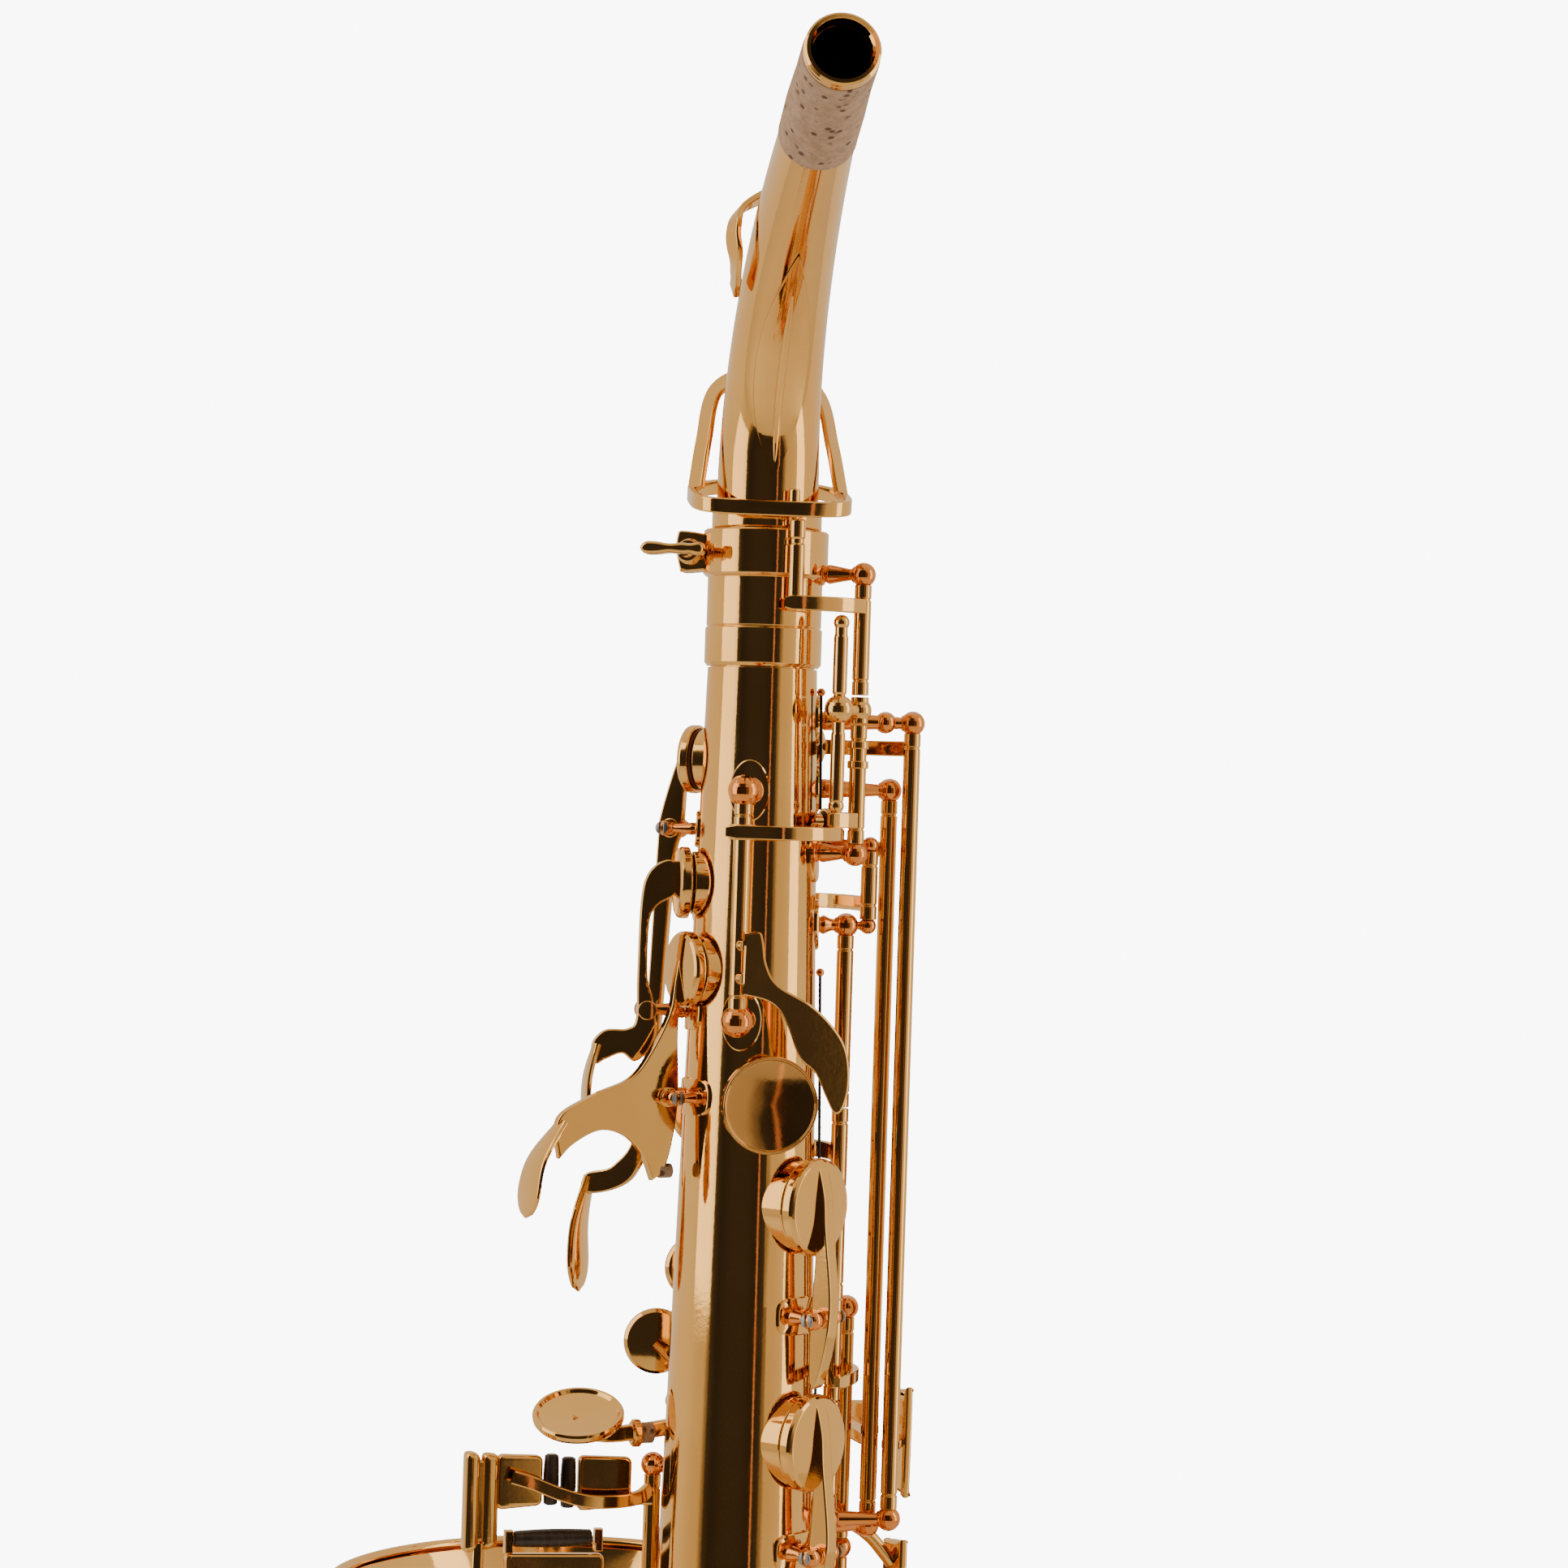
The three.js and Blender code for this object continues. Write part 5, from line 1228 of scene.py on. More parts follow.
def make_neck():
    piece = Piece("neck_tube_form", "neck_tube")
    steps = [NECK.length * k / 60 for k in range(61)]
    outside = [(neck_at(at), at) for at in steps[:-1]]
    inside = [(neck_at(at) - TUBE_WALL, at) for at in reversed(steps[:-1])]
    piece.add("brass", neck_sleeve(outside + inside))
    end = NECK.length
    lip = NECK_TIP + CORK_THICKNESS
    tip = [
        (NECK_TIP - 0.6, end - 3),
        (lip - 0.3, end - 3),
        (lip, end - 2.7),
        (lip, end - 1.9),
        (lip - 0.35, end - 1.6),
        (lip, end - 1.3),
        (lip, end - 0.5),
        (lip - 0.5, end - 0.05),
        (NECK_TIP - 0.2, end),
        (NECK_TIP - 0.7, end - 0.6),
        (NECK_TIP - 1.0, end - 14),
        (NECK_TIP - 0.6, end - 14),
    ]
    piece.add("brass", neck_sleeve(tip))
    tenon = 12.0
    collar = [(tenon - TUBE_WALL, 0), (tenon, 0), (tenon, 25.3), (tenon + 0.75, 25.3), (tenon + 0.9, 25.6)]
    collar += [(tenon + 0.9, 30.2)]
    collar += [(tenon + 0.6, 30.9), (tenon + 0.1, 31), (tenon - TUBE_WALL, 31), (tenon - TUBE_WALL, 0)]
    piece.add("brass", turned(collar, place(0, 0, 25), UP, 128, 0.1))
    piece.make()

    cork = Piece("neck_cork_form", "neck_cork")
    start, stop = end - CORK_LENGTH, end - 3 - GAP
    outer = lip + 0.2
    profile = [(neck_at(start) + GAP, start)]
    for share, height in ((0, 0.1), (0.01, 0.36), (0.35, 0.36), (0.7, 0.0), (0.985, 0.0), (1, -0.25)):
        profile.append((outer + height, start + (stop - start) * share))
    for k in range(8, -1, -1):
        at = start + (stop - start) * k / 8
        profile.append((neck_at(at) + GAP, at))
    fine = []
    for before, after in zip(profile, profile[1:]):
        count = max(1, int(abs(after[1] - before[1]) / 1.2))
        for k in range(count):
            t = k / count
            fine.append((before[0] + (after[0] - before[0]) * t, before[1] + (after[1] - before[1]) * t))
    cork.add("cork", neck_sleeve(fine))
    cork.make()

    brace = Piece("neck_brace_form", "neck_brace")
    first, last = 12.0, 88.0
    rings = []
    count = 48
    for k in range(count + 1):
        share = 0.002 + 0.996 * k / count
        at = first + (last - first) * share
        half = 33 * math.sin(math.pi * share) ** 0.85 * (1.08 - 0.2 * share)
        centre, tangent, under = NECK.at(at), NECK.tangent(at), neck_under(at)
        across = tangent.cross(under).normalized()
        section = []
        for layer, shares in ((GAP + 0.05, range(-10, 11)), (GAP + 1.15, range(10, -11, -1))):
            for s in shares:
                edge = 0.5 if abs(s) == 10 and layer > 1 else 0.0
                turn = math.radians(half * s / 10 * (0.97 if edge else 1))
                radius = neck_at(at) + layer - edge
                section.append(centre + under * math.cos(turn) * radius + across * math.sin(turn) * radius)
        rings.append(section)
    brace.add("brass", shell(rings))
    ridge = [NECK.at(at) + neck_under(at) * (neck_at(at) + GAP + 1.0) for at in range(15, 78, 3)]
    sizes = [(max(0.05, math.sin(math.pi * k / (len(ridge) - 1)) ** 0.5),) * 2 for k in range(len(ridge))]
    brace.add("brass", swept(ridge, round_section(1.0, 16), sizes=sizes))
    brace.make()


NECK_HINGE = joint_place("neck_octave_key_turn")
LOOP_HEIGHT = 8
LOOP_RADIUS = 18


def make_neck_octave_key():
    piece = Piece("neck_octave_key_form", "neck_octave_key")
    tilt = math.radians(12)
    axis = NECK_PLANE * math.sin(tilt) + UP * math.cos(tilt)
    forward = axis.cross(NECK_ACROSS).normalized()
    if forward.dot(NECK_PLANE) < 0:
        forward = -forward
    path = []
    for k in range(96):
        turn = 2 * math.pi * k / 96
        along, across = math.cos(turn), math.sin(turn)
        square = 0.42 if along > 0 else 1.0
        reach = LOOP_RADIUS * math.copysign(abs(along) ** square, along)
        width = LOOP_RADIUS * math.copysign(abs(across) ** square, across)
        path.append(neck_point(0, LOOP_HEIGHT) + forward * reach + NECK_ACROSS * width)
    piece.add("brass", swept(path, bar_section(1.9, 3.6, 0.45), up=axis, closed=True))
    for side in (-1, 1):
        low = neck_point(1.5, LOOP_HEIGHT + 1.2, side * (LOOP_RADIUS - 0.9))
        middle = neck_point(-3, 21, side * 15.2)
        shoulder = neck_point(-8.4, 33, side * 12.4)
        high = NECK_HINGE + NECK_ACROSS * side * 4
        path = spline([low, middle, shoulder, high], 9)
        face = NECK_ACROSS * side * 0.75 + NECK_PLANE * 0.66
        piece.add("brass", swept(path, bar_section(4.6, 1.5, 0.4), up=face))
    half = NECK_ACROSS * 5
    piece.add("brass", rod(NECK_HINGE - half, NECK_HINGE + half, 2.2, 36, 0.3))
    for side in (-1, 1):
        piece.add("steel", *slotted_screw(NECK_HINGE + half * side * 1.02, NECK_ACROSS * side, 1.3, 0.4))

    def ride(length, lift, across):
        return NECK.at(length) - neck_under(length) * (neck_at(length) + lift) + NECK_ACROSS * across

    def beside(length, turn, lift):
        """A place off the neck's side: turn is from its back round to its left."""
        out = -neck_under(length) * math.cos(math.radians(turn)) + NECK_ACROSS * math.sin(math.radians(turn))
        return NECK.at(length) + out * (neck_at(length) + lift)

    strap = spline([NECK_HINGE, ride(48, 4.4, 0), ride(60, 4.9, 2), ride(72, 4.8, 3), ride(79.5, 4.4, 3)], 9)
    away = lambda point: -neck_under(min(90.0, max(30.0, (point - NECK_HINGE).length + 40)))
    piece.add("brass", swept(strap, bar_section(3.6, 1.7, 0.4), up=away))
    hook = [beside(80, 55, 4.4), beside(79.5, 80, 4.0), beside(76, 98, 3.2), beside(70, 104, 2.6),
            beside(65, 104, 2.2)]
    outward = lambda point: (point - NECK.at((point - AXIS).z * 1.08)).normalized()
    piece.add("brass", swept(spline([ride(80, 4.4, 3)] + hook, 9), bar_section(4.4, 1.5, 0.4), up=outward))
    normal = -neck_under(80)
    seat = ride(80, 2.2, 3)
    piece.add("brass", cup(seat, normal, 4, 2.4, 0.4))
    piece.add("pad", pad_disc(seat, normal, 3.1, 0.4))
    piece.make()


# ---------------------------------------------------------------- octave work on the body

PIN_RADIUS = 1.9
PIN_ANGLE = 267
PIN_PLACE = RECEIVER_BAND + GAP + PIN_RADIUS
TEETER_ANGLE = 299
TEETER_PLACE = 21.5


def make_octave_work():
    joint = "octave_pin_key_turn"
    pin = Piece("octave_pin_key_form", "octave_pin_key")
    pin.add("brass", key_tube(joint, 9.9 + 3.2, 38, cupped=(True, False)))
    foot = place(PIN_ANGLE - 9, PIN_PLACE, 0)
    pin.add("brass", arm(on_hinge(joint, 0), place(292, 24, 0), foot, 17.3, 3.4, 3.2))
    shaft = [(0, 0), (PIN_RADIUS - 0.3, 0), (PIN_RADIUS, 0.3), (PIN_RADIUS, 12.6), (PIN_RADIUS - 0.3, 13)]
    shaft += [(PIN_RADIUS - 0.3, 14), (PIN_RADIUS, 14.4), (PIN_RADIUS, 18.2), (PIN_RADIUS - 0.3, 18.6),
            (0, 18.6)]
    pin.add("brass", turned(shaft, place(PIN_ANGLE, PIN_PLACE, 16.6), UP, 40, 0.1))
    tip = place(PIN_ANGLE, PIN_PLACE - 2.2, -0.5)
    pin.add("brass", rod(tip, tip + UP * 8.6, PIN_RADIUS * 0.68, 32, 0.5))
    pin.make()

    saddle = Piece("octave_saddle_form", "octave_saddle")
    saddle.add("brass", ball(on_hinge(joint, 41.5), 2.85, 36))
    saddle.add("brass", key_tube(joint, 38.4, 44.6, 2.1, cupped=(False, False)))
    saddle.add("brass",
            rod(on_hinge(joint, 41.5), place(TEETER_ANGLE + 7, TEETER_PLACE + 1, 41.5), 1.5, 28, 0.3))
    saddle.make()

    at = lambda depth: place(TEETER_ANGLE, TEETER_PLACE, depth)
    teeter = Piece("octave_teeter_form", "octave_teeter")
    teeter.add("brass", ball(at(41.5), 3.4, 36))
    bar = [(0, 0), (1.1, 0), (1.7, 1.2), (1.7, 14), (1.5, 14.6), (1.5, 17.6), (0, 17.6)]
    teeter.add("brass", turned(bar, at(38.8), UP, 36, 0.2))
    lower = [(0, 0), (1.5, 0), (1.5, 2.6), (1.7, 3.2), (1.7, 18.4), (1.1, 19.8), (0, 19.8)]
    teeter.add("brass", turned(lower, at(44.2), DOWN, 36, 0.2))
    teeter.add("brass", ball(at(21.4), 1.88, 28), ball(at(63.9), 1.88, 28))
    teeter.make()

    body = Piece("body_octave_key_form", "body_octave_key")
    hinge = "body_octave_key_turn"
    angle, depth, radius, rise = TONE_HOLES["octave"]
    seat = place(angle, rim_of("octave") + GAP + PAD_PROUD, depth)
    top = rim_of("octave") + GAP + PAD_PROUD + 2.6
    body.add("brass", key_tube(hinge, 45, 71.8, cupped=(False, True)))
    for at in (49.6, 54.2):
        body.add("brass", rod(on_hinge(hinge, at - 0.9), on_hinge(hinge, at + 0.9), 2.5, 32, 0.3))
    body.add("brass", arm(on_hinge(hinge, 0), place(345, 24.745, 0), place(angle, top, 0), 67.2, 3.6, 2.2))
    body.add("brass", arm(on_hinge(hinge, 0), place(306, 23.745, 0), place(294, 20.745, 0), 67.2, 3.6, 2.2))
    body.add("brass", cup(seat, heading(angle), 3.4, 2.6, 0.3))
    body.add("pad", pad_disc(seat, heading(angle), 2.7, 0.45))
    body.make()


THUMB_CURVE = 21.52 + 2.2
THUMB_BEND = 0.28


def make_thumb_key():
    joint = "thumb_octave_key_turn"
    piece = Piece("thumb_octave_key_form", "thumb_octave_key")
    piece.add("brass", key_tube(joint, 64.2, 110.8, 2.05))
    piece.add("brass", arm(place(225, 24.2, 0), place(268, 31.6, 0), place(303, 22.12, 0), 70.5, 3.2, 2.6))
    piece.add("brass", rod(on_hinge(joint, 68.7), on_hinge(joint, 72.3), 3.1, 32, 0.3))
    facing = 242
    outline = [
        (-2.2, 93.6),
        (1.2, 93.2),
        (2.2, 95.4),
        (3.1, 100.7),
        (6, 105.3),
        (13.6, 109.6),
        (19.2, 115),
        (22.2, 120.5),
        (22.9, 127.9),
        (21.6, 133.4),
        (19.6, 134.4),
        (17.6, 130.8),
        (15, 125.3),
        (11.2, 121.7),
        (8.6, 115.3),
        (6.4, 111.2),
        (3.4, 108.9),
        (-2.4, 107.6),
    ]
    points = spline([(x, y, 0) for x, y in outline], 5, True, (0, 17))
    flat = [Vector((point.x, point.y)) for point in points]
    rings = []
    for depth, height in ((0.45, 0.0), (0.1, 0.12), (0.0, 0.5), (0.0, 1.3), (0.12, 1.62), (0.5, 1.8)):
        ring = []
        for point in inset(flat, depth):
            sag = THUMB_BEND * (point.x / THUMB_CURVE) ** 2
            reach = THUMB_CURVE * (1 - sag) + height
            ring.append(place(0, 0, point.y) + heading(facing) * reach + heading(facing + 90) * point.x)
        rings.append(ring)
    piece.add("brass", shell(rings))
    for depth in (96.4, 104):
        piece.add("brass",
                rod(on_hinge(joint, depth), place(hinge_angle(joint) + 5, THUMB_CURVE + 0.9, depth), 1.5, 24))
    piece.make()


def make_thumb_rest():
    piece = Piece("thumb_rest_form", "thumb_rest")
    face = cone_at(133) + 6.7
    stand = 8
    r = 11.3
    profile = [(0, 1.2), (6, 1.2), (6.6, stand - 3.8), (7.6, stand - 3.1), (r - 0.5, stand - 2.6),
            (r - 0.05, stand - 2.0)]
    profile += [(r, stand - 0.2), (r - 0.15, stand + 0.35), (r - 0.45, stand + 0.58), (r - 0.75, stand + 0.4)]
    profile += [(r - 0.95 - k, stand - 0.1 - 1.3 * (1 - ((r - k) / r) ** 2)) for k in (0, 1, 2, 3, 4.5, 6, 8)]
    profile += [(0, stand - 1.4)]
    piece.add("dark", turned(profile, place(255, face - stand, 133), heading(255), 96, 0.12))
    piece.add("brass", foot_plate(255, 133, 8.8, 8.8, 1.6))
    piece.make()


# ---------------------------------------------------------------- stacks and side keys

def standing_turn(joint, hole):
    angle = TONE_HOLES[hole][0]
    centre = place(angle, rim_of(hole) + GAP + PAD_PROUD, 0)
    reach = (on_hinge(joint, 0) - centre).length
    return math.degrees(OPEN_GAP / reach)


def cup_arm(piece, joint, hole, width=4.0):
    """The arm over a cup: it stands on edge, narrows a little where it ends over the cup's middle, and meets
    a small boss on the cup.
    """
    angle, depth, radius, _ = TONE_HOLES[hole]
    height = top_of(hole) + 0.7
    middle = place(angle, height, 0)
    way = 1 if ((hinge_angle(joint) - angle + 540) % 360) - 180 > 0 else -1
    shoulder = middle + heading(angle + 90 * way) * (radius + CUP_MARGIN + 7)
    piece.add("brass", arm(on_hinge(joint, 0), shoulder, middle, depth, width, 2.0))
    boss = place(angle, top_of(hole) - 0.3, depth)
    piece.add("brass",
            turned([(0, 0), (3.6, 0), (3.4, 0.8), (2.2, 1.5), (0, 1.7)], boss, heading(angle), 40, 0.2))


def stack_cup(piece, hole):
    centre, axis = seat_of(hole)
    cup_with_pad(piece, centre, axis, TONE_HOLES[hole][2] + CUP_MARGIN)


def pearl_holder(piece, start, centre, facing, radius=8):
    """A round finger plate with a slightly dished pearl, on a strap from its key."""
    out = heading(facing)
    rim = [(0, 0), (radius * 0.55, 0), (radius - 0.9, 0.35), (radius - 0.1, 1.1), (radius, 2.0),
            (radius - 0.25, 2.5)]
    rim += [(radius - 0.9, 2.55), (radius - 1.15, 1.9), (0, 1.9)]
    piece.add("brass", turned(rim, centre, out, 64, 0.12))
    face = [(0, 1.85), (radius - 1.2, 1.85), (radius - 1.25, 2.35), (radius - 2.2, 2.6), (0, 2.35)]
    piece.add("pearl", turned(face, centre, out, 56, 0.15))
    end = centre + out * 0.6
    piece.add("brass", swept(spline([start, start.lerp(end, 0.5), end], 10), bar_section(3.2, 2.0, 0.5)))


STACKS = [
    (
        92,
        232,
        [
            ("key_c", "c", None),
            ("key_b", "b", (88, 140, 80, 8)),
            ("key_bis", "bis", (84, 160, 78, 4.6)),
            ("key_a", "a", (88, 177.5, 78, 8)),
            ("key_g", "g", (107, 195, 72, 8)),
        ],
    ),
    (
        258,
        390,
        [
            ("key_f_sharp", "f_sharp", None),
            ("key_f", "f", (60, 295, 52, 8)),
            ("key_e", "e", (60, 329, 52, 8)),
            ("key_d", "d", (60, 365, 52, 8)),
        ],
    ),
]
POST_CLEAR = POST_BALL + GAP


def make_stacks():
    for top, bottom, rows in STACKS:
        for i, (name, hole, pearl) in enumerate(rows):
            joint = name + "_turn"
            depth = TONE_HOLES[hole][1]
            before = (TONE_HOLES[rows[i - 1][1]][1] + depth) / 2 + GAP / 2 if i else top + POST_CLEAR
            last = i == len(rows) - 1
            after = bottom - POST_CLEAR if last else (TONE_HOLES[rows[i + 1][1]][1] + depth) / 2 - GAP / 2
            piece = Piece(name + "_form", name, rest_turn=(joint_place(joint), -standing_turn(joint, hole)))
            piece.add("brass", key_tube(joint, before, after, cupped=(i == 0, last)))
            cup_arm(piece, joint, hole)
            stack_cup(piece, hole)
            if pearl:
                angle, along, facing, radius = pearl
                start = place(TONE_HOLES[hole][0], top_of(hole) + 0.6, depth)
                pearl_holder(piece, start, place(angle, cone_at(along) + 15.2, along), facing, radius)
            piece.make()


def side_touch(piece, angle, radius, top, bottom):
    """A flat finger plate with rounded edges, taller than it is wide."""
    half = (bottom - top) / 2
    corner = [(-5, -half + 1.5), (-3.6, -half + 0.2), (4, -half + 1.2), (5.2, -half + 2.6), (5.5, half - 3.4)]
    corner += [(4.4, half - 1.6), (-3.4, half - 0.1), (-4.6, half - 1.4)]
    points = spline([(x, y, 0) for x, y in corner], 5, True)
    outline = [(point.x, point.y) for point in points]
    centre = place(angle, radius, (top + bottom) / 2)
    piece.add("brass", plate(outline, 2.2, centre, heading(angle + 90), DOWN, 0.7))


def make_side_keys():
    palm_plate = 41
    rows = [
        ("high_e_key", "high_e", 47.2, 228.8, 50, (12, 32), (352, palm_plate, 202, 227)),
        ("high_f_sharp_key", "high_f_sharp", 63.2, 230.8, 74, (28, 36), (8, 35, 206, 217)),
    ]
    for name, hole, top, bottom, depth, past, touch in rows:
        joint = name + "_turn"
        piece = Piece(name + "_form", name)
        piece.add("brass", key_tube(joint, top, bottom))
        end = place(TONE_HOLES[hole][0], top_of(hole) + 0.7, 0)
        piece.add("brass", arm(on_hinge(joint, 0), place(past[0], past[1], 0), end, depth))
        stack_cup(piece, hole)
        angle, radius, high, low = touch
        side_touch(piece, angle, radius, high, low)
        middle = (high + low) / 2
        stalk = [on_hinge(joint, middle), place(angle, radius - 0.4, middle)]
        piece.add("brass", swept(stalk, bar_section(4.4, 2.2, 0.5), up=UP))
        piece.make()
    piece = Piece("front_f_key_form", "front_f_key")
    joint = "front_f_key_turn"
    piece.add("brass", key_tube(joint, 75.3, 89.7))
    piece.add("brass", arm(on_hinge(joint, 0), place(32, 44, 0), place(84, cone_at(92) + 14, 0), 87))
    touch = place(84, cone_at(92) + 13, 91)
    knob = [(0, 0), (4.2, 0), (4.9, 0.8), (4.7, 1.7), (4.0, 2.3), (0, 2.6)]
    piece.add("pearl", turned(knob, touch, heading(74), 48, 0.2))
    piece.make()
    joint = "side_c_touch_turn"
    for name, high, low, fork, touch in (
        ("side_c_touch", 183, 240, 197.5, (238, 258)),
        ("side_b_flat_touch", 240, 262, 249, (262, 286)),
    ):
        piece = Piece(name + "_form", name)
        piece.add("brass", key_tube(joint, high + POST_CLEAR, low - POST_CLEAR))
        end = place(304, cone_at(fork) + 8.4, 0)
        piece.add("brass", arm(on_hinge(joint, 0), place(336, cone_at(fork) + 13, 0), end, fork, 3))
        branch = on_hinge(joint, low - POST_CLEAR - 4)
        shoulder = place(353, palm_plate - 1, touch[0] + 6)
        piece.add("brass", wire([branch, branch.lerp(shoulder, 0.55) + UP * 2, shoulder], 1.6, 4, 20))
        side_touch(piece, 353, palm_plate, *touch)
        piece.make()


# ---------------------------------------------------------------- bow and bell

def bow_point(length, radius=0.0, turn=0.0):
    """A place round the bow's centre line: turn is about it, from the outside of the bend."""
    bend = max(0.0, length - BOW_LEAD) / BOW_RADIUS
    centre = AXIS + Vector((0, BOW_RADIUS - BOW_RADIUS * math.cos(bend), 0))
    centre.z = AXIS.z - BOW_TOP + max(0.0, BOW_LEAD - length) - BOW_RADIUS * math.sin(bend)
    out = Vector((0, -math.cos(bend), -math.sin(bend)))
    return centre + out * math.cos(turn) * radius + Vector((1, 0, 0)) * math.sin(turn) * radius


BOW_LENGTH = BOW_LEAD + math.pi * BOW_RADIUS
BOW_START = cone_at(BODY_END)


def bow_at(share):
    return BOW_START + (BELL_TUBE - BOW_START) * share


LOW_C_TURN = 60
LOW_C_HOLE = 14.5


def bow_place(turn, out=0.0):
    angle = math.radians(turn)
    point = AXIS + Vector((out, BOW_RADIUS - BOW_RADIUS * math.cos(angle), 0))
    point.z = AXIS.z - BOW_TOP - BOW_RADIUS * math.sin(angle)
    return point


def make_bow():
    piece = Piece("bow_form", "bow")
    count, sides = 72, 96
    rings = []
    for layer, steps in ((0.0, range(count + 1)), (-TUBE_WALL, range(count, -1, -1))):
        for k in steps:
            share = k / count
            ring = [
                bow_point(BOW_LENGTH * share, bow_at(share) + layer, 2 * math.pi * j / sides)
                for j in range(sides)
            ]
            rings.append(ring)
    piece.add("brass", shell(rings, closed=True))
    made = piece.make()
    rim = bow_at(LOW_C_TURN / 180) + CHIMNEY_RISE
    subtract(made, rod(bow_place(LOW_C_TURN, 4), bow_place(LOW_C_TURN, rim + 3), LOW_C_HOLE, 56, 0))
    fittings = Piece("bow_fittings", body="body")
    base = math.sqrt(bow_at(0.33) ** 2 - (LOW_C_HOLE + 1) ** 2) - 3
    wall = LOW_C_HOLE + 0.9
    profile = [(LOW_C_HOLE, base), (wall, base), (wall, rim - 0.2), (wall - 0.15, rim),
            (LOW_C_HOLE, rim), (LOW_C_HOLE, base)]
    fittings.add("brass", turned(profile, bow_place(LOW_C_TURN), Vector((1, 0, 0)), 64, 0.1))
    pivot = on_hinge("low_c_key_turn", 504)
    foot = Vector((AXIS.x + bow_at(0.2) - 3, pivot.y, pivot.z))
    fittings.add("rose", *turned_post(foot, pivot))
    fittings.make()


BELL_FLARE = [
    (BELL_TUBE, BOW_TOP),
    (BELL_TUBE * 1.09, BOW_TOP - 60),
    (BELL_TUBE * 1.23, BOW_TOP - 115),
    (BELL_TUBE * 1.42, BOW_TOP - 158),
    ((BELL_TUBE + BELL_RIM) * 0.56, BELL_RIM_DEPTH + 20),
    (BELL_RIM - 1.5, BELL_RIM_DEPTH + 1.2),
]


def bell_outline():
    return [(p.x, p.y) for p in spline([(r, d, 0) for r, d in BELL_FLARE], 14)]


def bell_at(depth):
    line = bell_outline()
    for (r0, d0), (r1, d1) in zip(line, line[1:]):
        if d1 <= depth <= d0:
            return r0 + (r1 - r0) * (d0 - depth) / (d0 - d1)
    return line[0][0] if depth > line[0][1] else line[-1][0]


BELL_RIGHT = 335
BELL_LEFT = 195
BELL_HOLES = {
    "low_b": (BELL_RIGHT, 400, 17),
    "low_b_flat": (BELL_RIGHT, 344, 17.5),
    "low_c_sharp": (BELL_LEFT, 424, 15),
}


def bell_rim_of(hole):
    return bell_at(BELL_HOLES[hole][1]) + CHIMNEY_RISE + 1


def make_bell():
    piece = Piece("bell_form", "bell")
    outer = [(r, -d) for r, d in bell_outline()]
    inner = [(r - TUBE_WALL, z) for r, z in reversed(outer)]
    piece.add("brass", turned(outer + inner + [outer[0]], bell_place(0, 0, 0), UP, 160, 0))
    bead = []
    for k in range(19):
        turn = 2 * math.pi * k / 18
        bead.append((outer[-1][0] - TUBE_WALL / 2 + 1.6 * math.cos(turn),
                outer[-1][1] + 0.6 + 1.6 * math.sin(turn)))
    bead[-1] = bead[0]
    piece.add("brass", turned(bead, bell_place(0, 0, 0), UP, 160, 0))
    made = piece.make()
    bores = []
    for name, (angle, depth, radius) in BELL_HOLES.items():
        bores.append(rod(bell_place(angle, 8, depth), bell_place(angle, bell_rim_of(name) + 4, depth),
                radius, 64, 0))
    subtract(made, *bores)
    fittings = Piece("bell_fittings", body="body")
    for name, (angle, depth, radius) in BELL_HOLES.items():
        rim = bell_rim_of(name)
        base = math.sqrt(bell_at(depth) ** 2 - (radius + 1) ** 2) - 4
        profile = [(radius, base), (radius + 0.9, base), (radius + 0.9, rim - 0.2), (radius + 0.7, rim)]
        profile += [(radius, rim), (radius, base)]
        fittings.add("brass", turned(profile, bell_place(0, 0, depth), heading(angle), 64, 0.1))
    fittings.make()


RING_LENGTH = 16
BELL_RING_LENGTH = 11
BODY_JOINT = BODY_END - RING_LENGTH / 2
BELL_JOINT = BOW_TOP - BELL_RING_LENGTH + 1


def joint_ring(name, centre, inner, height):
    piece = Piece(name + "_form", name)
    inner = inner + GAP
    profile = [(inner, 0), (inner + 1.6, 0), (inner + 2.2, 0.5), (inner + 2.2, 1.2), (inner + 1.5, 2.0)]
    profile += [(inner + 1.2, 2.8), (inner + 1.2, height - 2.8), (inner + 1.5, height - 2.0)]
    profile += [(inner + 2.2, height - 1.2), (inner + 2.2, height - 0.5), (inner + 1.6, height),
            (inner, height)]
    piece.add("brass", turned(profile + [profile[0]], centre, DOWN, 128, 0.12))
    piece.make()


# ---------------------------------------------------------------- guards, brace, ring and hook

def ring_wire(centre, axis, radius, size):
    side, top = cross_axes(axis)
    path = []
    for k in range(64):
        turn = 2 * math.pi * k / 64
        path.append(centre + side * math.cos(turn) * radius + top * math.sin(turn) * radius)
    return swept(path, round_section(size, 18), closed=True)


def make_strap_ring():
    piece = Piece("strap_ring_form", "strap_ring")
    angle, depth = 266, 262
    radius = cone_at(depth) + 12
    piece.add("brass", ring_wire(place(angle, radius, depth), heading(angle + 90), 7.4, 1.7))
    neck = [(0, 0), (3.6, 0), (2.8, 1.2), (2.4, 2.4), (2.6, 3.6), (0, 4.2)]
    piece.add("brass", turned(neck, place(angle, cone_at(depth) + 1.2, depth), heading(angle), 40, 0.2))
    piece.add("brass", foot_plate(angle, depth, 6.6, 12.6, 1.7, oval=False))
    piece.make()


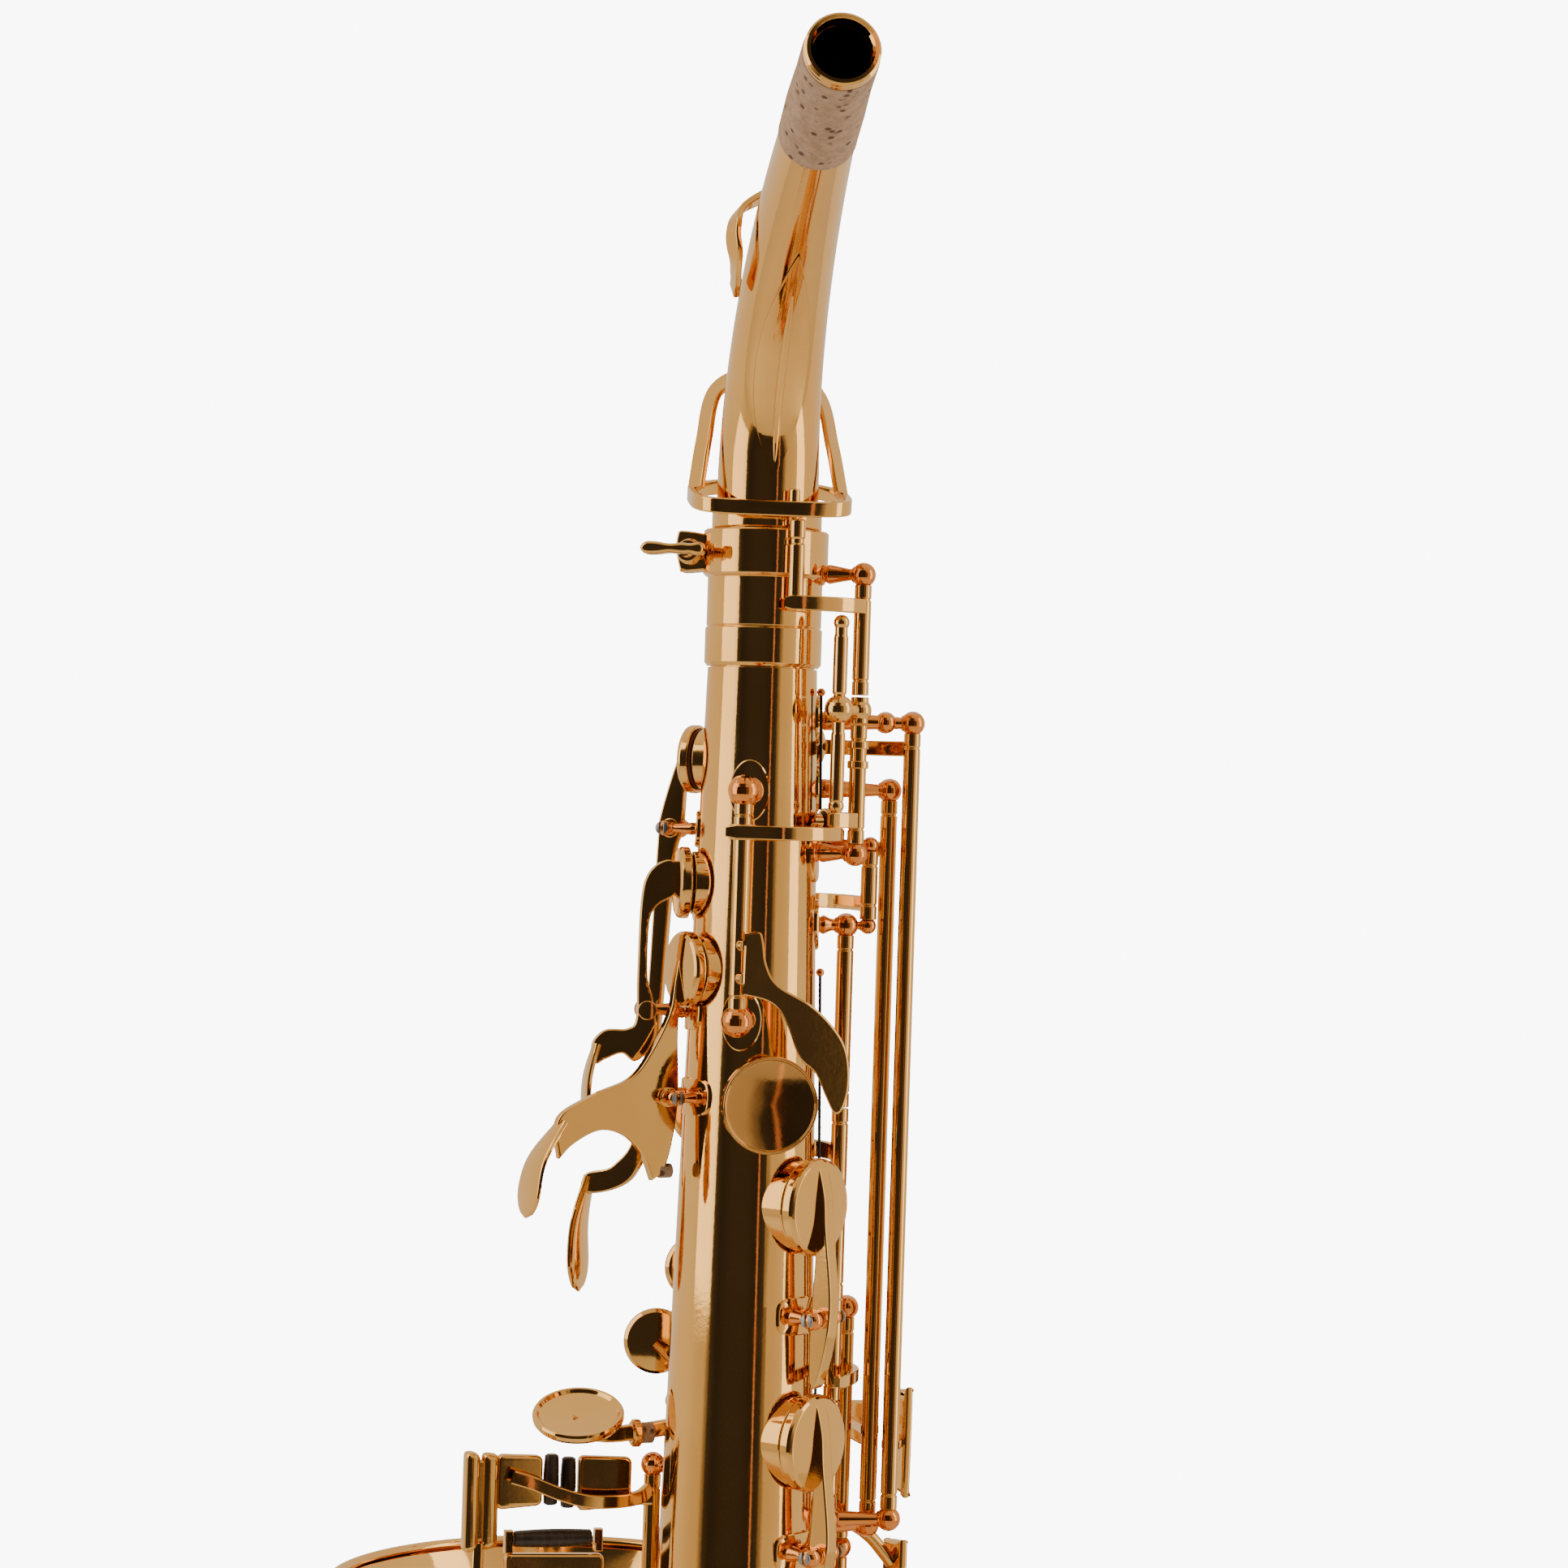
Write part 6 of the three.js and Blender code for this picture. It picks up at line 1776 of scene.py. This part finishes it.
def make_thumb_hook():
    piece = Piece("thumb_hook_form", "thumb_hook")
    angle, depth = 268, 332
    surface = cone_at(depth)
    outline = [
        (surface + 1.4, depth - 5),
        (surface + 10, depth - 8),
        (surface + 19, depth - 7.4),
        (surface + 25, depth - 1.6),
        (surface + 26.9, depth + 6),
        (surface + 25.2, depth + 11.8),
        (surface + 23.1, depth + 10.8),
        (surface + 23.4, depth + 4),
        (surface + 19.5, depth - 1.5),
        (surface + 10, depth - 3.6),
        (surface + 5, depth + 3),
        (surface + 1.4, depth + 4),
    ]
    points = [(p.x, p.y) for p in spline([(r, d, 0) for r, d in outline], 6, True, (0, 11))]
    piece.add("brass", plate(points, 9.6, AXIS.copy(), heading(angle), DOWN, 1.0))
    piece.add("brass", foot_plate(angle, depth, 6.2, 12.6, 1.8, oval=False))
    for side in (-1, 1):
        piece.add("steel",
                *slotted_screw(place(angle, surface + 1.7, depth + side * 9.4), heading(angle), 1.7, 0.8))
    piece.make()


def guard_hoop(centre, direction, radius):
    profile = [(radius - 3, 0.3), (radius - 2.7, 0), (radius - 0.3, 0), (radius, 0.3), (radius, 1.3)]
    profile += [(radius - 0.3, 1.6), (radius - 2.7, 1.6), (radius - 3, 1.3), (radius - 3, 0.3)]
    return turned(profile, centre, direction, 72, 0.1)


def guard_felt(piece, centre, direction):
    """The bumper felt that a guard holds over its cup, in a threaded brass seat."""
    seat = [(0, -0.2), (3.6, -0.2), (3.9, 0.2), (3.9, 1.8), (3.3, 2.2), (0, 2.2)]
    piece.add("brass", turned(seat, centre, direction, 40, 0.1))
    piece.add("felt", rod(centre - direction * 0.1, centre - direction * 2.2, 3.1, 32, 0.4))


GUARD_HEIGHT = 17


def make_guards():
    out = heading(BELL_RIGHT)
    across = heading(BELL_RIGHT + 90)
    height = bell_at(344) + CHIMNEY_RISE + GUARD_HEIGHT
    piece = Piece("bell_key_guard_form", "bell_key_guard")
    for depth in (400, 344):
        centre = bell_place(BELL_RIGHT, height, depth)
        piece.add("brass", guard_hoop(centre, out, 14))
        for turn in (0, 120, 240):
            spoke = UP * math.cos(math.radians(turn)) + across * math.sin(math.radians(turn))
            piece.add("brass",
                    rod(centre + out * 0.8 + spoke * 3, centre + out * 0.8 + spoke * 12, 0.8, 14, 0))
        guard_felt(piece, centre, out)
    middle = bell_place(BELL_RIGHT, height, 372) + out * 0.8
    piece.add("brass", plate([(-2, -17), (2, -17), (2, 17), (-2, 17)], 1.6, middle, across, DOWN, 0.3))
    for depth, side, drop in ((400, 1, 8), (344, 1, -8)):
        top = bell_place(BELL_RIGHT, height + 0.8, depth + drop * 0.36) + across * side * 12
        angle = BELL_RIGHT + side * 48
        elbow = bell_place(angle, bell_at(depth) + 14, depth + drop)
        foot = bell_place(angle + side * 4, bell_at(depth + drop) + GAP + 0.6, depth + drop)
        piece.add("brass", wire([top, elbow, foot], 1.8, 6, 20))
        flange = [(0, 0), (4.6, 0), (4.6, 0.7), (2.4, 1.5), (0, 1.8)]
        piece.add("brass", turned(flange, foot, heading(angle + side * 4), 40, 0.15))
    piece.make()

    piece = Piece("low_c_guard_form", "low_c_guard")
    out = Vector((1, 0, 0))
    height = bow_at(LOW_C_TURN / 180) + CHIMNEY_RISE + GUARD_HEIGHT
    centre = bow_place(LOW_C_TURN, height)
    piece.add("brass", guard_hoop(centre, out, 13))
    guard_felt(piece, centre, out)
    for turn in (-60, 60, 180):
        spread = Vector((0, math.sin(math.radians(turn)), math.cos(math.radians(turn))))
        top = centre + spread * 11.5 + out * 0.8
        elbow = bow_place(LOW_C_TURN, height - 6) + spread * 21
        foot = bow_place(LOW_C_TURN, 19) + spread * 21
        piece.add("brass", rod(centre + out * 0.8 + spread * 3, centre + out * 0.8 + spread * 11, 0.8, 14, 0))
        piece.add("brass", wire([top, elbow, foot], 1.8, 6, 20))
    piece.make()

    piece = Piece("low_e_flat_guard_form", "low_e_flat_guard")
    angle, depth = TONE_HOLES["low_e_flat"][:2]
    out = heading(angle)
    height = top_of("low_e_flat") + 10.5
    centre = place(angle, height, depth)
    piece.add("brass", guard_hoop(centre, out, 11.5))
    guard_felt(piece, centre, out)
    for turn in (180, 90):
        spread = UP * math.cos(math.radians(turn)) + heading(angle - 90) * math.sin(math.radians(turn))
        piece.add("brass", rod(centre + out * 0.8 + spread * 3, centre + out * 0.8 + spread * 10, 0.8, 14, 0))
    low = [centre + DOWN * 10 + out * 0.8, place(angle, height - 4, depth + 19),
            place(angle, cone_at(depth + 19), depth + 19)]
    side = angle - 56
    level = [
        centre + heading(angle - 90) * 10 + out * 0.8,
        place(side, cone_at(depth) + 15, depth),
        place(side, cone_at(depth), depth),
    ]
    for path in (low, level):
        piece.add("brass", wire(path, 1.8, 5, 20))
    piece.make()


def make_bell_brace():
    piece = Piece("bell_brace_form", "bell_brace")
    centre = AXIS + Vector((-27, 28, -302))
    piece.add("brass", ring_wire(centre, Vector((1, 0, 0)), 9, 1.8))
    body_foot = place(162, cone_at(302) + 1.2, 302)
    bell_foot = bell_place(238, bell_at(302) + 1.2, 302)
    piece.add("brass", wire([body_foot, centre + Vector((0, -9, 0))], 2.2, 3, 20))
    piece.add("brass", wire([centre + Vector((0, 9, 0)), bell_foot], 2.2, 3, 20))
    piece.add("brass", foot_plate(162, 302, 5.6, 5.6, 1.6))
    flange = [(0, 0), (6, 0), (6, 1.0), (3.2, 2.2), (0, 2.8)]
    piece.add("brass", turned(flange, bell_place(238, bell_at(302) + 0.2, 302), heading(238), 48, 0.2))
    piece.make()


# ---------------------------------------------------------------- left table and low keys

TABLE_FACING = 80
TABLE_OUT = 24


def on_table(across, depth, out=0.0):
    front = AXIS + heading(TABLE_FACING) * (TABLE_OUT + out)
    return front + heading(TABLE_FACING + 90) * across + DOWN * depth


def table_plate(left, right, top, bottom, thickness=3, soft=0.8):
    corner = [(right, top + 0.6), (left, top + 1.2), (left, bottom - 1), (right, bottom - 0.2)]
    outline = []
    count = len(corner)
    for i, (x, y) in enumerate(corner):
        before, after = Vector(corner[i - 1]), Vector(corner[(i + 1) % count])
        here = Vector((x, y))
        a, b = here + (before - here).normalized() * 1.6, here + (after - here).normalized() * 1.6
        for k in range(6):
            t = k / 5
            outline.append(tuple(a * (1 - t) ** 2 + here * 2 * t * (1 - t) + b * t * t))
    return plate(outline, thickness, on_table(0, 0), heading(TABLE_FACING + 90), DOWN, soft)


def barrel_roller(start, end, radius):
    length = (end - start).length
    profile = [(0, 0), (radius * 0.62, 0), (radius * 0.8, 0.25)]
    profile += [(radius * (0.86 + 0.14 * math.sin(math.pi * k / 8)), 0.3 + (length - 0.6) * k / 8)
            for k in range(9)]
    profile += [(radius * 0.8, length - 0.25), (radius * 0.62, length), (0, length)]
    return turned(profile, start, end - start, 48, 0.05)


def make_rollers():
    rows = [
        ("table_roller_right", on_table(34.3, 221), on_table(34.3, 233), 1.9),
        ("table_roller_left", on_table(38.7, 220), on_table(38.7, 232), 1.9),
        ("table_roller_long", on_table(28, 240.3), on_table(47, 240.3), 2.2),
    ]
    for name, start, end, radius in rows:
        piece = Piece(name + "_form", name)
        if name in TABLE_TURNED:
            piece.rest_turn = TABLE_TURNED[name]
        piece.add("roller", barrel_roller(start, end, radius))
        piece.make()


def bell_cup(piece, hole):
    angle, depth, radius = BELL_HOLES[hole]
    seat = bell_place(angle, bell_rim_of(hole) + GAP + PAD_PROUD, depth)
    cup_with_pad(piece, seat, heading(angle), radius + CUP_MARGIN, 3.2)
    return bell_place(angle, bell_rim_of(hole) + GAP + PAD_PROUD + 3.9, depth)


def bell_arm(piece, joint, hole, past):
    top = bell_cup(piece, hole)
    depth = BELL_HOLES[hole][1]
    piece.add("brass", arm(on_hinge(joint, 0), AXIS + Vector((past[0], past[1], 0)), top, depth, 5, 2.4))


BELL_OPEN = -3
TABLE_TURNED = {
    "table_roller_right": (joint_place("low_b_key_turn"), BELL_OPEN),
    "table_roller_long": (joint_place("low_b_flat_key_turn"), BELL_OPEN),
}


def make_table():
    joint = "g_sharp_key_turn"
    piece = Piece("g_sharp_key_form", "g_sharp_key")
    piece.add("brass", key_tube(joint, 211.2, 249.3))
    cup_arm(piece, joint, "g_sharp")
    stack_cup(piece, "g_sharp")
    facing = heading(TABLE_FACING + 160, 2.3)
    dish = [(0, 0), (9.4, 0), (10.4, 0.35), (10.95, 1.1), (11, 2.1), (10.6, 2.75), (10.0, 2.7),
            (9.3, 1.9), (7, 1.5), (0, 1.3)]
    piece.add("brass", turned(dish, on_table(32, 212.6, 1.5), facing, 96, 0.12))
    stem = spline([on_hinge(joint, 214), on_table(18, 215.4, 1), on_table(27, 215.6, 1),
            on_table(34, 212.8, 1.6)], 10)
    piece.add("brass", swept(stem, bar_section(2.6, 3.8, 0.6), up=UP))
    bumper_side = heading(TABLE_FACING + 90)
    piece.add("cork", rod(on_table(14.2, 215.3, -1), on_table(17.6, 215.3, -1), 2.5, 36, 0.35))
    holder = [(0, 0), (3.1, 0), (3.3, 0.3), (3.3, 1.7), (2.6, 2.3), (0, 2.5)]
    piece.add("brass", turned(holder, on_table(17.4, 215.3, -1), bumper_side, 44, 0.12))
    piece.make()

    joint = "low_b_key_turn"
    piece = Piece("low_b_key_form", "low_b_key", rest_turn=(joint_place(joint), BELL_OPEN))
    piece.add("brass", key_tube(joint, 225.9, 404.8))
    piece.add("brass", table_plate(19, 32, 220, 234))
    piece.add("brass", swept([on_hinge(joint, 231), on_table(22, 231)], bar_section(4.4, 2.6, 0.6), up=UP))
    bend = [(49, 224.4, -6), (44, 226, -6.2), (37.5, 228.6, -6.2), (31, 230.4, -6.2), (24, 230.8, -5.4)]
    bend += [(18, 230.2, -4), (15, 228.6, -2.6)]
    band = spline([on_table(*at) for at in bend], 8)
    piece.add("brass", swept(band, bar_section(2.0, 3.2, 0.4), up=UP))
    bell_arm(piece, joint, "low_b", (20, 46))
    piece.make()

    joint = "low_b_flat_key_turn"
    piece = Piece("low_b_flat_key_form", "low_b_flat_key", rest_turn=(joint_place(joint), BELL_OPEN))
    piece.add("brass", key_tube(joint, 255.7, 350.8))
    piece.add("brass", table_plate(25, 49, 243, 258))
    for across in (26.4, 48.2):
        piece.add("brass", plate(
            [(-1.0, -2.6), (1.0, -2.6), (1.0, 2.8), (-1.0, 2.8)],
            2.6, on_table(across, 240.8), heading(TABLE_FACING + 90), DOWN, 0.3,
        ))
    level = AXIS.z - 258.4
    past = AXIS + Vector((-9, 35, 0))
    path = [Vector((p.x, p.y, level)) for p in bezier(on_hinge(joint, 0), past, on_table(30, 0), 16)]
    piece.add("brass", swept(path, bar_section(4.0, 2.4, 0.5), up=arm_facing(path)))
    bell_arm(piece, joint, "low_b_flat", (23, 40))
    piece.make()

    joint = "low_c_sharp_key_turn"
    piece = Piece("low_c_sharp_key_form", "low_c_sharp_key")
    piece.add("brass", key_tube(joint, 259.2, 429.8))
    piece.add("brass", table_plate(56.4, 60, 218, 243, 4.6, 1.3))
    piece.add("brass", table_plate(51.6, 55.8, 218.4, 242.6, 4, 1.6))
    piece.add("brass", table_plate(53, 59, 220, 241, 2.4, 0.6))
    piece.add("brass", table_plate(41, 52, 219, 233, 3, 0.8))
    band = spline([on_hinge(joint, 263), on_table(50, 260, -6), on_table(56, 250, -3), on_table(56, 241)], 10)
    piece.add("brass", swept(band, bar_section(4.2, 2.6, 0.7)))
    bell_arm(piece, joint, "low_c_sharp", (-40, 50))
    piece.make()
    make_rollers()


def right_plate(piece, top, bottom):
    half = (bottom - top) / 2
    centre = place(32, 41.82, (top + bottom) / 2)
    corner = [(-8, -half), (8, -half + 0.8), (9, half - 0.8), (-7, half)]
    outline = []
    for i, here in enumerate(corner):
        here = Vector(here)
        before, after = Vector(corner[i - 1]), Vector(corner[(i + 1) % 4])
        a, b = here + (before - here).normalized() * 2, here + (after - here).normalized() * 2
        for k in range(6):
            t = k / 5
            outline.append(tuple(a * (1 - t) ** 2 + here * 2 * t * (1 - t) + b * t * t))
    piece.add("brass", plate(outline, 2.2, centre, heading(122), DOWN, 0.7))


def make_low_keys():
    joint = "low_e_flat_key_turn"
    piece = Piece("low_e_flat_key_form", "low_e_flat_key")
    piece.add("brass", key_tube(joint, 396.2, 428.8))
    end = place(TONE_HOLES["low_e_flat"][0], top_of("low_e_flat") + 0.7, 0)
    piece.add("brass", arm(on_hinge(joint, 0), place(350, cone_at(411) + 14, 0), end, 411, 5, 2.2))
    stack_cup(piece, "low_e_flat")
    right_plate(piece, 397, 409)
    piece.add("brass", wire([on_hinge(joint, 401), place(30, 41.22, 402)], 1.8, 3, 20))
    piece.make()

    joint = "low_c_key_turn"
    piece = Piece("low_c_key_form", "low_c_key", rest_turn=(joint_place(joint), -9))
    piece.add("brass", key_tube(joint, 435.2, 500.8))
    rim = bow_at(LOW_C_TURN / 180) + CHIMNEY_RISE
    seat = bow_place(LOW_C_TURN, rim + GAP + PAD_PROUD)
    cup_with_pad(piece, seat, Vector((1, 0, 0)), LOW_C_HOLE + CUP_MARGIN, 3.2)
    piece.add("brass",
            wire([on_hinge(joint, 494), bow_place(LOW_C_TURN, rim + GAP + PAD_PROUD + 4.6)], 2, 3, 20))
    right_plate(piece, 411.5, 424)
    piece.add("brass", wire([on_hinge(joint, 438), place(30, 39.82, 434), place(32, 41.22, 420)], 1.8, 3, 20))
    piece.make()


# ---------------------------------------------------------------- world, lights, floor and camera

CAMERA_ANGLE = 242
CAMERA_DISTANCE = 900
CAMERA_DEPTH = 59.2
CAMERA_LENS = 88.0
CAMERA_ROLL = 1.78
CAMERA_SIDE = 5.9


def make_world():
    world = bpy.data.worlds.new("studio")
    bpy.context.scene.world = world
    world.use_nodes = True
    tree = world.node_tree
    tree.nodes.clear()
    output = tree.nodes.new("ShaderNodeOutputWorld")
    backdrop = tree.nodes.new("ShaderNodeBackground")
    backdrop.inputs["Color"].default_value = (1, 1, 1, 1)
    backdrop.inputs["Strength"].default_value = 9.0
    room = tree.nodes.new("ShaderNodeBackground")
    room.inputs["Strength"].default_value = 1.0
    coordinates = tree.nodes.new("ShaderNodeTexCoord")
    toward = tree.nodes.new("ShaderNodeVectorMath")
    toward.operation = "DOT_PRODUCT"
    toward.inputs[1].default_value = heading(CAMERA_ANGLE - 10)
    tree.links.new(coordinates.outputs["Generated"], toward.inputs[0])
    shade = tree.nodes.new("ShaderNodeValToRGB")
    shade.color_ramp.interpolation = "EASE"
    stops = shade.color_ramp.elements
    stops[0].position = 0.0
    stops[0].color = (0.98, 0.84, 0.66, 1)
    stops[1].position = 1.0
    stops[1].color = (0.05, 0.042, 0.045, 1)
    for position, colour in (
        (0.62, (0.78, 0.63, 0.45)),
        (0.71, (0.3, 0.23, 0.16)),
        (0.75, (0.06, 0.05, 0.05)),
        (0.86, (0.035, 0.03, 0.033)),
    ):
        stop = stops.new(position)
        stop.color = (*colour, 1)
    tree.links.new(toward.outputs["Value"], shade.inputs[0])
    tree.links.new(shade.outputs["Color"], room.inputs["Color"])
    path = tree.nodes.new("ShaderNodeLightPath")
    mixed = tree.nodes.new("ShaderNodeMixShader")
    tree.links.new(path.outputs["Is Camera Ray"], mixed.inputs[0])
    tree.links.new(room.outputs[0], mixed.inputs[1])
    tree.links.new(backdrop.outputs[0], mixed.inputs[2])
    tree.links.new(mixed.outputs[0], output.inputs["Surface"])


def make_light(name, angle, radius, depth, size, power, tint=(1, 1, 1)):
    light = bpy.data.lights.new(name, "AREA")
    light.shape = "RECTANGLE"
    light.size, light.size_y = size
    light.energy = power
    light.color = tint
    obj = bpy.data.objects.new(name, light)
    bpy.context.collection.objects.link(obj)
    position = place(angle, radius, depth)
    obj.location = position / 1000
    obj.rotation_euler = (place(0, 0, 150) - position).to_track_quat("-Z", "Y").to_euler()


FLOOR_RADIUS = 1200


def make_floor():
    """A pale round floor just under the bow."""
    material = new_material("pale_floor", (0.86, 0.86, 0.85), 0.0, 0.7)
    shader = material.node_tree.nodes["Principled BSDF"]
    tone = ramp(material, noise(material, 9, 5), [(0.3, (0.84, 0.84, 0.83)), (0.7, (0.88, 0.88, 0.87))])
    wire_up(material, (tone, shader.inputs["Base Color"]))
    bump(material, noise(material, 420, 4), 0.05, 0.0003)
    MATERIALS["floor"] = material
    outline = [
        (FLOOR_RADIUS * math.cos(2 * math.pi * k / 96), FLOOR_RADIUS * math.sin(2 * math.pi * k / 96))
        for k in range(96)
    ]
    centre = Vector((AXIS.x, AXIS.y, cad_box[0].z / MM - 3))
    floor = Piece("floor").add("floor", plate(outline, 4, centre, Vector((1, 0, 0)), Vector((0, 1, 0))))
    floor.make()


def make_camera():
    camera = bpy.data.cameras.new("photo_view")
    camera.lens = CAMERA_LENS
    camera.sensor_width = 36
    camera.clip_start = 0.01
    obj = bpy.data.objects.new("photo_view", camera)
    bpy.context.collection.objects.link(obj)
    position = place(CAMERA_ANGLE, CAMERA_DISTANCE, CAMERA_DEPTH)
    right = heading(CAMERA_ANGLE + 90)
    aim = place(0, 0, CAMERA_DEPTH) + right * CAMERA_SIDE
    back = (position - aim).normalized()
    right = UP.cross(back).normalized()
    up = back.cross(right)
    turn = math.radians(CAMERA_ROLL)
    tilted_right = right * math.cos(turn) + up * math.sin(turn)
    tilted_up = back.cross(tilted_right)
    basis = Matrix((tilted_right, tilted_up, back)).transposed()
    obj.matrix_world = Matrix.Translation(position / 1000) @ basis.to_4x4()
    bpy.context.scene.camera = obj


# ---------------------------------------------------------------- the whole instrument

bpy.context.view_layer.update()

make_body_tube()
make_body_fittings()
make_receiver()
make_neck_screw()
make_neck()
make_neck_octave_key()
make_octave_work()
make_thumb_key()
make_thumb_rest()
make_palm_keys()
make_side_levers()
make_stacks()
make_side_keys()
make_bow()
make_bell()
joint_ring("body_bow_ring", place(0, 0, BODY_JOINT), bow_at(BOW_LEAD / BOW_LENGTH), RING_LENGTH)
joint_ring("bell_bow_ring", bell_place(0, 0, BELL_JOINT), bell_at(BELL_JOINT), BELL_RING_LENGTH)
make_strap_ring()
make_thumb_hook()
make_guards()
make_bell_brace()
make_table()
make_low_keys()
make_floor()
make_world()
make_light("key_left", 172, 700, -150, (0.5, 0.9), 2.6, (1.0, 0.9, 0.78))
make_light("fill_right", 320, 800, 0, (0.3, 1.0), 2.0, (1.0, 0.88, 0.74))
make_light("coral_line", 263, 800, 100, (0.035, 1.4), 0.12, (1.0, 0.42, 0.26))
make_camera()
